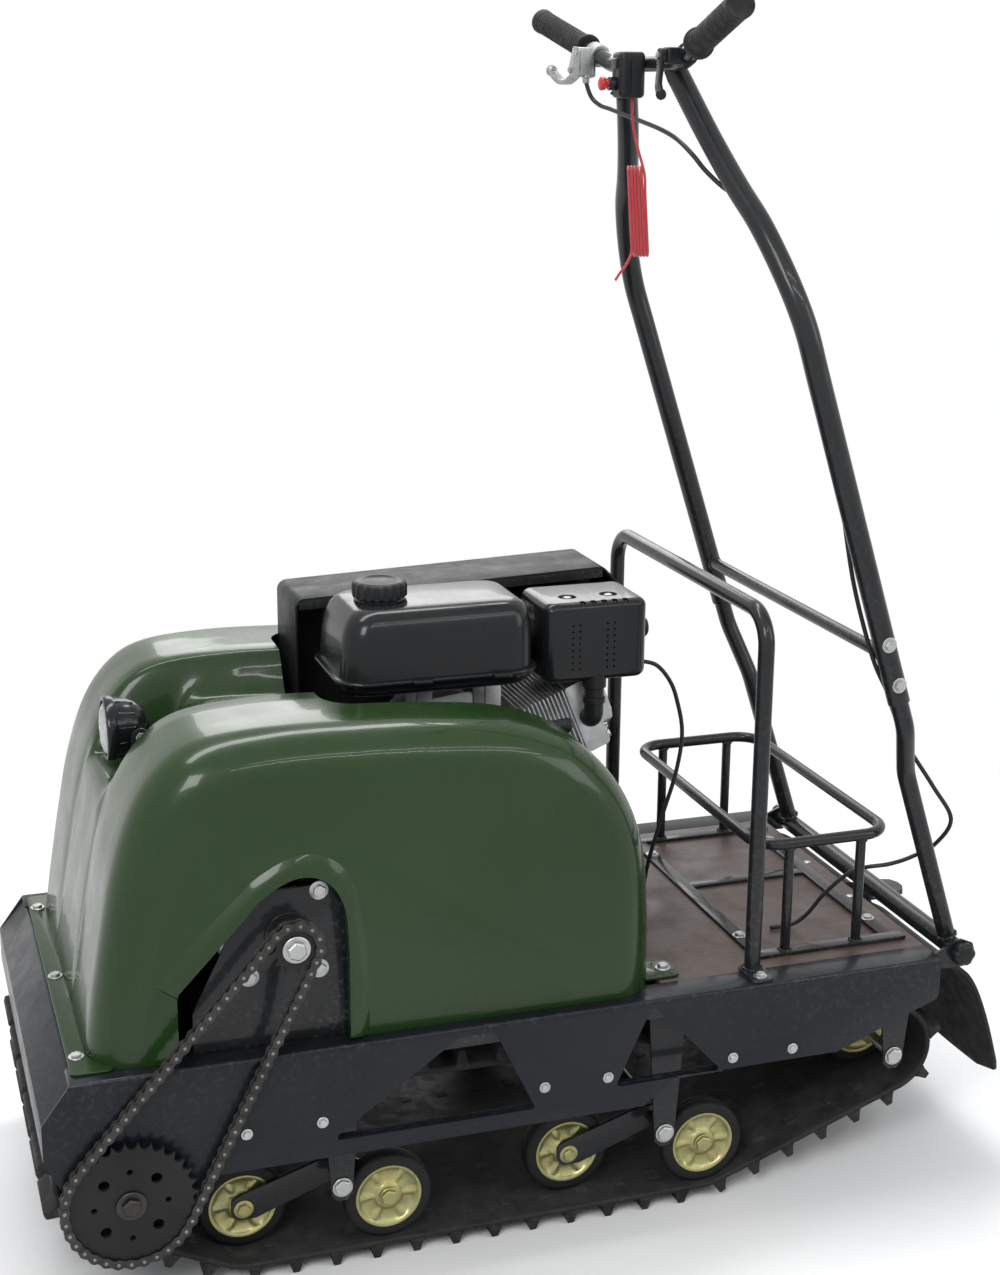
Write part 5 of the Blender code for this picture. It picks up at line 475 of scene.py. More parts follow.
def solid(shape, name="tool"):
    """Turns a bmesh into an object."""
    bmesh.ops.recalc_face_normals(shape, faces=shape.faces)
    mesh = bpy.data.meshes.new(name)
    shape.to_mesh(mesh)
    shape.free()
    obj = bpy.data.objects.new(name, mesh)
    bpy.context.scene.collection.objects.link(obj)
    return obj


def build(name, shape, material, body="chassis", replaced="", bevel=0.0, sharp=35, limit=35):
    """Turns a bmesh into a piece that rides on a body."""
    return dress(solid(shape, name), material, body, replaced, bevel, sharp, limit)


def build_bolts(name, shape, body="chassis", material="bright_zinc"):
    """Turns a bmesh of bolts or nuts into a piece with crisp edges."""
    return build(name, shape, material, body, sharp=30)


def dress(obj, material, body, replaced="", bevel=0.0, sharp=35, limit=35):
    """Bevels a piece, gives it its finish and puts it on its body."""
    if bevel:
        modifier = obj.modifiers.new("bevel", "BEVEL")
        modifier.width = bevel
        modifier.segments = 2
        modifier.limit_method = "ANGLE"
        modifier.angle_limit = math.radians(limit)
        modifier.harden_normals = False
        graph = bpy.context.evaluated_depsgraph_get()
        obj.data = bpy.data.meshes.new_from_object(obj.evaluated_get(graph))
        obj.modifiers.clear()
    obj.data.name = obj.name
    obj.data.materials.clear()
    obj.data.materials.append(MATERIALS[material])
    obj.data.shade_smooth()
    obj.data.set_sharp_from_angle(angle=math.radians(sharp))
    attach(obj, body)
    if replaced:
        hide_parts(replaced)
    return obj


def cut(target, *tools, operation="DIFFERENCE"):
    """Cuts the tools out of a piece, or joins them to it, and removes them."""
    for tool in tools:
        modifier = target.modifiers.new("cut", "BOOLEAN")
        modifier.operation = operation
        modifier.object = tool
        modifier.solver = "EXACT"
    graph = bpy.context.evaluated_depsgraph_get()
    target.data = bpy.data.meshes.new_from_object(target.evaluated_get(graph))
    target.modifiers.clear()
    for tool in tools:
        bpy.data.objects.remove(tool, do_unlink=True)
    shape = bmesh.new()
    shape.from_mesh(target.data)
    bmesh.ops.remove_doubles(shape, verts=shape.verts, dist=0.00001)
    shape.to_mesh(target.data)
    shape.free()
    return target


# Clearances
SEAT_GAP = 0.0003
SHAFT_GAP = 0.0004
BELT_SLACK = 0.0015
TRACK_CLEARANCE = 0.0192
HUB_GAP = 0.0005
SINK = 0.001
BEARING_PROUD = 0.0002


# Track and running gear
BELT_THICKNESS = 0.008
LUG_HEIGHT = 0.020
LUG_BASE = 0.020
LUG_TIP = 0.009
LUG_COUNT = 48
WHEEL_RADIUS = 0.060
WHEEL_WIDTH = 0.028
STUB_RADIUS = 0.008
DRIVE_AXLE_X = -0.551
DRIVE_AXLE_Z = 0.187
DRIVE_RADIUS = 0.079
DRIVE_TEETH = 8
DRIVE_WIDTH = 0.022
AXLE_RADIUS = 0.0125
IDLER_X = 0.533
IDLER_Z = 0.190
IDLER_OFFSET = 0.150
BOGIE_PIVOT_Z = 0.128
BOGIE_PIVOTS_X = (-0.272, 0.183)
BOGIE_LEAD = 0.122
BOGIE_TRAIL = 0.068
ARM_THICKNESS = 0.006
ARM_HALF_HEIGHT = 0.016
HANGER_THICKNESS = 0.004


# Chassis
BODY_HALF_WIDTH = 0.305
SHEET = 0.003
FRAME_TUBE = 0.025
DECK_THICKNESS = 0.012
TRACK_TOP = DRIVE_AXLE_Z + DRIVE_RADIUS + BELT_SLACK + BELT_THICKNESS + LUG_HEIGHT
FOLD_HEIGHT = TRACK_TOP + TRACK_CLEARANCE + FRAME_TUBE + SEAT_GAP + DECK_THICKNESS
PANEL_FRONT = -0.615
PANEL_REAR = 0.575
PANEL_DROP = 0.153
REAR_DROP = 0.118
FLANGE_WIDTH = 0.046
NOSE_REACH = 0.037
NOSE_DROP = 0.050
STRIP_HEIGHT = 0.022
DECK_FRONT = 0.172


# Places across the body
PANEL_INNER = BODY_HALF_WIDTH - SHEET
TUBE_OUTER = PANEL_INNER - SEAT_GAP
TUBE_INNER = TUBE_OUTER - FRAME_TUBE
FLANGE_INNER = BODY_HALF_WIDTH - FLANGE_WIDTH
TRACK_HALF_WIDTH = BODY_HALF_WIDTH - 0.055
HANGER_OFFSET = TRACK_HALF_WIDTH + 0.012
ARM_OFFSET = TRACK_HALF_WIDTH - 0.0375


# Heights of the frame
CROSS_TOP = FOLD_HEIGHT - DECK_THICKNESS - SEAT_GAP
WHEEL_Z = WHEEL_RADIUS + BELT_SLACK + BELT_THICKNESS + LUG_HEIGHT
CROSS_REAR = PANEL_REAR - 0.030


# Chain drive
CHAIN_PITCH = 0.015875
CHAIN_LINKS = 70
LARGE_TEETH = 32
SMALL_TEETH = 12
CHAIN_TILT = math.radians(55.7)
CHAIN_STANDOFF = 0.013
ROLLER_RADIUS = 0.0051
PLATE_PIN_HEIGHT = 0.0066
SPROCKET_THICKNESS = 0.006
LARGE_HUB_RADIUS = 0.030
SMALL_HUB_RADIUS = 0.020
JACKSHAFT_RADIUS = 0.0125
CHAIN_PLANE = BODY_HALF_WIDTH + CHAIN_STANDOFF
CHAIN_BASE = (DRIVE_AXLE_X, DRIVE_AXLE_Z)


# Engine
CRANK_X = -0.030
CRANK_Z = FOLD_HEIGHT + 0.250
CRANK_RADIUS = 0.0125
CYLINDER_TILT = math.radians(22)
ENGINE_BASE_Z = CRANK_Z - 0.132
BLOCK_NEAR = 0.065
BLOCK_FAR = 0.085
CYLINDER_END = 0.165
HEAD_END = 0.200
HEAD_FAR = 0.065
FIN_COUNT = 8
RECOIL_RADIUS = 0.088
RECOIL_OUTER = -BLOCK_NEAR - 0.053
RECOIL_PULL_X = CRANK_X + 0.082
RECOIL_PULL_Y = RECOIL_OUTER - 0.014
RECOIL_PULL_Z = CRANK_Z + 0.060


# Belt drive
PULLEY_NEAR = BLOCK_FAR + 0.027
PULLEY_WIDTH = 0.050
DRIVE_PULLEY_RADIUS = 0.075
DRIVEN_PULLEY_RADIUS = 0.098
BELT_WIDTH = 0.018
BELT_DEPTH = 0.011
IDLE_DRIVE_RADIUS = 0.040
IDLE_DRIVEN_RADIUS = 0.092


# Fuel tank, from the crankshaft's middle
TANK_CENTRE = (CRANK_X - 0.0625, -0.040)
TANK_SIZE = (0.265, 0.170)
TANK_BOTTOM_Z = CRANK_Z + 0.140
TANK_SEAM_Z = TANK_BOTTOM_Z + 0.023
TANK_TOP_Z = TANK_BOTTOM_Z + 0.116
CAP_SPOT = (TANK_CENTRE[0] - 0.0625, TANK_CENTRE[1])
CAP_RADIUS = 0.037


# Air cleaner and its pipe
CLEANER_FRONT = CRANK_X + 0.092
CLEANER_REAR = CLEANER_FRONT + 0.150
CLEANER_NEAR = -0.090
CLEANER_FAR = 0.025
CLEANER_BOTTOM = CRANK_Z + 0.128
CLEANER_TOP = CLEANER_BOTTOM + 0.112
ELBOW_SPOT = (CRANK_X + 0.170, -0.074)
ELBOW_LOW = CRANK_Z + 0.068


# Silencer and belt guard
MUFFLER_FRONT = CRANK_X + 0.105
MUFFLER_LENGTH = 0.140
MUFFLER_NEAR = BLOCK_FAR + 0.003
MUFFLER_WIDTH = 0.076
MUFFLER_BOTTOM = CRANK_Z + 0.098
MUFFLER_HEIGHT = 0.106
MUFFLER_CORNER = 0.030
GUARD_FRONT = CRANK_X - 0.215
GUARD_REAR = CRANK_X + 0.265
GUARD_NEAR = BLOCK_FAR - 0.013
GUARD_FAR = PULLEY_NEAR + PULLEY_WIDTH + 0.028
GUARD_TOP = CRANK_Z + 0.248
GUARD_BOTTOM = CRANK_Z - 0.042
GUARD_NOSE_Z = CRANK_Z + 0.048


# Bearing plates and brake
PLATE_THICKNESS = 0.004
BEARING_RING = 0.012
RIGHT_PLATE_Y = PULLEY_NEAR + PULLEY_WIDTH + 0.034
LEFT_PLATE_Y = BODY_HALF_WIDTH - 0.0365
PLATE_FRONT = -0.460
PLATE_REAR = -0.262
SMALL_HUB_END = -(LEFT_PLATE_Y + PLATE_THICKNESS + BEARING_RING + HUB_GAP)
DISC_RADIUS = 0.072
DISC_HALF = 0.002
DISC_Y = -(LEFT_PLATE_Y - 0.0435)


# Hood
HOOD_HALF_WIDTH = BODY_HALF_WIDTH - 0.019
HOOD_SHELL = 0.004
HOOD_EDGE_RADIUS = 0.060
CHANNEL_HALF_WIDTH = 0.082
OPENING_FRONT = PLATE_REAR
OPENING_NEAR_EDGE = 0.168
OPENING_FAR = 0.197
OPENING_REAR = 0.300
LEDGE_HEIGHT = 0.289


# Headlight
LAMP_X = -0.490
LAMP_RADIUS = 0.043
LAMP_DEPTH = 0.060
LAMP_LIFT = 0.014
LAMP_LEDGE_Z = FOLD_HEIGHT + LEDGE_HEIGHT
LAMP_Z = LAMP_LEDGE_Z + LAMP_RADIUS + LAMP_LIFT
LAMP_PIVOT_X = LAMP_X + 0.012


# Rack
HOOP_X = 0.306
HOOP_HALF_WIDTH = BODY_HALF_WIDTH - 0.043
HOOP_TOP = FOLD_HEIGHT + 0.503
HOOP_TUBE = 0.011
HOOP_BEND = 0.045
RING_FRONT = 0.330
RING_REAR = 0.530
RING_HALF_WIDTH = BODY_HALF_WIDTH - 0.083
RING_HEIGHT = FOLD_HEIGHT + 0.163
RING_TUBE = 0.008
RING_CORNER = 0.040
BAR_WIDTH = 0.020
BAR_HEIGHT = 0.005


# Handle
PIVOT_X = PANEL_REAR + 0.045
PIVOT_Z = FOLD_HEIGHT - 0.007
HANDLE_LEAN = math.radians(18.2)
LOWER_TUBE = 0.0125
PIVOT_TUBE = 0.0140
UPPER_TUBE = 0.0150
BASE_HALF_WIDTH = TUBE_INNER - 0.0287
POST_HALF_WIDTH = 0.282
FLARE_START = 0.28
FLARE_END = 0.36
SLEEVE_START = 0.40
LOWER_END = 0.62
CROSSBAR_AT = 0.470
SHOULDER_AT = 0.93
BAR_TUBE = 0.011
BAR_AT = 1.2627
BAR_FORWARD = 0.0048
BAR_X = PIVOT_X - BAR_AT * math.sin(HANDLE_LEAN) - BAR_FORWARD * math.cos(HANDLE_LEAN)
BAR_Z = PIVOT_Z + BAR_AT * math.cos(HANDLE_LEAN) - BAR_FORWARD * math.sin(HANDLE_LEAN)
BAR_STRAIGHT = 0.112
BAR_END = (BAR_X - 0.022, 0.335, BAR_Z + 0.061)
GRIP_START = 0.188
GRIP_RADIUS = 0.0165
KNOB_RADIUS = 0.017
PIN_RADIUS = 0.008
EAR_THICKNESS = 0.004


# Flap
FLAP_TOP = (PIVOT_X + 0.014, FOLD_HEIGHT - 0.034)
FLAP_BOTTOM = (PIVOT_X + 0.092, FOLD_HEIGHT - 0.232)
FLAP_THICKNESS = 0.005
FLAP_HALF_WIDTH = BODY_HALF_WIDTH - 0.043
NOTCH_HALF_WIDTH = 0.034
NOTCH_DEPTH = 0.050


# Hood outlines: x, and height over the fold
HOOD_PROFILE = (
    (-0.590, 0.000), (-0.578, 0.078), (-0.562, 0.168), (-0.545, 0.248), (-0.518, 0.323), (-0.480, 0.373),
    (-0.430, 0.398), (-0.340, 0.406), (-0.240, 0.404), (-0.150, 0.399), (-0.036, 0.385), (0.045, 0.353),
    (0.100, 0.303), (0.135, 0.243), (0.152, 0.178), (0.158, 0.098), (0.160, 0.000),
)
HOOD_MIDDLE = (
    (-0.590, 0.000), (-0.578, 0.078), (-0.562, 0.168), (-0.548, 0.233), (-0.535, 0.280), (-0.510, 0.289),
    (-0.412, 0.289), (-0.396, 0.348), (-0.240, 0.348), (-0.150, 0.343), (-0.036, 0.329), (0.030, 0.303),
    (0.075, 0.263), (0.115, 0.218), (0.140, 0.168), (0.155, 0.098), (0.160, 0.000),
)
ARCH = (
    (-0.480, 0.094), (-0.403, 0.175), (-0.375, 0.205), (-0.334, 0.227), (-0.298, 0.222), (-0.274, 0.192),
    (-0.266, 0.140), (-0.265, 0.008),
)
ARCH_MIDDLE = (-0.365, 0.048)


# Handle details and cords
NECK_LINE = ((0.930, 0.281), (0.990, 0.262), (1.055, 0.226), (1.105, 0.182), (1.170, 0.134), (1.245, 0.088))
PERCH_Y = 0.160
THROTTLE_Y = -0.140
SWITCH_Y = -0.018
STOP_TRAVEL = 0.004
CABLE_RADIUS = 0.0030
LANYARD_RADIUS = 0.0018
UPPER_CABLE = (
    (0.1983, 0.1540, 1.5200), (0.2040, 0.1480, 1.5000), (0.2100, 0.1300, 1.4890), (0.2135, 0.1000, 1.4842),
    (0.2191, 0.0300, 1.4733), (0.2247, -0.0500, 1.4607), (0.2289, -0.1000, 1.4481), (0.2363, -0.1350, 1.4290),
    (0.2475, -0.1440, 1.4130), (0.2640, -0.1560, 1.3950), (0.2840, -0.1740, 1.3760),
    (0.3027, -0.2110, 1.3426), (0.3224, -0.2470, 1.2827), (0.3420, -0.2650, 1.2270),
    (0.3580, -0.2666, 1.1745), (0.3920, -0.2650, 1.0550), (0.4150, -0.2600, 0.9500),
    (0.4390, -0.2500, 0.8700), (0.4585, -0.2695, 0.7868), (0.4855, -0.2640, 0.7377),
)
LOWER_CABLE = (
    (0.4880, -0.2635, 0.7310), (0.5060, -0.2620, 0.6900), (0.5330, -0.2450, 0.6500),
    (0.5780, -0.2470, 0.5850), (0.6083, -0.2500, 0.5346), (0.5960, -0.2340, 0.4930),
    (0.5660, -0.2240, 0.4735), (0.5356, -0.2150, 0.4625), (0.4947, -0.1900, 0.4480),
    (0.4640, -0.1680, 0.4100), (0.4420, -0.1560, 0.3740), (0.4200, -0.1500, 0.3580),
    (0.3900, -0.1460, 0.3556),
)
CONTROL_CABLE = (
    (0.2135, -0.060, 0.745), (0.240, -0.056, 0.735), (0.262, -0.052, 0.710), (0.275, -0.050, 0.680),
    (0.285, -0.050, 0.630), (0.280, -0.045, 0.570), (0.262, -0.040, 0.500), (0.245, -0.035, 0.430),
    (0.235, -0.030, 0.3536),
)
LANYARD_START = (
    (0.1980, -0.0180, 1.4987), (0.1980, -0.0180, 1.4930), (0.1990, -0.0190, 1.4700),
    (0.2040, -0.0230, 1.4400),
)
LANYARD_END = (
    (0.1960, -0.0240, 1.2920), (0.1920, -0.0200, 1.2820), (0.1880, -0.0140, 1.2740),
    (0.1840, -0.0080, 1.2640),
)


# The red cord's hank
HANK_MIDDLE = (0.2040, -0.0220, 1.3545)
HANK_LENGTH = 0.115
HANK_LOOPS = 5
HANK_POINTS = 24
HANK_FOLD_POINTS = 8
HANK_FOLD = 0.0072
HANK_PITCH = 0.0042
HANK_LEAN = 0.008
HANK_FACING = math.radians(-18.5)


# Places worked out as the part has them
def inward(profile, distance):
    """Moves each point of a profile inward, keeping its first and last on their own level."""
    moved = []
    last = len(profile) - 1
    for index, point in enumerate(profile):
        if index in (0, last):
            side = 1 if index == 0 else -1
            moved.append((point[0] + side * distance, point[1]))
            continue
        before, after = profile[index - 1], profile[index + 1]
        along = Vector((after[0] - before[0], after[1] - before[1])).normalized()
        moved.append((point[0] + along.y * distance, point[1] - along.x * distance))
    return moved


def hull_of(circles):
    """The belt's path round circles of (x, z, radius), as dense points in order."""
    spots = sorted(spot for x, z, radius in circles for spot in ring_points((x, z), radius, 360))

    def half(points):
        chain = []
        for point in points:
            while len(chain) > 1:
                (ax, az), (bx, bz) = chain[-2], chain[-1]
                if (bx - ax) * (point[1] - az) - (bz - az) * (point[0] - ax) > 0:
                    break
                chain.pop()
            chain.append(point)
        return chain[:-1]

    return half(spots) + half(reversed(spots))


def loop_lengths(loop):
    """The distance along a closed loop to each of its points, and all the way round."""
    total = [0.0]
    for here, there in zip(loop, loop[1:] + loop[:1]):
        total.append(total[-1] + math.dist(here, there))
    return total


def on_loop(loop, lengths, travel):
    """The point and outward normal at a distance along a loop that runs anticlockwise in (x, z)."""
    travel %= lengths[-1]
    low = bisect.bisect_right(lengths, travel, 0, len(loop)) - 1
    here, there = loop[low], loop[(low + 1) % len(loop)]
    span = lengths[low + 1] - lengths[low]
    share = (travel - lengths[low]) / span
    x = here[0] + (there[0] - here[0]) * share
    z = here[1] + (there[1] - here[1]) * share
    return (x, z), ((there[1] - here[1]) / span, -(there[0] - here[0]) / span)


def pitch_radius(teeth):
    """The radius of a sprocket's pitch circle."""
    return CHAIN_PITCH / (2 * math.sin(math.pi / teeth))


def chain_route(distance):
    """A function from travel to a point on the chain's pitch line, the line's length and the far centre."""
    large, small = pitch_radius(LARGE_TEETH), pitch_radius(SMALL_TEETH)
    lean = math.asin((large - small) / distance)
    straight = distance * math.cos(lean)
    far = polar(CHAIN_BASE, distance, CHAIN_TILT)
    arcs = (
        (CHAIN_BASE, large, CHAIN_TILT + math.pi / 2 - lean, math.pi + 2 * lean),
        (far, small, CHAIN_TILT - math.pi / 2 + lean, math.pi - 2 * lean),
    )
    total = sum(radius * wrap + straight for _, radius, _, wrap in arcs)

    def spot(travel):
        travel %= total
        for (centre, radius, start, wrap), following in zip(arcs, arcs[::-1]):
            if travel < radius * wrap:
                return polar(centre, radius, start + travel / radius)
            travel -= radius * wrap
            if travel < straight or centre is far:
                break
            travel -= straight
        here, there = polar(centre, radius, start + wrap), polar(*following[:3])
        return tuple(a + (b - a) * travel / straight for a, b in zip(here, there))

    return spot, total, far


def halved(low, high, below, rounds=50):
    """Halves a span round the value where a test stops holding: the last middle and the upper end."""
    for _ in range(rounds):
        middle = (low + high) / 2
        low, high = (middle, high) if below(middle) else (low, middle)
    return middle, high


def walk_chain(distance):
    """The pins of the chain, each one pitch from the last, and how far the last overshoots the first."""
    spot, total, far = chain_route(distance)
    travel = CHAIN_PITCH / 2
    pins = []
    for _ in range(CHAIN_LINKS):
        pin = spot(travel)
        pins.append(pin)
        _, travel = halved(
            travel, travel + 1.2 * CHAIN_PITCH, lambda at: math.dist(spot(at), pin) < CHAIN_PITCH, 40
        )
    return pins, travel - CHAIN_PITCH / 2 - total, far


def chain_layout():
    """Finds the centre distance at which the chain closes, and each sprocket's place and first tooth gap."""
    large, small = pitch_radius(LARGE_TEETH), pitch_radius(SMALL_TEETH)
    guess = (CHAIN_LINKS - (LARGE_TEETH + SMALL_TEETH) / 2) * CHAIN_PITCH / 2
    low = max(guess * 0.9, large - small + CHAIN_PITCH)
    pins, _, far = walk_chain(halved(low, guess * 1.1, lambda distance: walk_chain(distance)[1] > 0)[0])
    phases = []
    for centre, radius in ((CHAIN_BASE, large), (far, small)):
        seated = [pin for pin in pins if abs(math.dist(pin, centre) - radius) < 0.00002]
        pin = seated[len(seated) // 2]
        phases.append(math.atan2(pin[1] - centre[1], pin[0] - centre[0]))
    return pins, far, phases


def up_cylinder(along, across):
    """A point in (x, z) given along the cylinder's axis from the crankshaft, and across it."""
    cos, sin = math.cos(CYLINDER_TILT), math.sin(CYLINDER_TILT)
    return (CRANK_X + along * cos - across * sin, CRANK_Z + along * sin + across * cos)


def up_handle(along, y, forward=0.0):
    """A point at a distance up the handle from its pivot."""
    x = PIVOT_X - along * math.sin(HANDLE_LEAN) - forward * math.cos(HANDLE_LEAN)
    z = PIVOT_Z + along * math.cos(HANDLE_LEAN) - forward * math.sin(HANDLE_LEAN)
    return Vector((x, y, z))


def bar_point(y):
    """The handlebar's middle line at a distance along Y."""
    side = 1 if y > 0 else -1
    reach = abs(y)
    if reach <= BAR_STRAIGHT:
        return Vector((BAR_X, y, BAR_Z))
    share = (reach - BAR_STRAIGHT) / (BAR_END[1] - BAR_STRAIGHT)
    x = BAR_X + (BAR_END[0] - BAR_X) * share
    z = BAR_Z + (BAR_END[2] - BAR_Z) * share
    return Vector((x, side * reach, z))


def hank():
    """The hank's winding: tall loops side by side, from the first fold's front to the last one's foot."""
    across = Vector((math.cos(HANK_FACING), math.sin(HANK_FACING), 0))
    depth = Vector((-math.sin(HANK_FACING), math.cos(HANK_FACING), 0))
    half = HANK_LENGTH / 2 - HANK_FOLD
    leg_points = HANK_POINTS // 2 - HANK_FOLD_POINTS
    line = []
    for index in range(HANK_LOOPS * HANK_POINTS + leg_points + 1):
        step = index % HANK_POINTS
        if step < leg_points:
            back, height = -1.0, half - 2 * half * step / leg_points
        elif step < leg_points + HANK_FOLD_POINTS:
            angle = math.pi * (step - leg_points) / HANK_FOLD_POINTS
            back, height = -math.cos(angle), -half - HANK_FOLD * math.sin(angle)
        elif step < 2 * leg_points + HANK_FOLD_POINTS:
            share = (step - leg_points - HANK_FOLD_POINTS) / leg_points
            back, height = 1.0, -half + 2 * half * share
        else:
            angle = math.pi * (step - 2 * leg_points - HANK_FOLD_POINTS) / HANK_FOLD_POINTS
            back, height = math.cos(angle), half + HANK_FOLD * math.sin(angle)
        aside = (HANK_LOOPS / 2 - index / HANK_POINTS) * HANK_PITCH
        aside += HANK_LEAN * (half - height) / (2 * half)
        spot = Vector(HANK_MIDDLE) + across * aside + depth * back * HANK_FOLD
        line.append(spot + Vector((0, 0, height)))
    return line


# Cords
def line_length(line):
    """The length of a line through its points."""
    return sum((second - first).length for first, second in zip(line, line[1:]))


def cord_piece(node, line, radius, material, body):
    """A cable or cord along its line."""
    shape = bmesh.new()
    add_sweep(shape, line, radius, 14)
    obj = build(node + "_piece", shape, material, body, node, sharp=60)


def cords():
    perch = bar_point(PERCH_Y)
    start = (perch.x - 0.018, PERCH_Y - 0.006, perch.z - 0.0264)
    upper = smooth_line([start] + list(UPPER_CABLE), 6)
    lower, control = smooth_line(LOWER_CABLE, 8), smooth_line(CONTROL_CABLE, 8)
    for node, line, body, stiffness in (
        ("brake_cable_upper", upper, "handle_upper", "medium"),
        ("brake_cable_lower", lower, "chassis", "medium"), ("control_cable", control, "chassis", "stiff"),
    ):
        cord_piece(node, line, CABLE_RADIUS, "cable_jacket", body)
    line = [Vector(spot) for spot in LANYARD_START] + hank() + [Vector(spot) for spot in LANYARD_END]
    line = smooth_line(line, 3)
    cord_piece("lanyard", line, LANYARD_RADIUS, "red_cord", "handle_upper")


cords()


# The floor, lights and surround
def shown_white(tree, plain, output, share_of=None):
    """White to the camera, to mirrors and through glass, and the plain shader to every other ray."""
    path = tree.nodes.new("ShaderNodeLightPath").outputs

    def joined(operation, first, second):
        node = tree.nodes.new("ShaderNodeMath")
        node.operation = operation
        node.use_clamp = True
        tree.links.new(first, node.inputs[0])
        tree.links.new(second, node.inputs[1])
        return node.outputs[0]

    amount = joined("ADD", path["Is Camera Ray"], path["Is Glossy Ray"])
    amount = joined("ADD", amount, path["Is Transmission Ray"])
    if share_of is not None:
        amount = joined("MULTIPLY", amount, share_of)
    shown = tree.nodes.new("ShaderNodeEmission" if share_of is not None else "ShaderNodeBackground")
    shown.inputs["Color"].default_value = (1.0, 1.0, 1.0, 1.0)
    shown.inputs["Strength"].default_value = 1.0
    blend = tree.nodes.new("ShaderNodeMixShader")
    for socket, end in zip((amount, plain, shown.outputs[0]), blend.inputs):
        tree.links.new(socket, end)
    tree.links.new(blend.outputs[0], output.inputs[0])


def stage():
    """The pale floor, the soft lights and the white surround."""
    g = Graph("floor")
    tone = g.mix(g.span(g.noise(1.5, 3.0), 0.0, 0.5), (0.93, 0.93, 0.93), (0.91, 0.91, 0.91))
    g.set(colour=tone, rough=0.9, specular=0.1)
    reach = g.put("ShaderNodeVectorMath", operation="LENGTH")
    g.feed(reach.inputs[0], g.place)
    far = g.span(reach.outputs["Value"], 0.0, 1.0, FLOOR_FADE_START, FLOOR_FADE_END)
    shown_white(g.tree, g.shader.outputs[0], g.tree.nodes["Material Output"], far)
    shape = bmesh.new()
    bmesh.ops.create_circle(shape, cap_ends=True, segments=96, radius=40.0)
    mesh = bpy.data.meshes.new("floor")
    shape.to_mesh(mesh)
    shape.free()
    floor = bpy.data.objects.new("floor", mesh)
    bpy.context.scene.collection.objects.link(floor)
    mesh.materials.append(g.material)
    world = bpy.data.worlds.new("surround")
    bpy.context.scene.world = world
    world.use_nodes = True
    tree = world.node_tree
    ground = tree.nodes["Background"]
    ground.inputs["Color"].default_value = (0.95, 0.97, 1.0, 1.0)
    ground.inputs["Strength"].default_value = 0.55
    shown_white(tree, ground.outputs[0], tree.nodes["World Output"])
    for name, place, aim, size, power in (
        ("overhead", (-0.3, 0.5, 3.4), (0.0, 0.0, 0.4), (3.4, 0.5), 70.0),
        ("strip", (0.85, -2.30, 2.45), (0.15, -0.28, 0.66), (2.4, 0.05), 7.0),
        ("second_strip", (0.85, -2.08, 2.72), (0.15, -0.28, 0.66), (2.0, 0.04), 4.5),
        ("key", (-1.75, -2.65, 2.6), (-0.1, 0.0, 0.5), (1.2, 1.2), 50.0),
        ("fill", (2.9, -2.2, 1.9), (0.1, 0.0, 0.6), (1.6, 1.6), 22.0),
        ("back", (0.6, 3.2, 2.3), (0.0, 0.0, 0.6), (2.0, 1.2), 26.0),
    ):
        lamp = bpy.data.lights.new(name, "AREA")
        lamp.shape = "RECTANGLE"
        lamp.size, lamp.size_y = size
        lamp.energy = power
        obj = bpy.data.objects.new(name, lamp)
        bpy.context.scene.collection.objects.link(obj)
        aim_at = Vector(aim) - Vector(place)
        obj.matrix_world = Matrix.Translation(place) @ aim_at.to_track_quat("-Z", "Y").to_matrix().to_4x4()
    bpy.context.scene.view_settings.view_transform = "Standard"


stage()


# The frame's own solid stays in sight
frame_data = NODES["chassis_frame"].data
frame_data.materials.clear()
frame_data.materials.append(MATERIALS["black_paint"])


# Shapes shared by the pieces
def mirrored(stations, length, middle=0):
    """(distance, radius) stations and their mirror image from the far end."""
    back = [(length - distance, radius) for distance, radius in reversed(stations)]
    return stations + back[middle:]


SIDES = (-1, 1)
HANDS = ((-1, "left"), (1, "right"))
NEARLY_STRAIGHT = 1.52
BEAD_POINTS = 56


def rounded(outline, radius, steps=4, keep=()):
    """An outline in two directions with its corners rounded, except those that are kept sharp."""
    spots = [Vector(point) for point in outline]
    ring = []
    for index, corner in enumerate(spots):
        toward = spots[index - 1] - corner
        away = spots[(index + 1) % len(spots)] - corner
        half = toward.angle(away) / 2
        if index in keep or half > NEARLY_STRAIGHT:
            ring.append(tuple(corner))
            continue
        back = min(radius / math.tan(half), 0.45 * toward.length, 0.45 * away.length)
        reach = back * math.tan(half)
        toward.normalize()
        away.normalize()
        centre = corner + (toward + away).normalized() * (reach / math.sin(half))
        for step in range(steps + 1):
            arm = (corner + toward * back - centre).lerp(corner + away * back - centre, step / steps)
            ring.append(tuple(centre + arm.normalized() * reach))
    return ring


def add_bead(shape, centre, normal, radius, thick=0.0026):
    """A weld bead round a tube's foot."""
    points = ring_about(Vector(centre), *frame_of(Vector(normal)), radius, BEAD_POINTS)
    radii = [thick * (1 + 0.25 * math.sin(math.tau * index / 4)) for index in range(BEAD_POINTS)]
    add_sweep(shape, points, thick, 8, True, radii)


def add_rod(shape, centre, radius, start, end, sides=32, axis="Y", chamfer=0.0006):
    """A round bar along an axis with chamfered ends."""
    start, end = sorted((start, end))
    rings = []
    for level, inset in ((start, chamfer), (start + chamfer, 0), (end - chamfer, 0), (end, chamfer)):
        rings.append([spot_on(axis, a, b, level) for a, b in ring_points(centre, radius - inset, sides)])
    add_loft(shape, rings)


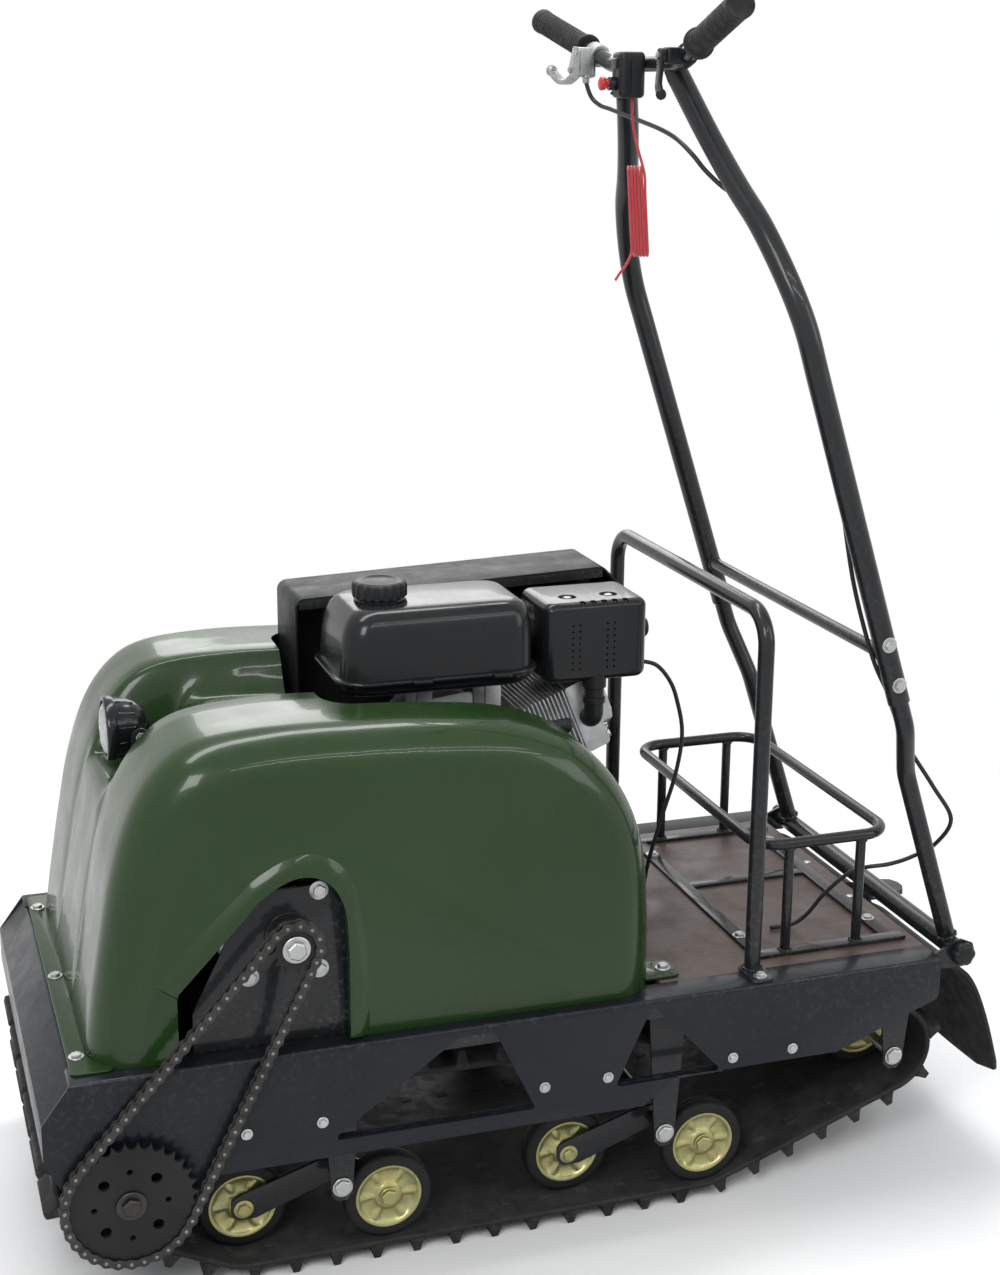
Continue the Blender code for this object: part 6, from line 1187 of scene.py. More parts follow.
def add_padded(shape, low, high, corner, width, steps=8, layers=5):
    """A box with round upright edges and a rounded top and bottom."""
    centre = ((low[0] + high[0]) / 2, (low[1] + high[1]) / 2)
    rings = []
    for end, up, shares in ((low[2], 1, range(layers + 1)), (high[2], -1, range(layers, -1, -1))):
        for share in shares:
            angle = math.pi / 2 * share / layers
            inset = width * (1 - math.sin(angle))
            shrunk = (high[0] - low[0] - 2 * inset, high[1] - low[1] - 2 * inset)
            height = end + up * width * (1 - math.cos(angle))
            rings.append(rounded_rectangle(centre, shrunk, max(corner - inset, 0.002), height, steps))
    add_loft(shape, rings)


def prism_solid(outline, start, end, axis="Y"):
    """A prism as an object, to cut with."""
    shape = bmesh.new()
    add_prism(shape, outline, start, end, axis)
    return solid(shape)


def rods_solid(spots, radius, start, end, sides=20, axis="Y"):
    """Round bars as one object, to cut with."""
    shape = bmesh.new()
    for spot in spots:
        add_rod(shape, spot, radius, start, end, sides, axis, 0.0)
    return solid(shape)


def sided(side, near, far):
    """Two distances across the body, lowest first, on the left or right side."""
    return tuple(sorted((side * near, side * far)))


# The hood
def smooth_profile(profile, steps):
    """A smooth curve through (x, z) points."""
    line = smooth_line([(x, 0, z) for x, z in profile], steps)
    return [(spot.x, spot.z) for spot in line]


def hood_skin(shrink, floor, steps=5):
    """The hood's outer form, or its hollow when shrunk by the shell's thickness."""
    half = HOOD_HALF_WIDTH - shrink
    stations = []
    for step in range(10):
        angle = math.pi / 2 * step / 9
        stations.append(
            (half - HOOD_EDGE_RADIUS * (1 - math.cos(angle)), HOOD_EDGE_RADIUS * (1 - math.sin(angle)), 0.0)
        )
    edge = CHANNEL_HALF_WIDTH + shrink
    reach = half - HOOD_EDGE_RADIUS
    for share in (0.25, 0.5, 0.75):
        stations.append((reach + (edge + 0.030 - reach) * share, 0.0, 0.0))
    for step in range(13):
        share = step / 12
        bend = share * share * (3 - 2 * share)
        stations.append((edge + 0.026 - 0.042 * share, 0.0025 * (1 - abs(2 * share - 1)), bend))
    for share in (0.7, 0.4, 0.1):
        stations.append(((edge - 0.016) * share, 0.0, 1.0))
    outer_line = smooth_profile(HOOD_PROFILE, steps)
    middle_line = smooth_profile(HOOD_MIDDLE, steps)
    rings = []
    spots = [(-y, inset, blend) for y, inset, blend in stations]
    spots += [(y, inset, blend) for y, inset, blend in reversed(stations)]
    for y, inset, blend in spots:
        outer = inward(outer_line, inset + shrink)
        middle = inward(middle_line, shrink)
        ring = []
        for index, (first, second) in enumerate(zip(outer, middle)):
            x = first[0] + (second[0] - first[0]) * blend
            z = FOLD_HEIGHT + first[1] + (second[1] - first[1]) * blend
            ring.append((x, y, floor if index in (0, len(outer) - 1) else z))
        rings.append(ring)
    shape = bmesh.new()
    add_loft(shape, rings)
    return solid(shape, "hood_skin")


def hood_piece():
    base = FOLD_HEIGHT + SEAT_GAP
    arch = [(s.x, s.z) for s in smooth_line([(x, 0, FOLD_HEIGHT + height) for x, height in ARCH], 6)]
    centre = Vector((ARCH_MIDDLE[0], FOLD_HEIGHT + ARCH_MIDDLE[1]))
    shell = hood_skin(0.0, base)
    flare = bmesh.new()
    rings = []
    for grow, level in (
        (0.034, 0.004), (0.027, -0.0005), (0.020, -0.0045), (0.013, -0.0080), (0.006, -0.0092),
        (0.0, -0.0092),
    ):
        ring = []
        for x, z in arch:
            out = (Vector((x, z)) - centre).normalized() * grow
            ring.append((x + out.x, -HOOD_HALF_WIDTH + level, max(z + out.y, base + 0.002)))
        ring.append((ARCH[-1][0] - 0.020, -HOOD_HALF_WIDTH + level, base + 0.002))
        ring.append((ARCH[0][0] + 0.030, -HOOD_HALF_WIDTH + level, base + 0.060))
        rings.append(ring)
    rings.insert(0, [(x, -HOOD_HALF_WIDTH + 0.030, z) for x, _, z in rings[0]])
    add_loft(flare, rings)
    cut(shell, solid(flare), operation="UNION")
    opening = rounded(
        corners_of(OPENING_FRONT, OPENING_REAR, -OPENING_NEAR_EDGE, OPENING_FAR), 0.045, 8, (1, 2),
    )
    sill = [(ARCH[0][0], base - 0.010)] + arch + [(ARCH[-1][0], base - 0.010)]
    cut(
        shell, hood_skin(HOOD_SHELL, base - 0.010, 3), prism_solid(opening, base - 0.010, 1.0, "Z"),
        prism_solid(sill, -HOOD_HALF_WIDTH - 0.060, -HOOD_HALF_WIDTH + 0.060),
    )
    dress(shell, "green_gelcoat", "chassis", "hood", sharp=38)
    shell.name = "hood_shell"
    shape = bmesh.new()
    front = rounded(corners_of(-0.612, -0.560, -HOOD_HALF_WIDTH, HOOD_HALF_WIDTH), 0.008)
    add_prism(shape, front, base, base + 0.003, "Z")
    tab = rounded(corners_of(0.150, 0.206, -0.250, -0.200), 0.010)
    add_prism(shape, tab, base, base + 0.004, "Z")
    build("hood_flanges", shape, "green_gelcoat", bevel=0.0008)
    shape = bmesh.new()
    for side in SIDES:
        ear = rounded(
            [
                (LAMP_PIVOT_X - 0.016, LAMP_LEDGE_Z - 0.002), (LAMP_PIVOT_X - 0.012, LAMP_Z + 0.006),
                (LAMP_PIVOT_X, LAMP_Z + 0.013), (LAMP_PIVOT_X + 0.012, LAMP_Z + 0.006),
                (LAMP_PIVOT_X + 0.020, LAMP_LEDGE_Z - 0.002),
            ],
            0.008, 5, (0, 4),
        )
        add_prism(shape, ear, *sided(side, LAMP_RADIUS + 0.004, LAMP_RADIUS + 0.007))
        low, high = sided(side, LAMP_RADIUS + 0.004, LAMP_RADIUS + 0.026)
        add_box(
            shape, (LAMP_PIVOT_X - 0.016, low, LAMP_LEDGE_Z - 0.001),
            (LAMP_PIVOT_X + 0.020, high, LAMP_LEDGE_Z + 0.002),
        )
        add_bolt(
            shape, (LAMP_PIVOT_X + 0.002, side * (LAMP_RADIUS + 0.017), LAMP_LEDGE_Z + 0.002), (0, 0, 1),
            0.005, 0.0035,
        )
    build("lamp_bracket", shape, "black_paint", bevel=0.0005)
    shape = bmesh.new()
    for y in (-0.240, 0.0, 0.240):
        add_bolt(shape, (-0.600, y, base + 0.003), (0, 0, 1), 0.0070, 0.0050)
    add_bolt(shape, (0.190, -0.224, base + 0.004), (0, 0, 1), 0.0075, 0.0060)
    build_bolts("hood_bolts", shape)


# Sheet metal
def panels():
    bottom = FOLD_HEIGHT - PANEL_DROP
    rear_bottom = FOLD_HEIGHT - REAR_DROP
    nose = PANEL_FRONT - NOSE_REACH
    reach = AXLE_RADIUS + 0.042
    outline = [
        (PANEL_FRONT, FOLD_HEIGHT), (nose, FOLD_HEIGHT - NOSE_DROP), (nose, FOLD_HEIGHT - NOSE_DROP * 2),
        (DRIVE_AXLE_X - reach, DRIVE_AXLE_Z - reach / 2), (DRIVE_AXLE_X - reach / 2, DRIVE_AXLE_Z - reach),
        (DRIVE_AXLE_X + reach / 2, DRIVE_AXLE_Z - reach), (DRIVE_AXLE_X + 2 * reach, bottom), (0.134, bottom),
        (0.180, rear_bottom), (0.420, rear_bottom), (PANEL_REAR, FOLD_HEIGHT - REAR_DROP / 2),
        (PANEL_REAR, FOLD_HEIGHT),
    ]
    under = FOLD_HEIGHT - 0.012
    strip = bottom + STRIP_HEIGHT
    windows = (
        [(-0.296, strip), (-0.020, strip), (-0.077, under), (-0.125, under)],
        [(0.092, rear_bottom), (0.246, rear_bottom), (0.148, under), (0.140, under)],
    )
    for side, hand in HANDS:
        bend = 0.0045
        section = []
        for step in range(6):
            angle = math.pi / 2 * step / 5
            section.append(
                (BODY_HALF_WIDTH - bend + bend * math.sin(angle), FOLD_HEIGHT - bend + bend * math.cos(angle))
            )
        section += [(BODY_HALF_WIDTH, 0.05), (PANEL_INNER, 0.05)]
        for step in range(6):
            angle = math.pi / 2 * (1 - step / 5)
            inner = bend - SHEET
            section.append(
                (
                    PANEL_INNER - inner + inner * math.sin(angle),
                    FOLD_HEIGHT - SHEET - inner + inner * math.cos(angle),
                )
            )
        section += [(FLANGE_INNER, FOLD_HEIGHT - SHEET), (FLANGE_INNER, FOLD_HEIGHT)]
        sheet = prism_solid([(side * y, z) for y, z in section], nose - 0.010, PANEL_REAR + 0.010, "X")
        limit = prism_solid(
            rounded(outline, 0.010, 5, (0, 11)), *sided(side, FLANGE_INNER - 0.010, BODY_HALF_WIDTH + 0.010),
        )
        cut(sheet, limit, operation="INTERSECT")
        tools = [
            prism_solid(rounded(window, 0.004), *sided(side, PANEL_INNER - SHEET, BODY_HALF_WIDTH + SHEET))
            for window in windows
        ]
        tools.append(
            rods_solid(
                [CHAIN_BASE], AXLE_RADIUS + 0.010, *sided(side, PANEL_INNER - SHEET, BODY_HALF_WIDTH + SHEET),
                40,
            )
        )
        cut(sheet, *tools)
        sheet.name = f"side_panel_{hand}_sheet"
        dress(sheet, "sheet_steel", "chassis", f"side_panel_{hand}", 0.0007, limit=40)
        shape = bmesh.new()
        for start, end, level in ((-0.300, -0.016, strip), (0.088, 0.250, rear_bottom)):
            low, high = sided(side, PANEL_INNER - 0.014, PANEL_INNER + 0.001)
            add_box(shape, (start, low, level - 0.003), (end, high, level))
        build(f"side_panel_{hand}_lips", shape, "sheet_steel", bevel=0.0006)
        shape = bmesh.new()
        add_turned(
            shape,
            [
                (AXLE_RADIUS + SHAFT_GAP, side * (PANEL_INNER - 0.014)),
                (AXLE_RADIUS + SHAFT_GAP, side * (BODY_HALF_WIDTH + BEARING_PROUD)),
                (AXLE_RADIUS + 0.011, side * (BODY_HALF_WIDTH + BEARING_PROUD)),
                (AXLE_RADIUS + 0.011, side * (PANEL_INNER + SINK)),
                (AXLE_RADIUS + 0.026, side * (PANEL_INNER + SINK)),
                (AXLE_RADIUS + 0.026, side * (PANEL_INNER - 0.006)),
                (AXLE_RADIUS + 0.014, side * (PANEL_INNER - 0.014)),
            ],
            CHAIN_BASE, 48,
        )
        build(f"axle_bearing_{hand}", shape, "cast_alloy", bevel=0.0006)
        shape = bmesh.new()
        for x in (-0.403, -0.306, -0.008, 0.081, 0.262, 0.351):
            add_bolt(shape, (x, side * BODY_HALF_WIDTH, FOLD_HEIGHT - 0.102), (0, side, 0), 0.0052, 0.0042)
        build_bolts(f"panel_bolts_{hand}", shape)
    inner = PANEL_INNER - SEAT_GAP
    top = FOLD_HEIGHT - SHEET - SEAT_GAP
    outline = [
        (PANEL_FRONT + 0.016, top), (PANEL_FRONT + 0.001, top), (nose, FOLD_HEIGHT - NOSE_DROP),
        (nose, FOLD_HEIGHT - NOSE_DROP * 2), (nose + SHEET, FOLD_HEIGHT - NOSE_DROP * 2),
        (nose + SHEET, FOLD_HEIGHT - NOSE_DROP - 0.001), (PANEL_FRONT + 0.003, top - SHEET),
        (PANEL_FRONT + 0.016, top - SHEET),
    ]
    shape = bmesh.new()
    add_prism(shape, rounded(outline, 0.004, 4, (0, 3, 4, 7)), -inner, inner)
    build("front_plate_sheet", shape, "sheet_steel", "chassis", "front_plate", 0.0006)


def deck_piece():
    half = FLANGE_INNER - SEAT_GAP
    shape = bmesh.new()
    low, high = CROSS_TOP + SEAT_GAP, FOLD_HEIGHT
    board = rounded(corners_of(DECK_FRONT, PANEL_REAR, -half, half), 0.003, 3)
    add_prism(shape, board, low, high, "Z")
    build("deck_board_sheet", shape, "plywood", "chassis", "deck_board", 0.0009)
    shape = bmesh.new()
    for x in (DECK_FRONT + 0.024, PANEL_REAR - 0.016):
        for y in (-0.22, -0.07, 0.07, 0.22):
            add_spindle(
                shape, (x, y, high - 0.001), (x, y, 1),
                [(0, 0.0055), (0.0014, 0.0055), (0.0022, 0.0040), (0.0024, 0.0020)], 20,
            )
    build("deck_screws", shape, "bright_zinc")


def flap_piece():
    start = CROSS_REAR + FRAME_TUBE + SEAT_GAP
    line = smooth_line(
        [
            (start, 0, CROSS_TOP - SINK), (start + 0.0005, 0, FLAP_TOP[1] + 0.012),
            (FLAP_TOP[0] - 0.018, 0, FLAP_TOP[1] - 0.003), (FLAP_TOP[0] + 0.016, 0, FLAP_TOP[1] - 0.030),
            (FLAP_TOP[0] + 0.045, 0, FLAP_TOP[1] - 0.095), (FLAP_BOTTOM[0] - 0.003, 0, FLAP_BOTTOM[1]),
        ],
        7,
    )
    total = line_length(line)
    shape = bmesh.new()
    rows = []
    gone = 0.0
    columns = 44
    for index, spot in enumerate(line):
        gone += (spot - line[index - 1]).length if index else 0.0
        share = gone / total
        half = FLAP_HALF_WIDTH - 0.055 * max(0.0, (share - 0.90) / 0.10) ** 3
        row = []
        for column in range(columns + 1):
            y = half * (2 * column / columns - 1)
            wave = 0.0022 * math.sin(y * 19 + 0.6) * share
            row.append(shape.verts.new((spot.x + wave, y, spot.z)))
        rows.append(row)
    for index in range(len(rows) - 1):
        for column in range(columns):
            middle = FLAP_HALF_WIDTH * (2 * (column + 0.5) / columns - 1)
            if abs(middle) < NOTCH_HALF_WIDTH and line[index].z > FLAP_TOP[1] - NOTCH_DEPTH:
                continue
            shape.faces.new(
                (
                    rows[index][column], rows[index][column + 1], rows[index + 1][column + 1],
                    rows[index + 1][column],
                )
            )
    loose = [vert for vert in shape.verts if not vert.link_faces]
    bmesh.ops.delete(shape, geom=loose, context="VERTS")
    bmesh.ops.recalc_face_normals(shape, faces=shape.faces)
    bmesh.ops.solidify(shape, geom=shape.faces, thickness=-FLAP_THICKNESS)
    build("rear_flap_sheet", shape, "rubber", "chassis", "rear_flap", 0.0010)
    shape = bmesh.new()
    for y in (-0.200, -0.080, 0.080, 0.200):
        add_bolt(shape, (start + FLAP_THICKNESS, y, CROSS_TOP - 0.012), (1, 0, 0), 0.0060, 0.0045)
    build_bolts("flap_bolts", shape)


# Tubes
def lower_handle_piece():
    end = TUBE_INNER - SEAT_GAP
    shape = bmesh.new()
    bore = PIN_RADIUS + SHAFT_GAP
    stations = [(0.014, bore), (0, bore), (0, PIVOT_TUBE - 0.0008), (0.0008, PIVOT_TUBE)]
    add_spindle(shape, (PIVOT_X, -end, PIVOT_Z), (PIVOT_X, end, PIVOT_Z), mirrored(stations, 2 * end), 40)
    for side in SIDES:
        line = [
            up_handle(0, side * BASE_HALF_WIDTH), up_handle(FLARE_START, side * BASE_HALF_WIDTH),
            up_handle(FLARE_END, side * POST_HALF_WIDTH), up_handle(LOWER_END, side * POST_HALF_WIDTH),
        ]
        add_sweep(shape, rounded_path(line, 0.060, 10), LOWER_TUBE, 30)
        along = (line[1] - line[0]).normalized()
        add_bead(shape, line[0] + along * (PIVOT_TUBE + 0.0004), along, LOWER_TUBE + 0.0004)
    build("lower_handle_tubes", shape, "black_paint", "handle_lower", "lower_handle", sharp=40)


def upper_handle_piece():
    shape = bmesh.new()
    for side in SIDES:
        line = [up_handle(SHOULDER_AT - 0.060, side * POST_HALF_WIDTH)]
        line += [up_handle(along, side * half) for along, half in NECK_LINE]
        foot = up_handle(SLEEVE_START, side * POST_HALF_WIDTH)
        bend = smooth_line(line, 8)
        whole = [foot, foot.lerp(bend[0], 0.002)] + bend
        radii = [UPPER_TUBE - 0.0010] + [UPPER_TUBE] * (len(whole) - 1)
        whole += [
            up_handle(BAR_AT - 0.011, side * 0.0855), up_handle(BAR_AT - 0.006, side * 0.0835, 0.002),
            up_handle(BAR_AT + 0.001, side * 0.082, 0.0035),
        ]
        radii += [UPPER_TUBE - 0.0004, UPPER_TUBE - 0.0020, UPPER_TUBE - 0.0070]
        add_sweep(shape, whole, UPPER_TUBE, 34, False, radii)
        add_bead(
            shape, up_handle(CROSSBAR_AT, side * (POST_HALF_WIDTH - UPPER_TUBE - 0.0004)), (0, 1, 0), 0.0094,
            0.0022,
        )
    half = BAR_END[1]
    bar = rounded_path(
        [bar_point(-half), bar_point(-BAR_STRAIGHT), bar_point(BAR_STRAIGHT), bar_point(half)], 0.060, 12,
    )
    add_sweep(shape, bar, BAR_TUBE, 30)
    add_sweep(
        shape, [up_handle(CROSSBAR_AT, -POST_HALF_WIDTH), up_handle(CROSSBAR_AT, POST_HALF_WIDTH)], 0.009, 28,
    )
    build("upper_handle_tubes", shape, "black_paint", "handle_upper", "upper_handle", sharp=40)
    shape = bmesh.new()
    for side in SIDES:
        for along in (SLEEVE_START + 0.030, SLEEVE_START + 0.090):
            spot = up_handle(along, side * (POST_HALF_WIDTH + 0.0140))
            add_bolt(shape, spot, (0, side, 0), 0.0072, 0.0058)
    build_bolts("sleeve_bolts", shape, "handle_upper")


def knobs():
    for side, hand in HANDS:
        end = TUBE_INNER - SEAT_GAP
        outer = TUBE_INNER + SINK + EAR_THICKNESS + SEAT_GAP
        shape = bmesh.new()
        rings = []
        for level, shrink in (
            (0.0, 0.0015), (0.0015, 0.0), (0.0105, 0.0), (0.0130, 0.0022), (0.0150, 0.0060), (0.0160, 0.0110),
        ):
            ring = []
            for index in range(72):
                angle = math.tau * index / 72
                lobe = 0.0018 * (0.5 - 0.5 * math.cos(angle * 6)) ** 2
                reach = KNOB_RADIUS - lobe * (1 - shrink / 0.012) - shrink
                ring.append(spot_on("Y", *polar((PIVOT_X, PIVOT_Z), reach, angle), side * (outer + level)))
            rings.append(ring)
        add_loft(shape, rings)
        build(
            f"pivot_knob_{hand}_head", shape, "matt_plastic", f"knob_{hand}", f"pivot_knob_{hand}", sharp=50,
        )
        shape = bmesh.new()
        add_rod(shape, (PIVOT_X, PIVOT_Z), PIN_RADIUS, side * (end - 0.015), side * (outer + SINK), 28)
        build(f"pivot_pin_{hand}", shape, "steel", f"knob_{hand}")


def rack():
    base = FOLD_HEIGHT + SEAT_GAP
    half = HOOP_HALF_WIDTH
    points = [
        (HOOP_X, -half, base), (HOOP_X, -half, HOOP_TOP), (HOOP_X, half, HOOP_TOP), (HOOP_X, half, base),
    ]
    shape = bmesh.new()
    add_sweep(shape, rounded_path(points, HOOP_BEND, 12), HOOP_TUBE, 30)
    bolts = bmesh.new()
    for side in SIDES:
        low, high = sided(side, half - 0.014, half + 0.038)
        foot = rounded(corners_of(HOOP_X - 0.016, HOOP_X + 0.016, low, high), 0.006)
        add_prism(shape, foot, base, base + 0.004, "Z")
        add_bead(shape, (HOOP_X, side * half, base + 0.005), (0, 0, 1), HOOP_TUBE + 0.0008)
        add_bolt(bolts, (HOOP_X, side * (half + 0.026), base + 0.004), (0, 0, 1), 0.0065, 0.0050)
    build("rack_hoop_tubes", shape, "black_paint", "chassis", "rack_hoop", sharp=40)
    shape = bmesh.new()
    middle = ((RING_FRONT + RING_REAR) / 2, 0.0)
    size = (RING_REAR - RING_FRONT, 2 * RING_HALF_WIDTH)
    add_sweep(shape, rounded_rectangle(middle, size, RING_CORNER, RING_HEIGHT, 9), RING_TUBE, 24, True)
    wide = BAR_WIDTH / 2
    for y in (-RING_HALF_WIDTH, RING_HALF_WIDTH):
        add_box(shape, (RING_FRONT - 0.005, y - wide, base), (RING_REAR + 0.030, y + wide, base + BAR_HEIGHT))
        for x in (RING_FRONT + 0.045, RING_REAR - 0.045):
            add_sweep(shape, [(x, y, base + 0.001), (x, y, RING_HEIGHT)], RING_TUBE - 0.001, 24)
            add_bead(shape, (x, y, base + BAR_HEIGHT + 0.0004), (0, 0, 1), RING_TUBE - 0.0004, 0.0022)
            add_bead(shape, (x, y, RING_HEIGHT - RING_TUBE + 0.0006), (0, 0, 1), RING_TUBE - 0.0014, 0.0020)
    for x in (RING_FRONT + 0.005, RING_REAR + 0.008):
        add_box(
            shape, (x - wide, -RING_HALF_WIDTH, base),
            (x + wide, RING_HALF_WIDTH, base + BAR_HEIGHT - 0.0005),
        )
    add_box(shape, (RING_FRONT, 0.025, base), (RING_REAR + 0.010, 0.045, base + BAR_HEIGHT - 0.001))
    build("rack_ring_tubes", shape, "black_paint", "chassis", "rack_ring", 0.0006, sharp=40, limit=60)
    for x in (RING_FRONT + 0.005, RING_REAR + 0.008):
        for y in (-0.160, 0.160):
            add_bolt(bolts, (x, y, base + BAR_HEIGHT - 0.0005), (0, 0, 1), 0.0070, 0.0048)
    build_bolts("rack_bolts", bolts)


hood_piece()
panels()
deck_piece()
flap_piece()
lower_handle_piece()
upper_handle_piece()
knobs()
rack()


# The engine
GUARD_FALL = 0.016
GUARD_CUT = 0.028
GUARD_SHEET = 0.003


def engine():
    base = ENGINE_BASE_Z + SEAT_GAP
    outline = [
        (CRANK_X - 0.095, base), (CRANK_X - 0.095, base + 0.012), (CRANK_X - 0.082, base + 0.022),
        (CRANK_X - 0.082, CRANK_Z + 0.030), (CRANK_X - 0.050, CRANK_Z + 0.064),
        (CRANK_X + 0.040, CRANK_Z + 0.074), (CRANK_X + 0.085, CRANK_Z + 0.040),
        (CRANK_X + 0.085, base + 0.022), (CRANK_X + 0.105, base + 0.012), (CRANK_X + 0.105, base),
    ]
    shape = bmesh.new()
    add_prism(shape, rounded(outline, 0.012, 5, (0, 9)), -BLOCK_NEAR, BLOCK_FAR)
    for start, end, half, near, far in (
        (0.050, CYLINDER_END, 0.040, -0.048, 0.056), (CYLINDER_END - SINK, HEAD_END, 0.052, -0.055, HEAD_FAR),
    ):
        corners = [
            up_cylinder(start, -half), up_cylinder(end, -half), up_cylinder(end, half),
            up_cylinder(start, half),
        ]
        add_prism(shape, rounded(corners, 0.006), near, far)
    add_rod(shape, (CRANK_X, CRANK_Z), 0.030, BLOCK_FAR - SINK, BLOCK_FAR + 0.014, 40)
    for index in range(FIN_COUNT + 4):
        start = 0.094 + index * 0.0059
        corners = [
            up_cylinder(start, -0.054), up_cylinder(start + 0.0020, -0.054),
            up_cylinder(start + 0.0020, 0.054), up_cylinder(start, 0.054),
        ]
        add_prism(shape, corners, -0.060, 0.068)
    shelf = TANK_BOTTOM_Z - SEAT_GAP
    for x in (CRANK_X - 0.074, CRANK_X + 0.024):
        add_box(shape, (x, -0.040, CRANK_Z + 0.030), (x + 0.022, -0.034, shelf))
        add_box(shape, (x, -0.070, shelf - 0.004), (x + 0.022, 0.020, shelf))
        add_box(shape, (x, 0.014, CRANK_Z + 0.030), (x + 0.022, 0.020, shelf))
    add_rod(shape, (CRANK_X - 0.060, base + 0.050), 0.010, -BLOCK_NEAR - 0.012, -BLOCK_NEAR + SINK, 24)
    build("engine_castings", shape, "cast_alloy", "chassis", "engine_block", 0.0009, 30)
    shape = bmesh.new()
    for angle in range(0, 360, 60):
        a = math.radians(angle + 15)
        add_bolt(
            shape, (CRANK_X + 0.062 * math.cos(a), BLOCK_FAR, CRANK_Z - 0.004 + 0.058 * math.sin(a)),
            (0, 1, 0), 0.0055, 0.0045,
        )
    for x in (CRANK_X - 0.088, CRANK_X + 0.095):
        for y in (-0.048, 0.060):
            add_bolt(shape, (x, y, base + 0.012), (0, 0, 1), 0.0070, 0.0060)
    for across in (-0.042, 0.042):
        for y in (-0.046, 0.056):
            x, z = up_cylinder(HEAD_END, across)
            add_bolt(shape, (x, y, z), (math.cos(CYLINDER_TILT), 0, math.sin(CYLINDER_TILT)), 0.0055, 0.0050)
    build_bolts("engine_bolts", shape)
    shape = bmesh.new()
    start, half = HEAD_END + SEAT_GAP, 0.040
    along = Vector((math.cos(CYLINDER_TILT), 0, math.sin(CYLINDER_TILT)))
    rings = []
    for distance, shrink in (
        (0.0, 0.0), (0.0035, 0.0), (0.0036, 0.004), (0.016, 0.005), (0.021, 0.0075), (0.0235, 0.012),
        (0.0245, 0.020),
    ):
        ring = []
        for a, b, _ in rounded_rectangle(
            (0.0, 0.005), (2 * half - 2 * shrink, 0.090 - 2 * shrink), 0.012, 0.0, 6,
        ):
            x, z = up_cylinder(start + distance, a)
            ring.append((x, b, z))
        rings.append(ring)
    add_loft(shape, rings)
    for y in (-0.020, 0.003, 0.026):
        corners = [
            up_cylinder(HEAD_END + 0.022, -0.026), up_cylinder(HEAD_END + 0.0265, -0.024),
            up_cylinder(HEAD_END + 0.0265, 0.024), up_cylinder(HEAD_END + 0.022, 0.026),
        ]
        add_prism(shape, corners, y, y + 0.004)
    x, z = up_cylinder(HEAD_END + 0.0240, 0.0)
    add_bolt(shape, (x, -0.006, z), along, 0.0055, 0.0045)
    for across in (-0.034, 0.034):
        for y in (-0.034, 0.044):
            x, z = up_cylinder(HEAD_END + 0.0038, across * 1.04)
            add_bolt(shape, (x, y * 1.06, z), along, 0.0030, 0.0040, False)
    build("valve_cover_cap", shape, "bright_zinc", "chassis", "valve_cover", 0.0004, 35)
    shape = bmesh.new()
    plug = Vector((*up_cylinder(CYLINDER_END + 0.018, -0.050), 0)).xzy
    tip = Vector((*up_cylinder(CYLINDER_END + 0.018, -0.072), 0)).xzy
    add_spindle(
        shape, plug, tip, [(0, 0.009), (0.006, 0.009), (0.008, 0.007), (0.020, 0.0065), (0.022, 0.0050)], 20,
    )
    build("spark_plug_boot", shape, "rubber")


def crank_line():
    end = PULLEY_NEAR + PULLEY_WIDTH
    shape = bmesh.new()
    spot = (CRANK_X, CRANK_Z)
    add_rod(shape, spot, CRANK_RADIUS, 0.012, end + 0.002)
    add_rod(shape, spot, 0.020, BLOCK_FAR + 0.0145, PULLEY_NEAR - SEAT_GAP, 40)
    add_rod(shape, spot, 0.018, end + SEAT_GAP, end + 0.004, 40)
    add_bolt(shape, (CRANK_X, end + 0.0035, CRANK_Z), (0, 1, 0), 0.0090, 0.0075, False)
    build("crankshaft_bar", shape, "steel", "crank", "crankshaft", sharp=35)


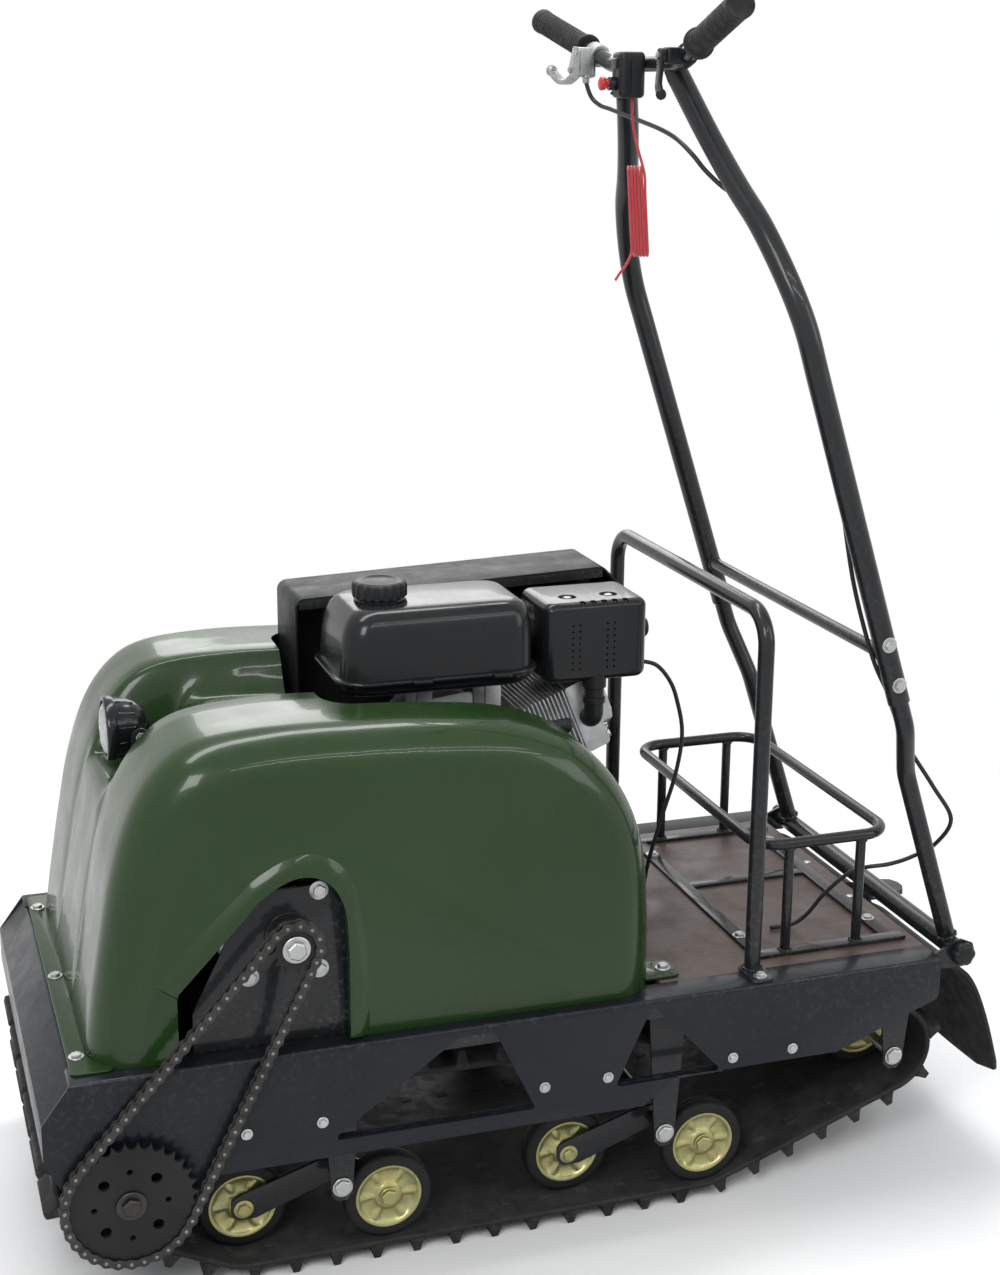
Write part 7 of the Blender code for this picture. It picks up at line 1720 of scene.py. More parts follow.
def pulley_pair(centre):
    slope = math.tan(math.radians(13))
    middle = PULLEY_NEAR + PULLEY_WIDTH / 2
    at_belt = BELT_WIDTH / 2 + SHAFT_GAP
    half = PULLEY_WIDTH / 2
    crank = (CRANK_X, CRANK_Z)
    for node, material, body, spot, bore, rim, hub, belt_radius in (
        (
            "drive_pulley", "steel", "crank", crank, CRANK_RADIUS, DRIVE_PULLEY_RADIUS, 0.022,
            IDLE_DRIVE_RADIUS,
        ),
        (
            "driven_pulley", "cast_alloy", "countershaft", centre, JACKSHAFT_RADIUS, DRIVEN_PULLEY_RADIUS,
            0.070, IDLE_DRIVEN_RADIUS,
        ),
    ):
        low = at_belt - (belt_radius - hub) * slope
        high = at_belt + (rim - belt_radius) * slope
        profile = [
            (-half, bore + SHAFT_GAP), (-half, hub + 0.004), (-half + 0.006, hub + 0.010),
            (-high - 0.004, rim - 0.002), (-high - 0.003, rim), (-high - 0.0005, rim), (-high, rim - 0.001),
            (-low, hub),
        ]
        shape = bmesh.new()
        add_turned(shape, [(reach, middle + level) for level, reach in mirrored(profile, 0.0)], spot, 72)
        build(node + "_cones", shape, material, body, node, sharp=25)
    loop = hull_of(((*crank, IDLE_DRIVE_RADIUS - BELT_DEPTH), (*centre, IDLE_DRIVEN_RADIUS - BELT_DEPTH)))
    lengths = loop_lengths(loop)
    shape = bmesh.new()
    outer = BELT_WIDTH / 2
    count = 300
    rings = []
    for index in range(count):
        (x, z), (out_x, out_z) = on_loop(loop, lengths, lengths[-1] * index / count)
        low = 0.0 if index % 2 else 0.0028
        ring = []
        for across, level in (
            (-1, low), (1, low), (1, BELT_DEPTH - 0.001), (0.94, BELT_DEPTH), (-0.94, BELT_DEPTH),
            (-1, BELT_DEPTH - 0.001),
        ):
            width = outer - (BELT_DEPTH - level) * slope
            ring.append((x + out_x * level, middle + across * width, z + out_z * level))
        rings.append(ring)
    add_loft(shape, rings, True)
    build("drive_belt_cogged", shape, "rubber", "chassis", "drive_belt", sharp=35)


def recoil():
    centre = (CRANK_X, CRANK_Z)
    inner = -BLOCK_NEAR - SEAT_GAP
    outer = RECOIL_OUTER
    shape = bmesh.new()
    profile = [
        (0.012, inner), (RECOIL_RADIUS, inner), (RECOIL_RADIUS + 0.0005, inner - 0.004),
        (RECOIL_RADIUS - 0.001, inner - 0.006), (RECOIL_RADIUS - 0.001, inner - 0.030),
        (RECOIL_RADIUS - 0.004, inner - 0.034), (0.067, inner - 0.035), (0.066, outer + 0.008),
        (0.062, outer + 0.003), (0.056, outer + 0.0005), (0.050, outer), (0.014, outer),
        (0.010, outer + 0.002), (0.004, outer + 0.002), (0.004, outer + 0.010),
    ]
    add_turned(shape, profile, centre, 72)
    body = solid(shape, "recoil_cover")
    tools = []
    slots = bmesh.new()
    for index in range(12):
        angle = math.tau * (index + 0.5) / 12
        turned_by = Matrix.Translation((CRANK_X, 0, CRANK_Z)) @ Matrix.Rotation(-angle, 4, "Y")
        outline = rounded([(0.026, -0.0045), (0.048, -0.0065), (0.048, 0.0065), (0.026, 0.0045)], 0.0025)
        rings = [[turned_by @ Vector((a, y, b)) for a, b in outline] for y in (outer - 0.010, outer + 0.0035)]
        add_loft(slots, rings)
    tools.append(solid(slots))
    side = bmesh.new()
    for index in range(20):
        angle = math.tau * index / 20
        turned_by = Matrix.Translation((CRANK_X, 0, CRANK_Z)) @ Matrix.Rotation(-angle, 4, "Y")
        outline = rounded(corners_of(inner - 0.026, inner - 0.010, -0.0045, 0.0045), 0.002)
        rings = [
            [turned_by @ Vector((reach, a, b)) for a, b in outline]
            for reach in (RECOIL_RADIUS - 0.004, RECOIL_RADIUS + 0.010)
        ]
        add_loft(side, rings)
    tools.append(solid(side))
    cut(body, *tools)
    dress(body, "guard_paint", "chassis", "recoil_housing", 0.0006, 30)
    shape = bmesh.new()
    guide = Vector((RECOIL_PULL_X, RECOIL_PULL_Y, RECOIL_PULL_Z))
    start = Vector((guide.x, guide.y, CRANK_Z + 0.020))
    length = (guide - start).length
    add_spindle(
        shape, start, guide,
        [
            (0, 0.0095), (0.002, 0.011), (length - 0.004, 0.011), (length - 0.001, 0.0095), (length, 0.007),
            (length - 0.006, 0.005),
        ],
        32,
    )
    add_padded(
        shape, (guide.x - 0.016, guide.y - 0.006, CRANK_Z + 0.010),
        (guide.x + 0.008, inner - 0.004, CRANK_Z + 0.042), 0.006, 0.004,
    )
    for x, z in ring_points(centre, 0.078, 4, 1 / 3):
        add_bolt(shape, (x, inner - 0.0335, z), (0, -1, 0), 0.0050, 0.0040)
    build("recoil_guide", shape, "matt_plastic")
    shape = bmesh.new()
    top = RECOIL_PULL_Z + SEAT_GAP
    spot = (RECOIL_PULL_X, RECOIL_PULL_Y)
    add_spindle(
        shape, (*spot, top), (*spot, top + 1),
        [(0, 0.0060), (0.002, 0.0070), (0.012, 0.0088), (0.020, 0.0085)], 28,
    )
    stations = [
        (0, 0.004), (0.0015, 0.0075), (0.004, 0.0098), (0.010, 0.0098), (0.020, 0.0086), (0.027, 0.0082),
        (0.034, 0.0092),
    ]
    stations = mirrored(stations, 0.068, 1)
    add_spindle(
        shape, (spot[0] - 0.034, spot[1], top + 0.024), (spot[0] + 0.034, spot[1], top + 0.024), stations, 32,
    )
    build("recoil_pull", shape, "matt_plastic", "starter_handle", "recoil_handle", sharp=50)


def tank_and_cap():
    rings = []
    for grow, height, corner, forward in (
        (-0.026, TANK_BOTTOM_Z, 0.016, 0.0), (-0.014, TANK_BOTTOM_Z + 0.002, 0.024, 0.0),
        (-0.006, TANK_BOTTOM_Z + 0.006, 0.030, 0.0), (-0.001, TANK_BOTTOM_Z + 0.013, 0.034, 0.0),
        (0.0, TANK_SEAM_Z - 0.0035, 0.036, 0.0), (0.0058, TANK_SEAM_Z - 0.0028, 0.040, 0.0),
        (0.0070, TANK_SEAM_Z - 0.0018, 0.041, 0.0), (0.0070, TANK_SEAM_Z - 0.0002, 0.041, 0.0),
        (0.0064, TANK_SEAM_Z, 0.041, 0.0), (0.0070, TANK_SEAM_Z + 0.0002, 0.041, 0.0),
        (0.0070, TANK_SEAM_Z + 0.0018, 0.041, 0.0), (0.0058, TANK_SEAM_Z + 0.0028, 0.040, 0.0),
        (0.0, TANK_SEAM_Z + 0.0036, 0.036, 0.0), (-0.0006, TANK_SEAM_Z + 0.012, 0.034, 0.0),
        (-0.0016, TANK_TOP_Z - 0.052, 0.034, 0.001), (-0.0032, TANK_TOP_Z - 0.034, 0.033, 0.002),
        (-0.0064, TANK_TOP_Z - 0.022, 0.031, 0.003), (-0.0100, TANK_TOP_Z - 0.013, 0.029, 0.004),
        (-0.0150, TANK_TOP_Z - 0.0065, 0.027, 0.005), (-0.0215, TANK_TOP_Z - 0.0026, 0.024, 0.005),
        (-0.0300, TANK_TOP_Z - 0.0007, 0.020, 0.005), (-0.0400, TANK_TOP_Z, 0.016, 0.005),
    ):
        centre = (TANK_CENTRE[0] + forward, TANK_CENTRE[1])
        rings.append(
            rounded_rectangle(centre, (TANK_SIZE[0] + 2 * grow, TANK_SIZE[1] + 2 * grow), corner, height, 12)
        )
    shape = bmesh.new()
    add_loft(shape, rings)
    add_spindle(
        shape, (*CAP_SPOT, TANK_TOP_Z - 0.010), (*CAP_SPOT, 2.0),
        [
            (0, CAP_RADIUS - 0.002), (0.009, CAP_RADIUS - 0.002), (0.0105, CAP_RADIUS - 0.004),
            (0.0130, CAP_RADIUS - 0.005),
        ],
        56,
    )
    for x in (TANK_CENTRE[0] - 0.030, TANK_CENTRE[0] + 0.080):
        for side in SIDES:
            y = TANK_CENTRE[1] + side * (TANK_SIZE[1] / 2 + 0.0045)
            low, high = (
                x - 0.014, y - 0.008, TANK_SEAM_Z - 0.0030,
            ), (x + 0.014, y + 0.008, TANK_SEAM_Z + 0.0030)
            add_padded(shape, low, high, 0.006, 0.001, 5, 2)
    build("fuel_tank_shell", shape, "plastic", "chassis", "fuel_tank", sharp=60)
    base = TANK_TOP_Z + 0.003 + SEAT_GAP
    rings = []
    for level, shrink, knurl in (
        (0.0, 0.0016, 0.3), (0.0012, 0.0002, 1.0), (0.0040, 0.0, 1.0), (0.0160, 0.0, 1.0),
        (0.0178, 0.0010, 0.6), (0.0195, 0.0034, 0.15), (0.0210, 0.0075, 0.0), (0.0218, 0.0125, 0.0),
        (0.0205, 0.0145, 0.0), (0.0205, 0.0300, 0.0),
    ):
        ring = []
        for index in range(144):
            angle = math.tau * index / 144
            lobe = max(0.0, math.cos(angle * 18)) ** 0.6
            reach = CAP_RADIUS - shrink - 0.0024 * knurl * (1 - lobe)
            ring.append((*polar(CAP_SPOT, reach, angle), base + level))
        rings.append(ring)
    shape = bmesh.new()
    add_loft(shape, rings)
    build("fuel_cap_knurled", shape, "matt_plastic", "fuel_cap_body", "fuel_cap", sharp=50)


def cleaner():
    low = (CLEANER_FRONT, CLEANER_NEAR, CLEANER_BOTTOM)
    high = (CLEANER_REAR, CLEANER_FAR, CLEANER_TOP)
    shape = bmesh.new()
    add_padded(shape, low, high, 0.016, 0.012, 8, 6)
    body = solid(shape, "air_cleaner_cover")
    tools = bmesh.new()
    wells = [(low[0] + 0.045, low[1] + 0.040), (high[0] - 0.045, low[1] + 0.040)]
    for x, y in wells:
        add_spindle(
            tools, (x, y, high[2] - 0.005), (x, y, 2.0),
            [(0, 0.0105), (0.001, 0.0115), (0.004, 0.0120), (0.006, 0.0135), (0.010, 0.0140)], 36,
        )
    for index in range(5):
        x = low[0] + 0.052 + index * 0.0155
        add_padded(
            tools, (x, low[1] + 0.004, high[2] - 0.0045), (x + 0.0075, low[1] + 0.013, high[2] + 0.010),
            0.0025, 0.001, 4, 1,
        )
    for column in (low[0] + 0.040, low[0] + 0.050, high[0] - 0.060, high[0] - 0.050):
        for row in range(8):
            add_rod(
                tools, (column, low[2] + 0.020 + row * 0.0088), 0.0016, low[1] - 0.002, low[1] + 0.0035, 10,
                "Y", 0.0,
            )
    for row in range(5):
        add_padded(
            tools, (high[0] - 0.004, low[1] + 0.028 + row * 0.014, low[2] + 0.022),
            (high[0] + 0.004, low[1] + 0.034 + row * 0.014, low[2] + 0.062), 0.002, 0.001, 4, 1,
        )
    cut(body, solid(tools))
    dress(body, "plastic", "chassis", "air_cleaner", sharp=35)
    shape = bmesh.new()
    knob = ((high[0] - SINK), (low[1] + high[1]) / 2, (low[2] + high[2]) / 2)
    end = (knob[0] + 1, knob[1], knob[2])
    add_spindle(
        shape, knob, end,
        [
            (0, 0.006), (0.007, 0.006), (0.0072, 0.013), (0.009, 0.0142), (0.018, 0.0142), (0.0205, 0.0120),
            (0.0212, 0.0080),
        ],
        36,
    )
    x, y = ELBOW_SPOT
    path = rounded_path(
        [(x, y, CLEANER_BOTTOM + 0.014), (x, y, ELBOW_LOW), (x, -0.0553, ELBOW_LOW)], 0.015, 8,
    )
    add_sweep(shape, path, 0.0135, 32)
    add_rod(shape, (x, y), 0.0165, CLEANER_BOTTOM - 0.012, CLEANER_BOTTOM + 0.013, 36, "Z", 0.0012)
    add_rod(shape, (x, y), 0.0158, CLEANER_BOTTOM - 0.034, CLEANER_BOTTOM - 0.026, 36, "Z", 0.0008)
    build("air_cleaner_pipe", shape, "matt_plastic")
    shape = bmesh.new()
    for x, y in wells:
        add_bolt(shape, (x, y, high[2] - 0.0048), (0, 0, 1), 0.0058, 0.0045)
    build_bolts("air_cleaner_nuts", shape)


def muffler_and_guard():
    low = Vector((MUFFLER_FRONT, MUFFLER_NEAR, MUFFLER_BOTTOM))
    high = low + Vector((MUFFLER_LENGTH, MUFFLER_WIDTH, MUFFLER_HEIGHT))
    shape = bmesh.new()
    add_padded(shape, low, high, MUFFLER_CORNER, 0.010, 10, 5)
    for level in (low.z + 0.022, high.z - 0.024):
        add_padded(
            shape, (low.x - 0.0012, low.y - 0.0012, level), (high.x + 0.0012, high.y + 0.0012, level + 0.005),
            MUFFLER_CORNER, 0.0015, 10, 3,
        )
    add_padded(
        shape, (low.x + 0.051, HEAD_FAR + SEAT_GAP, low.z - 0.036),
        (low.x + 0.075, low.y + 0.030, low.z + 0.006), 0.009, 0.003,
    )
    outlet = Vector((high.x - 0.015, low.y + MUFFLER_WIDTH / 2, low.z + 0.045))
    add_spindle(
        shape, outlet, outlet + Vector((1, 0, 0)),
        [(0, 0.010), (0.0235, 0.010), (0.024, 0.0095), (0.024, 0.0082), (0.010, 0.0082)], 32,
    )
    build("muffler_can", shape, "dark_steel", "chassis", "muffler", 0.0003, 35)
    thick = GUARD_SHEET
    front, near, bottom = GUARD_FRONT, GUARD_NEAR, GUARD_BOTTOM
    rear, far, top = GUARD_REAR, GUARD_FAR, GUARD_TOP
    outline = rounded(
        [
            (front, GUARD_NOSE_Z), (front, top - GUARD_FALL), (rear - GUARD_CUT, top),
            (rear, top - GUARD_CUT), (rear, bottom + 0.050), (0.110, bottom), (-0.110, bottom),
        ],
        0.014, 6, (0,),
    )
    shell = prism_solid(outline, near, far)
    inside = rounded(
        [
            (front + thick, GUARD_NOSE_Z - 0.100), (front + thick, top - GUARD_FALL - thick),
            (rear - GUARD_CUT - 0.001, top - thick), (rear - thick, top - GUARD_CUT - 0.001),
            (rear - thick, bottom - 0.100),
        ],
        0.011, 6, (0, 4),
    )
    cut(shell, prism_solid(inside, near - 0.010, far - thick))
    low_cut = [
        (front - 0.010, GUARD_NOSE_Z), (front - 0.010, bottom - 0.200), (rear + 0.010, bottom - 0.200),
        (rear + 0.010, top - 0.070), (rear - 0.010, top - 0.070), (rear - 0.010, GUARD_NOSE_Z),
    ]
    cut(shell, prism_solid(low_cut, near - 0.010, far - thick - 0.0005))
    slots = bmesh.new()
    for column in range(9):
        for row in range(3):
            add_rod(
                slots, (front + 0.130 + column * 0.022, top - 0.070 - row * 0.022), 0.0065, far - 0.010,
                far + 0.010, 18, "Y", 0.0,
            )
    cut(shell, solid(slots))
    shell.name = "belt_guard_shell"
    dress(shell, "guard_paint", "chassis", "belt_guard", 0.0006, 35, limit=45)
    shape, bolts = bmesh.new(), bmesh.new()
    slope = GUARD_FALL / (rear - GUARD_CUT - front)
    brow = [
        (front + 0.006, top - GUARD_FALL - 0.016), (rear - GUARD_CUT, top - 0.016),
        (rear - GUARD_CUT, top - 0.002), (front + 0.006, top - GUARD_FALL - 0.002 + 0.006 * slope),
    ]
    add_prism(shape, brow, near, near + thick)
    for x, foot, head, bolt in (
        (-0.240, CROSS_TOP + SEAT_GAP, GUARD_NOSE_Z + 0.020, GUARD_NOSE_Z),
        (0.204, FOLD_HEIGHT + SEAT_GAP, bottom + 0.080, bottom + 0.066),
    ):
        add_box(shape, (x, far - 2 * thick, foot), (x + 0.024, far - thick, head))
        add_box(shape, (x, far - 2 * thick, foot), (x + 0.024, far + 0.022, foot + thick))
        add_bolt(bolts, (x + 0.012, far + 0.010, foot + thick), (0, 0, 1), 0.0058, 0.0042)
        add_bolt(bolts, (x + 0.012, far, bolt), (0, 1, 0), 0.0052, 0.0040)
    build("belt_guard_brackets", shape, "guard_paint", bevel=0.0006)
    build_bolts("belt_guard_bolts", bolts)


def lamp():
    front = LAMP_X - LAMP_DEPTH / 2
    shape = bmesh.new()
    outer = [
        (0.0135, 0.003), (0.0125, LAMP_RADIUS - 0.010), (0.0100, LAMP_RADIUS - 0.0070),
        (0.0006, LAMP_RADIUS - 0.0055), (0.0, LAMP_RADIUS - 0.0040), (0.0010, LAMP_RADIUS - 0.0010),
        (0.0030, LAMP_RADIUS), (0.0110, LAMP_RADIUS), (0.0130, LAMP_RADIUS - 0.0010),
        (0.0150, LAMP_RADIUS - 0.0030), (0.0300, LAMP_RADIUS - 0.0050), (0.0400, LAMP_RADIUS - 0.0085),
        (0.0480, LAMP_RADIUS - 0.0140), (0.0545, LAMP_RADIUS - 0.0220), (0.0590, 0.0120),
        (LAMP_DEPTH, 0.0060),
    ]
    add_spindle(shape, (front, 0, LAMP_Z), (front + 1, 0, LAMP_Z), outer, 56)
    for side in SIDES:
        add_rod(shape, (LAMP_PIVOT_X, LAMP_Z), 0.0070, *sided(side, 0.030, LAMP_RADIUS + 0.0036), 28)
    near, far = (ring_points((0.0, LAMP_Z), LAMP_RADIUS - inset, 12, 0.5) for inset in (0.0035, 0.0075))
    for start, end in zip(near, far):
        add_sweep(shape, [(front + 0.016, *start), (front + 0.038, *end)], 0.0016, 8)
    build("headlight_bowl", shape, "plastic", "headlight", "headlight_housing", sharp=40)
    shape = bmesh.new()
    reach = LAMP_RADIUS + 0.011
    add_rod(shape, (LAMP_PIVOT_X, LAMP_Z), 0.004, -reach, reach, 20)
    for side in SIDES:
        add_bolt(
            shape, (LAMP_PIVOT_X, side * (LAMP_RADIUS + 0.0076), LAMP_Z), (0, side, 0), 0.0072, 0.0034, False,
        )
    build_bolts("headlight_pin", shape, "headlight")
    shape = bmesh.new()
    radius = LAMP_RADIUS - 0.0094
    dish = [
        (0.0045, radius), (0.0040, radius - 0.0005), (0.0058, radius - 0.006), (0.0082, radius - 0.014),
        (0.0100, radius - 0.022), (0.0104, 0.004), (0.0112, 0.004), (0.0112, radius),
    ]
    add_spindle(shape, (front, 0, LAMP_Z), (front + 1, 0, LAMP_Z), dish, 56)
    add_spindle(
        shape, (front + 0.0105, 0, LAMP_Z), (front - 1, 0, LAMP_Z),
        [(0, 0.0050), (0.004, 0.0050), (0.0065, 0.0035), (0.0075, 0.0015)], 24,
    )
    build("headlight_reflector", shape, "reflector", "headlight", sharp=50)
    shape = bmesh.new()
    radius = LAMP_RADIUS - 0.009
    rings = []
    for distance, reach in (
        (0.0030, radius), (0.0010, radius - 0.0012), (-0.0008, radius - 0.0050), (-0.0024, radius - 0.0110),
        (-0.0034, radius - 0.0180), (-0.0040, radius - 0.0270), (-0.0041, 0.0020),
    ):
        ring = []
        for index in range(96):
            angle = math.tau * index / 96
            y, z = reach * math.cos(angle), reach * math.sin(angle)
            rib = 0.00055 * math.sin(y / 0.0009) * min(1.0, (radius - reach) / 0.004)
            ring.append((front + distance + rib, y, LAMP_Z + z))
        rings.append(ring)
    back = [(front + 0.0040, y, z) for _, y, z in rings[0]]
    add_loft(shape, [back] + rings)
    build("headlight_glass", shape, "clear_lens", "headlight", "headlight_lens", sharp=60)


engine()
crank_line()
recoil()
tank_and_cap()
cleaner()
muffler_and_guard()
lamp()


# The running gear
PINS, JACK_SPOT, TOOTH_PHASES = chain_layout()
LARGE_HUB_END = -BODY_HALF_WIDTH - BEARING_PROUD - SEAT_GAP


def track():
    wheel = WHEEL_RADIUS + BELT_SLACK
    loop = hull_of(
        (
            (DRIVE_AXLE_X, DRIVE_AXLE_Z, DRIVE_RADIUS + BELT_SLACK),
            (BOGIE_PIVOTS_X[0] - BOGIE_LEAD, WHEEL_Z, wheel),
            (BOGIE_PIVOTS_X[1] + BOGIE_TRAIL, WHEEL_Z, wheel), (IDLER_X, IDLER_Z, wheel),
        )
    )
    lengths = loop_lengths(loop)
    pitch = lengths[-1] / LUG_COUNT
    start = 0.0
    for index, point in enumerate(loop):
        after = loop[(index + 1) % len(loop)]
        if point[0] < 0 <= after[0] and point[1] < WHEEL_Z:
            start = lengths[index] - point[0]
    shape = bmesh.new()
    half = TRACK_HALF_WIDTH
    corner = 0.0025
    section = [
        (-half + corner, 0.0), (half - corner, 0.0), (half, corner), (half, BELT_THICKNESS - corner),
        (half - corner, BELT_THICKNESS), (-half + corner, BELT_THICKNESS), (-half, BELT_THICKNESS - corner),
        (-half, corner),
    ]
    count = LUG_COUNT * 8
    rings = []
    for index in range(count):
        (x, z), (out_x, out_z) = on_loop(loop, lengths, start + lengths[-1] * index / count)
        rings.append([(x + out_x * level, y, z + out_z * level) for y, level in section])
    add_loft(shape, rings, True)
    spans = ((-half, -0.158), (-0.152, -0.052), (-0.046, 0.046), (0.052, 0.152), (0.158, half))
    tip = BELT_THICKNESS + LUG_HEIGHT
    lug_levels = (
        (BELT_THICKNESS - 0.001, LUG_BASE / 2, 0.0), (BELT_THICKNESS + 0.003, LUG_BASE / 2 - 0.002, 0.001),
        (tip - 0.003, LUG_TIP / 2 + 0.0006, 0.004), (tip - 0.0006, LUG_TIP / 2 - 0.0004, 0.005),
        (tip, LUG_TIP / 2 - 0.0016, 0.0065),
    )
    for lug in range(LUG_COUNT):
        spot, normal = on_loop(loop, lengths, start + lug * pitch)
        middle, out = Vector((spot[0], 0, spot[1])), Vector((normal[0], 0, normal[1]))
        along, across = Vector((-out.z, 0, out.x)), Vector((0, 1, 0))
        for low, high in spans:
            rings = []
            for level, reach, inset in lug_levels:
                corners = corners_of(-reach, reach, low + inset, high - inset)
                rings.append([middle + along * a + across * b + out * level for a, b in corners])
            add_loft(shape, rings)
        for y in (-0.205, -0.110, 0.110, 0.205):
            centre = middle + along * pitch / 2 + across * y
            rings = []
            for level, shrink in ((0.0005, 0.0), (-0.0004, 0.0), (-0.0010, 0.0015)):
                long, wide = 0.008 - shrink, 0.011 - shrink
                corners = corners_of(-long, long, -wide, wide)
                rings.append([centre + along * a + across * b + out * level for a, b in corners])
            add_loft(shape, rings)
    build("track_rubber", shape, "rubber", "chassis", "track_belt", 0.0008, 32)


def wheel(name, x, y, z, body):
    half = WHEEL_WIDTH / 2
    rim = WHEEL_RADIUS - 0.015
    tyre = [
        (-half + 0.003, rim - 0.0006), (-half, rim + 0.0010), (-half, WHEEL_RADIUS - 0.0070),
        (-half + 0.0010, WHEEL_RADIUS - 0.0030), (-half + 0.0032, WHEEL_RADIUS - 0.0008),
        (-half + 0.0065, WHEEL_RADIUS), (-0.0020, WHEEL_RADIUS), (-0.0008, WHEEL_RADIUS - 0.0012),
    ]
    shape = bmesh.new()
    add_turned(shape, [(reach, y + level) for level, reach in mirrored(tyre, 0.0)], (x, z), 64)
    build(name + "_tyre", shape, "tyre", body, name, sharp=40)
    shape = bmesh.new()
    sides = 96
    bore = STUB_RADIUS + SHAFT_GAP
    face = half - 0.0005
    stations = [
        (rim, 0.0), (rim - 0.0030, 0.0), (rim - 0.0045, -0.0012), (rim - 0.0060, -0.0040), (0.0340, -0.0058),
        (0.0290, -0.0064), (0.0240, -0.0060), (0.0200, -0.0046), (0.0180, -0.0018), (0.0165, -0.0006),
        (bore, -0.0006),
    ]
    loops = []
    for hand in (1, -1):
        for reach, depth in stations[::hand]:
            ring = []
            for index in range(sides):
                angle = math.tau * index / sides
                lift = 0.0
                if 0.019 < reach < rim - 0.004:
                    spoke = max(0.0, math.cos(angle * 6)) ** 2
                    lift = 0.0042 * spoke * math.sin(math.pi * (reach - 0.018) / (rim - 0.022))
                ring.append(spot_on("Y", *polar((x, z), reach, angle), y + hand * (face + depth + lift)))
            loops.append(ring)
    add_loft(shape, loops, True)
    build(name + "_hub", shape, "zinc", body, sharp=50)


def wheels():
    seat = ARM_THICKNESS / 2 + SEAT_GAP + WHEEL_WIDTH / 2
    for pivot, row in zip(BOGIE_PIVOTS_X, ("front", "rear")):
        for side, hand in HANDS:
            for place, x, y in (
                ("inner", pivot - BOGIE_LEAD, ARM_OFFSET - seat),
                ("outer", pivot + BOGIE_TRAIL, ARM_OFFSET + seat),
            ):
                name = f"wheel_{row}_{place}_{hand}"
                wheel("road_" + name, x, side * y, WHEEL_Z, name)
    for side, hand in HANDS:
        wheel(f"idler_wheel_{hand}", IDLER_X, side * IDLER_OFFSET, IDLER_Z, f"idler_{hand}")


def bogie_pair(pivot, node, body):
    lead, trail = pivot - BOGIE_LEAD, pivot + BOGIE_TRAIL
    half = ARM_HALF_HEIGHT
    tip = HANGER_OFFSET + HANGER_THICKNESS / 2 + SEAT_GAP
    near, far = ARM_OFFSET - ARM_THICKNESS / 2, ARM_OFFSET + ARM_THICKNESS / 2
    keep = WHEEL_WIDTH + 2 * SEAT_GAP
    outline = [
        (lead - half, WHEEL_Z - half), (lead - half, WHEEL_Z + half), (pivot - half, BOGIE_PIVOT_Z + half),
        (pivot + half, BOGIE_PIVOT_Z + half), (trail + half, WHEEL_Z + half), (trail + half, WHEEL_Z - half),
        (trail - half, WHEEL_Z - half), (pivot, BOGIE_PIVOT_Z - half), (lead + half, WHEEL_Z - half),
    ]
    shape = bmesh.new()
    add_rod(shape, (pivot, BOGIE_PIVOT_Z), STUB_RADIUS + 0.006, -ARM_OFFSET, ARM_OFFSET, 36)
    add_rod(shape, (pivot, BOGIE_PIVOT_Z), STUB_RADIUS, -tip - SINK, tip + SINK, 28)
    for side in SIDES:
        add_prism(shape, rounded(outline, 0.0135, 6), *sided(side, near, far))
        inner, outer = side * near, side * far
        add_bead(shape, (pivot, inner, BOGIE_PIVOT_Z), (0, 1, 0), STUB_RADIUS + 0.0065, 0.0022)
        add_rod(shape, (lead, WHEEL_Z), STUB_RADIUS, inner + side * SINK, inner - side * (keep + SINK), 28)
        add_rod(shape, (trail, WHEEL_Z), STUB_RADIUS, outer - side * SINK, outer + side * (keep + SINK), 28)
    build(node + "_arms", shape, "black_paint", body, node, 0.0007, 35)
    shape = bmesh.new()
    for side in SIDES:
        add_nut(shape, (pivot, side * tip, BOGIE_PIVOT_Z), side)
    build_bolts(node + "_pivot_nuts", shape, body)
    shape = bmesh.new()
    for side in SIDES:
        add_nut(shape, (lead, side * (near - keep), WHEEL_Z), -side)
        add_nut(shape, (trail, side * (far + keep), WHEEL_Z), side)
        add_bolt(shape, (lead, side * far, WHEEL_Z), (0, side, 0), 0.0090, 0.0060)
    build(node + "_nuts", shape, "zinc", body, sharp=30)


def add_stack(shape, spot, out, parts):
    """Spindles on one line: how far out each starts, its stations and its sides."""
    spot = Vector(spot)
    for distance, stations, sides in parts:
        add_spindle(shape, spot + out * distance, spot + out, stations, sides)


def add_nut(shape, spot, side):
    """A washer and a domed nut at an axle's end."""
    add_stack(
        shape, spot, Vector((0, side, 0)),
        (
            (0, [(0, 0.0130), (0.0008, 0.0135), (0.0018, 0.0135), (0.0022, 0.0130)], 32),
            (0.0020, [(0, 0.0105), (0.0010, 0.0115), (0.0034, 0.0115), (0.0042, 0.0100)], 6),
            (0.0038, [(0, 0.0068), (0.0016, 0.0066), (0.0022, 0.0056)], 24),
        ),
    )


def idler_axle():
    end = HANGER_OFFSET + HANGER_THICKNESS / 2
    shape = bmesh.new()
    add_rod(shape, (IDLER_X, IDLER_Z), STUB_RADIUS, -end - 0.006, end + 0.006, 28)
    for side in SIDES:
        inner = IDLER_OFFSET - WHEEL_WIDTH / 2 - SEAT_GAP
        outer = IDLER_OFFSET + WHEEL_WIDTH / 2 + SEAT_GAP
        add_rod(shape, (IDLER_X, IDLER_Z), 0.013, side * (inner - 0.006), side * inner, 36)
        add_rod(shape, (IDLER_X, IDLER_Z), 0.013, side * outer, side * (outer + 0.006), 36)
    build("idler_axle_bar", shape, "steel", "chassis", "idler_shaft", sharp=35)
    shape = bmesh.new()
    for side in SIDES:
        add_nut(shape, (IDLER_X, side * (end + SEAT_GAP), IDLER_Z), side)
    build_bolts("idler_nuts", shape)


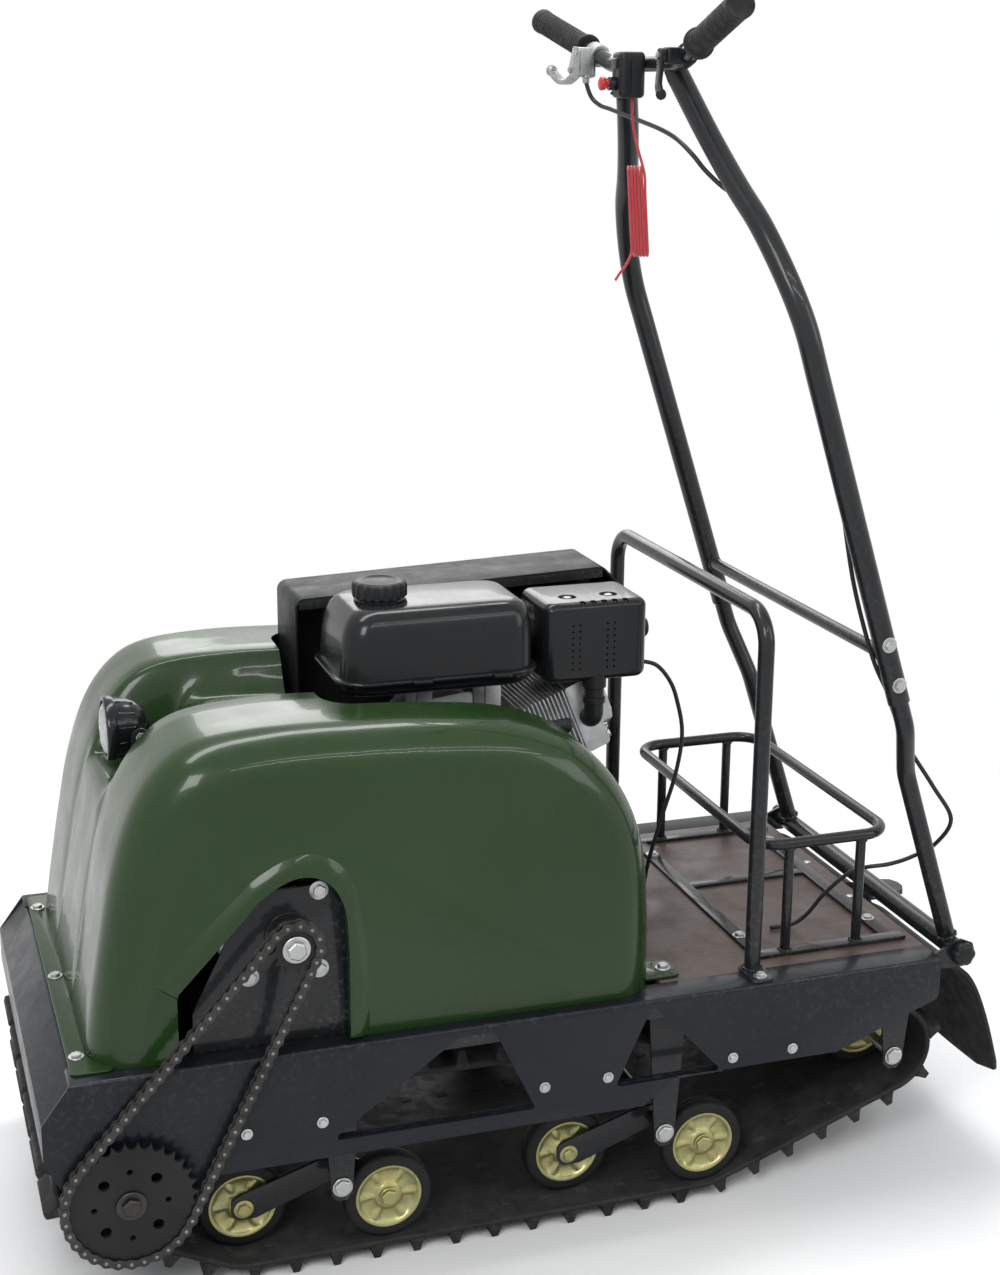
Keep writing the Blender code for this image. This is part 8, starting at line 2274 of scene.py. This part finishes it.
def drive_line():
    outer = CHAIN_PLANE + SPROCKET_THICKNESS / 2 + SEAT_GAP
    shape = bmesh.new()
    add_rod(shape, CHAIN_BASE, AXLE_RADIUS, -outer - SINK, BODY_HALF_WIDTH + 0.006, 40)
    add_rod(shape, CHAIN_BASE, AXLE_RADIUS + 0.010, -0.180, 0.180, 44)
    build("drive_axle_bar", shape, "dark_steel", "track_drive_axle", "drive_axle", sharp=35)
    shape = bmesh.new()
    outline = []
    for tooth in range(DRIVE_TEETH):
        for turn, radius in ((-0.36, 0.80), (-0.17, 1.0), (0.17, 1.0), (0.36, 0.80)):
            outline.append(polar(CHAIN_BASE, DRIVE_RADIUS * radius, (tooth + turn) * math.tau / DRIVE_TEETH))
    for middle in (-0.110, 0.110):
        add_prism(shape, rounded(outline, 0.005, 4), middle - DRIVE_WIDTH / 2, middle + DRIVE_WIDTH / 2)
        for side in SIDES:
            edge = middle + side * DRIVE_WIDTH / 2
            add_rod(shape, CHAIN_BASE, 0.034, edge - side * SINK, edge + side * 0.006, 40)
            for x, z in ring_points(CHAIN_BASE, 0.050, DRIVE_TEETH, 0.5):
                add_bolt(shape, (x, edge, z), (0, side, 0), 0.0060, 0.0040)
    build("drive_wheels", shape, "matt_plastic", "track_drive_axle", bevel=0.0008)
    shape = bmesh.new()
    add_end_bolt(shape, CHAIN_BASE, -outer, 0.0190)
    build("drive_axle_bolt", shape, "dark_steel", "track_drive_axle", sharp=30)


def add_end_bolt(shape, spot, face, washer):
    """The large washer and hexagon head that hold a sprocket on its shaft."""
    add_stack(
        shape, (spot[0], face, spot[1]), Vector((0, -1, 0)),
        (
            (0, [(0, washer - 0.0008), (0.0006, washer), (0.0024, washer), (0.0030, washer - 0.0008)], 48),
            (0.0028, [(0, 0.0118), (0.0004, 0.0125), (0.0052, 0.0125), (0.0068, 0.0105)], 6),
            (0.0072, [(-0.002, 0.0084), (0.0012, 0.0080)], 24),
        ),
    )


def toothed_plate(centre, teeth, phase, chamfer):
    """The sprocket's outline with round tooth gaps, drawn in by a chamfer toward each face."""
    radius = pitch_radius(teeth)
    outline = []
    for tooth in range(teeth):
        angle = phase + math.tau * tooth / teeth
        middle = polar(centre, radius, angle)
        for turn in range(-72, 73, 24):
            outline.append(polar(middle, ROLLER_RADIUS + SHAFT_GAP, angle + math.pi - math.radians(turn)))
        for turn, lift in ((-0.12, 0.0020), (-0.04, 0.0031), (0.04, 0.0031), (0.12, 0.0020)):
            outline.append(polar(centre, radius + lift - chamfer, angle + (1 + turn) * math.pi / teeth))
    return outline


def sprocket_piece(name, node, body, centre, teeth, phase, hub, hub_end, bore, holes):
    near = -CHAIN_PLANE - SPROCKET_THICKNESS / 2
    far = -CHAIN_PLANE + SPROCKET_THICKNESS / 2
    shape = bmesh.new()
    rings = []
    for level, chamfer in ((near, 0.0016), (near + 0.0012, 0.0), (far - 0.0012, 0.0), (far, 0.0016)):
        rings.append([(a, level, b) for a, b in toothed_plate(centre, teeth, phase, chamfer)])
    add_loft(shape, rings)
    plate = solid(shape, name)
    hub_shape = bmesh.new()
    add_rod(hub_shape, centre, hub, far - SINK, hub_end, 48)
    cut(plate, solid(hub_shape), operation="UNION")
    tools = bmesh.new()
    add_rod(tools, centre, bore + SHAFT_GAP, near - SHEET, hub_end + SHEET, 48, "Y", 0.0)
    for radius, sides, shift in ((0.0070, 28, 0.5), (0.0038, 20, 0.0)):
        for spot in ring_points(centre, pitch_radius(teeth) * 0.56, holes, shift):
            add_rod(tools, spot, radius, near - SHEET, far + SHEET, sides, "Y", 0.0)
    cut(plate, solid(tools))
    dress(plate, "sprocket", body, node, 0.0004, 30)


def chain_piece():
    plates, rollers, pins = bmesh.new(), bmesh.new(), bmesh.new()
    for index, pin in enumerate(PINS):
        start, end = Vector(pin), Vector(PINS[(index + 1) % len(PINS)])
        along = (end - start).normalized()
        middle = (start + end) / 2
        outline = []
        for centre, facing in ((end, along), (start, -along)):
            sideways = Vector((-facing.y, facing.x))
            for step in range(-5, 6):
                angle = math.radians(step * 22)
                arm = (facing * math.cos(angle) + sideways * math.sin(angle)) * PLATE_PIN_HEIGHT
                outline.append((centre, arm))
            outline.append((middle, sideways * PLATE_PIN_HEIGHT * 0.66))
        near, far = (0.00490, 0.00610) if index % 2 else (0.00365, 0.00480)
        for side in SIDES:
            low, high = sorted((-CHAIN_PLANE + side * near, -CHAIN_PLANE + side * far))
            rings = []
            for level, shrink in ((low, 0.92), (low + 0.0003, 1.0), (high - 0.0003, 1.0), (high, 0.92)):
                moved = [centre + arm * shrink for centre, arm in outline]
                rings.append([(spot.x, level, spot.y) for spot in moved])
            add_loft(plates, rings)
        add_rod(rollers, pin, ROLLER_RADIUS, -CHAIN_PLANE - 0.0035, -CHAIN_PLANE + 0.0035, 20, "Y", 0.0004)
        add_rod(pins, pin, 0.0023, -CHAIN_PLANE - 0.0068, -CHAIN_PLANE + 0.0068, 14, "Y", 0.0004)
    build("chain_plates", plates, "dark_steel", "chassis", "drive_chain", sharp=40)
    build("chain_rollers", rollers, "chain_pin")
    build_bolts("chain_pins", pins, material="chain_pin")


def jack_line():
    outer = CHAIN_PLANE + SPROCKET_THICKNESS / 2 + SEAT_GAP
    shape = bmesh.new()
    add_rod(shape, JACK_SPOT, JACKSHAFT_RADIUS, -outer - SINK, RIGHT_PLATE_Y + 0.016, 40)
    add_rod(shape, JACK_SPOT, JACKSHAFT_RADIUS + 0.012, DISC_Y - 0.004, DISC_Y + 0.018, 44)
    for x, z in ring_points(JACK_SPOT, 0.0195, 6, 0.5):
        add_bolt(shape, (x, DISC_Y + 0.0175, z), (0, 1, 0), 0.0036, 0.0030, False)
    build("jackshaft_bar", shape, "steel", "countershaft", "jackshaft", sharp=35)
    disc = bmesh.new()
    add_rod(disc, JACK_SPOT, DISC_RADIUS, DISC_Y - DISC_HALF, DISC_Y + DISC_HALF, 96, "Y", 0.0004)
    disc = solid(disc, "brake_disc")
    tools = bmesh.new()
    for index in range(12):
        for reach, shift in ((0.0400, 0.0), (0.0500, 0.165), (0.0600, 0.33)):
            spot = polar(JACK_SPOT, reach, math.tau * (index + shift) / 12)
            add_rod(tools, spot, 0.0034, DISC_Y - 0.006, DISC_Y + 0.006, 16, "Y", 0.0)
    cut(disc, solid(tools))
    dress(disc, "steel", "countershaft", sharp=30)
    shape = bmesh.new()
    add_end_bolt(shape, JACK_SPOT, -outer, 0.0175)
    build_bolts("jackshaft_bolt", shape, "countershaft")


def bearing_piece(side, name):
    centre = JACK_SPOT
    face = LEFT_PLATE_Y if side < 0 else RIGHT_PLATE_Y
    base = FOLD_HEIGHT + SEAT_GAP if side < 0 else CROSS_TOP + SEAT_GAP
    thick = PLATE_THICKNESS
    front, rear = PLATE_FRONT, PLATE_REAR
    top = centre[1] + 0.060
    outline = [
        (front, base), (front, base + 0.055), (centre[0] - 0.072, centre[1] + 0.010),
        (centre[0] - 0.044, top - 0.012), (centre[0] - 0.014, top), (rear, top), (rear, base),
    ]
    shape = bmesh.new()
    add_prism(shape, rounded(outline, 0.006, 5, (0, 1, 6)), *sided(side, face, face + thick))
    plate = solid(shape, name + "_piece")
    foot = bmesh.new()
    low, high = sorted((side * (face + thick), side * (face - 0.030)))
    add_box(foot, (front, low, base), (rear, high, base + thick))
    add_rod(
        foot, centre, JACKSHAFT_RADIUS + 0.018, side * (face - BEARING_RING),
        side * (face + thick + BEARING_RING / 2), 56,
    )
    cut(plate, solid(foot), operation="UNION")
    ring = bmesh.new()
    add_rod(ring, centre, JACKSHAFT_RADIUS + 0.010, side * face, side * (face + thick + BEARING_RING), 56)
    cut(plate, solid(ring), operation="UNION")
    cut(
        plate,
        rods_solid(
            [centre], JACKSHAFT_RADIUS + SHAFT_GAP, -0.400 if side < 0 else 0.100,
            -0.100 if side < 0 else 0.400, 48,
        ),
    )
    dress(plate, "black_paint", "chassis", name, 0.0006, 35)
    shape = bmesh.new()
    for x, z in ((rear - 0.036, top - 0.0066), (rear - 0.037, base + 0.095), (rear - 0.126, base + 0.095)):
        add_bolt(shape, (x, side * (face + thick), z), (0, side, 0), 0.0085, 0.0060)
    for x in (front + 0.030, rear - 0.030):
        add_bolt(shape, (x, side * (face - 0.016), base + thick), (0, 0, 1), 0.0075, 0.0050)
    build_bolts(name + "_bolts", shape)


def caliper():
    front = JACK_SPOT[0] - DISC_RADIUS - 0.014
    low, high = -LEFT_PLATE_Y + SEAT_GAP, DISC_Y + 0.024
    shape = bmesh.new()
    outline = rounded(corners_of(front, front + 0.040, low, high), 0.006)
    add_prism(shape, outline, JACK_SPOT[1] - 0.020, JACK_SPOT[1] + 0.020, "Z")
    body = solid(shape, "brake_caliper_body")
    slot = bmesh.new()
    add_box(
        slot, (front + 0.010, DISC_Y - 0.0024, JACK_SPOT[1] - 0.030),
        (front + 0.060, DISC_Y + 0.0024, JACK_SPOT[1] + 0.030),
    )
    cut(body, solid(slot))
    dress(body, "cast_alloy", "chassis", "brake_caliper", 0.0012, 35)
    shape = bmesh.new()
    add_rod(shape, (front + 0.024, JACK_SPOT[1]), 0.012, high - 0.001, high + 0.007, 40, "Y", 0.0012)
    for z in (-0.013, 0.013):
        add_bolt(shape, (front + 0.008, high, JACK_SPOT[1] + z), (0, 1, 0), 0.0042, 0.0040, False)
    build_bolts("brake_caliper_bolts", shape)


track()
wheels()
bogie_pair(BOGIE_PIVOTS_X[0], "bogie_front", "front_bogie")
bogie_pair(BOGIE_PIVOTS_X[1], "bogie_rear", "rear_bogie")
idler_axle()
drive_line()
sprocket_piece(
    "large_sprocket_plate", "large_sprocket", "track_drive_axle", CHAIN_BASE, LARGE_TEETH, TOOTH_PHASES[0],
    LARGE_HUB_RADIUS, LARGE_HUB_END, AXLE_RADIUS, 4,
)
sprocket_piece(
    "small_sprocket_plate", "small_sprocket", "countershaft", JACK_SPOT, SMALL_TEETH, TOOTH_PHASES[1],
    SMALL_HUB_RADIUS, SMALL_HUB_END, JACKSHAFT_RADIUS, 0,
)
chain_piece()
jack_line()
bearing_piece(-1, "bearing_plate_left")
bearing_piece(1, "bearing_plate_right")
caliper()
pulley_pair(JACK_SPOT)


# Handle details
def bar_clamp(shape, y, width, shoulder, radius, sides):
    """A clamp's ring round the handlebar."""
    along = (bar_point(y + 0.010) - bar_point(y - 0.010)).normalized()
    ring = mirrored([(0, BAR_TUBE - 0.001), (0, shoulder), (0.0010, radius)], width)
    add_spindle(shape, bar_point(y) - along * width / 2, bar_point(y) + along, ring, sides)


def perch_and_lever():
    perch = bar_point(PERCH_Y)
    start = perch.x - 0.018
    pivot = Vector((start, PERCH_Y + 0.0213, perch.z - 0.020))

    def placed(offsets, shift=0.0):
        return [Vector((start + shift, PERCH_Y + y, perch.z + z)) for y, z in offsets]

    shape = bmesh.new()
    line = [pivot + Vector((0, -0.003, 0.002))] + placed([(0.030, -0.026)], -0.001) + placed(
        [
            (0.046, -0.0325), (0.060, -0.036), (0.078, -0.0365), (0.095, -0.034), (0.112, -0.028),
            (0.127, -0.0215),
        ],
        -0.002,
    )
    add_blade(shape, smooth_line(line, 5), 0.0066, 0.0036, 0.0016)
    ball = [
        (0, 0.0045), (0.002, 0.0068), (0.006, 0.0079), (0.010, 0.0079), (0.0135, 0.0065), (0.0150, 0.0040),
    ]
    add_spindle(shape, *placed([(0.121, -0.022), (0.200, -0.010)], -0.002), ball, 28)
    add_rod(shape, (pivot.y, pivot.z), 0.0080, start - 0.010, start + 0.008, 32, "X")
    build("brake_lever_blade", shape, "pale_alloy", "brake_lever_body", "brake_lever", 0.0005, 50)
    shape = bmesh.new()
    bar_clamp(shape, PERCH_Y, 0.0220, 0.0140, 0.0152, 44)
    ears = placed(
        [
            (-0.012, 0.009), (0.012, 0.011), (0.026, -0.012), (0.0295, -0.022), (0.022, -0.0295),
            (0.006, -0.032), (-0.012, -0.030),
        ]
    )
    ears = rounded([(spot.y, spot.z) for spot in ears], 0.006, 5)
    for near, far in ((-0.0134, -0.0106), (0.0086, 0.0112)):
        add_prism(shape, ears, start + near, start + far, "X")
    core = placed([(-0.012, 0.009), (0.011, 0.010), (0.0120, -0.030), (-0.012, -0.030)])
    add_prism(shape, rounded([(spot.y, spot.z) for spot in core], 0.004), start - 0.0125, start + 0.0118, "X")
    barrel = Vector((start, PERCH_Y - 0.006, perch.z - 0.0264))
    toward = (Vector(UPPER_CABLE[0]) - barrel).normalized()
    stations = [
        (-0.004, 0.0052), (0.0010, 0.0058), (0.0050, 0.0058), (0.0056, 0.0048), (0.0110, 0.0048),
        (0.0120, 0.0040),
    ]
    add_spindle(shape, barrel, barrel + toward, stations, 28)
    build("brake_perch", shape, "pale_alloy", "handle_upper", bevel=0.0006)
    shape = bmesh.new()
    add_bolt(shape, (start - 0.0134, pivot.y, pivot.z), (-1, 0, 0), 0.0050, 0.0026, False, True)
    add_bolt(shape, (start - 0.0126, PERCH_Y - 0.003, perch.z + 0.002), (-1, 0, 0), 0.0034, 0.0024, False)
    throttle = bar_point(THROTTLE_Y)
    screw = (throttle.x - 0.0281, THROTTLE_Y + 0.006, throttle.z + 0.006)
    add_bolt(shape, screw, (-1, 0, 0), 0.0022, 0.0012, False, True)
    build_bolts("perch_screws", shape, "handle_upper")
    shape = bmesh.new()
    bar_clamp(shape, THROTTLE_Y, 0.0180, 0.0134, 0.0145, 40)
    low = (throttle.x - 0.0280, THROTTLE_Y - 0.010, throttle.z - 0.010)
    add_padded(shape, low, (throttle.x - 0.006, THROTTLE_Y + 0.010, throttle.z + 0.010), 0.004, 0.003)
    build("throttle_clamp", shape, "matt_plastic", "handle_upper", bevel=0.0004)


def add_blade(shape, line, half_width, half_height, corner):
    """A flat bar with rounded edges along a line: its width lies along X."""
    rings = []
    for index, spot in enumerate(line):
        before = line[max(index - 1, 0)]
        after = line[min(index + 1, len(line) - 1)]
        along = (after - before).normalized()
        across = Vector((1, 0, 0))
        across = (across - along * across.dot(along)).normalized()
        up = along.cross(across)
        ring = []
        for a, b, _ in rounded_rectangle((0, 0), (2 * half_width, 2 * half_height), corner, 0, 4):
            ring.append(spot + across * a + up * b)
        rings.append(ring)
    add_loft(shape, rings)


def grip_pair():
    for side, hand in HANDS:
        start = bar_point(side * GRIP_START)
        end = bar_point(side * BAR_END[1])
        length = (end - start).length + 0.005
        stations = [
            (0.0004, BAR_TUBE + 0.0006), (0.0, GRIP_RADIUS + 0.0020), (0.0010, GRIP_RADIUS + 0.0032),
            (0.0045, GRIP_RADIUS + 0.0032), (0.0060, GRIP_RADIUS + 0.0004),
        ]
        at = 0.0090
        while at < length - 0.014:
            stations += [
                (at, GRIP_RADIUS), (at + 0.0006, GRIP_RADIUS - 0.0011), (at + 0.0022, GRIP_RADIUS - 0.0011),
                (at + 0.0028, GRIP_RADIUS),
            ]
            at += 0.0062
        stations += [
            (length - 0.0090, GRIP_RADIUS + 0.0006), (length - 0.0030, GRIP_RADIUS + 0.0010),
            (length - 0.0010, GRIP_RADIUS), (length - 0.0002, GRIP_RADIUS - 0.003),
            (length, GRIP_RADIUS - 0.006),
        ]
        shape = bmesh.new()
        add_spindle(shape, start, end, stations, 48)
        build(f"grip_{hand}_rubber", shape, "rubber", "handle_upper", f"grip_{hand}", sharp=35)


def switch_and_button():
    x = BAR_X - BAR_TUBE - SEAT_GAP
    low = Vector((x - 0.036, SWITCH_Y - 0.018, BAR_Z - 0.044))
    high = Vector((x, SWITCH_Y + 0.018, BAR_Z + 0.014))
    button = (SWITCH_Y, BAR_Z - 0.026)
    shape = bmesh.new()
    add_padded(shape, low, high, 0.008, 0.006, 8, 5)
    block = solid(shape, "switch_case")
    groove = bmesh.new()
    for near, far, foot in (
        (low.y - 0.010, low.y + 0.0012, low.z - 0.010), (high.y - 0.0012, high.y + 0.010, low.z - 0.010),
        (low.y - 0.010, high.y + 0.010, high.z - 0.0012),
    ):
        add_box(groove, (low.x + 0.0145, near, foot), (low.x + 0.0153, far, high.z + 0.010))
    add_rod(groove, button, 0.0046, low.x - 0.012, low.x + 0.012, 24, "X", 0.0)
    cut(block, solid(groove))
    dress(block, "matt_plastic", "handle_upper", "switch_block", 0.0004, 35)
    shape = bmesh.new()
    add_turned(
        shape,
        [
            (0.0047, low.x - 0.010), (0.0080, low.x - 0.010), (0.0086, low.x - 0.0094),
            (0.0086, low.x + 0.001), (0.0047, low.x + 0.001),
        ],
        button, 36, "X",
    )
    add_padded(
        shape, (low.x - 0.0032, SWITCH_Y - 0.009, BAR_Z - 0.007),
        (low.x + 0.002, SWITCH_Y + 0.009, BAR_Z + 0.006), 0.0018, 0.0016,
    )
    for y in (-0.013, 0.013):
        add_bolt(
            shape, (low.x + 0.0002, SWITCH_Y + y, BAR_Z - 0.038), (-1, 0, 0), 0.0022, 0.0010, False, True,
        )
    build("switch_collar", shape, "plastic", "handle_upper", bevel=0.0003)
    face = low.x - 0.010
    shape = bmesh.new()
    add_rod(shape, button, 0.0040, face - 0.0060, face + 0.012, 24, "X")
    cap = Vector((face - STOP_TRAVEL - 0.0003, *button))
    add_spindle(
        shape, cap, cap - Vector((1, 0, 0)),
        [
            (0, 0.0076), (0.0008, 0.0082), (0.0052, 0.0088), (0.0068, 0.0082), (0.0076, 0.0066),
            (0.0080, 0.0040),
        ],
        40,
    )
    build("stop_button_cap", shape, "red_plastic", "stop_button_body", "stop_button", sharp=50)


def throttle_piece():
    spot = bar_point(THROTTLE_Y)
    x = spot.x - 0.0283
    shape = bmesh.new()
    line = [
        Vector((x + forward, THROTTLE_Y + y, spot.z + z))
        for forward, y, z in (
            (-0.004, 0, 0.004), (-0.0055, -0.001, -0.006), (-0.007, -0.004, -0.016), (-0.012, -0.012, -0.034),
            (-0.014, -0.022, -0.046),
        )
    ]
    add_blade(shape, smooth_line(line, 5), 0.0031, 0.0066, 0.0020)
    add_rod(shape, (THROTTLE_Y, spot.z), 0.009, x - 0.008, x, 36, "X", 0.0010)
    pad = [(-0.004, 0.0050), (0, 0.0066), (0.004, 0.0066), (0.0062, 0.0045)]
    add_spindle(shape, line[-1] + Vector((0, -0.003, 0)), line[-1] + Vector((-0.3, -0.9, -0.2)), pad, 24)
    build("throttle_thumb", shape, "matt_plastic", "throttle_lever_body", "throttle_lever", 0.0004, 45)
    shape = bmesh.new()
    add_bolt(shape, (x - 0.008, THROTTLE_Y, spot.z), (-1, 0, 0), 0.0046, 0.0028, False, True)
    build_bolts("throttle_screw", shape, "throttle_lever_body")


perch_and_lever()
grip_pair()
switch_and_button()
throttle_piece()
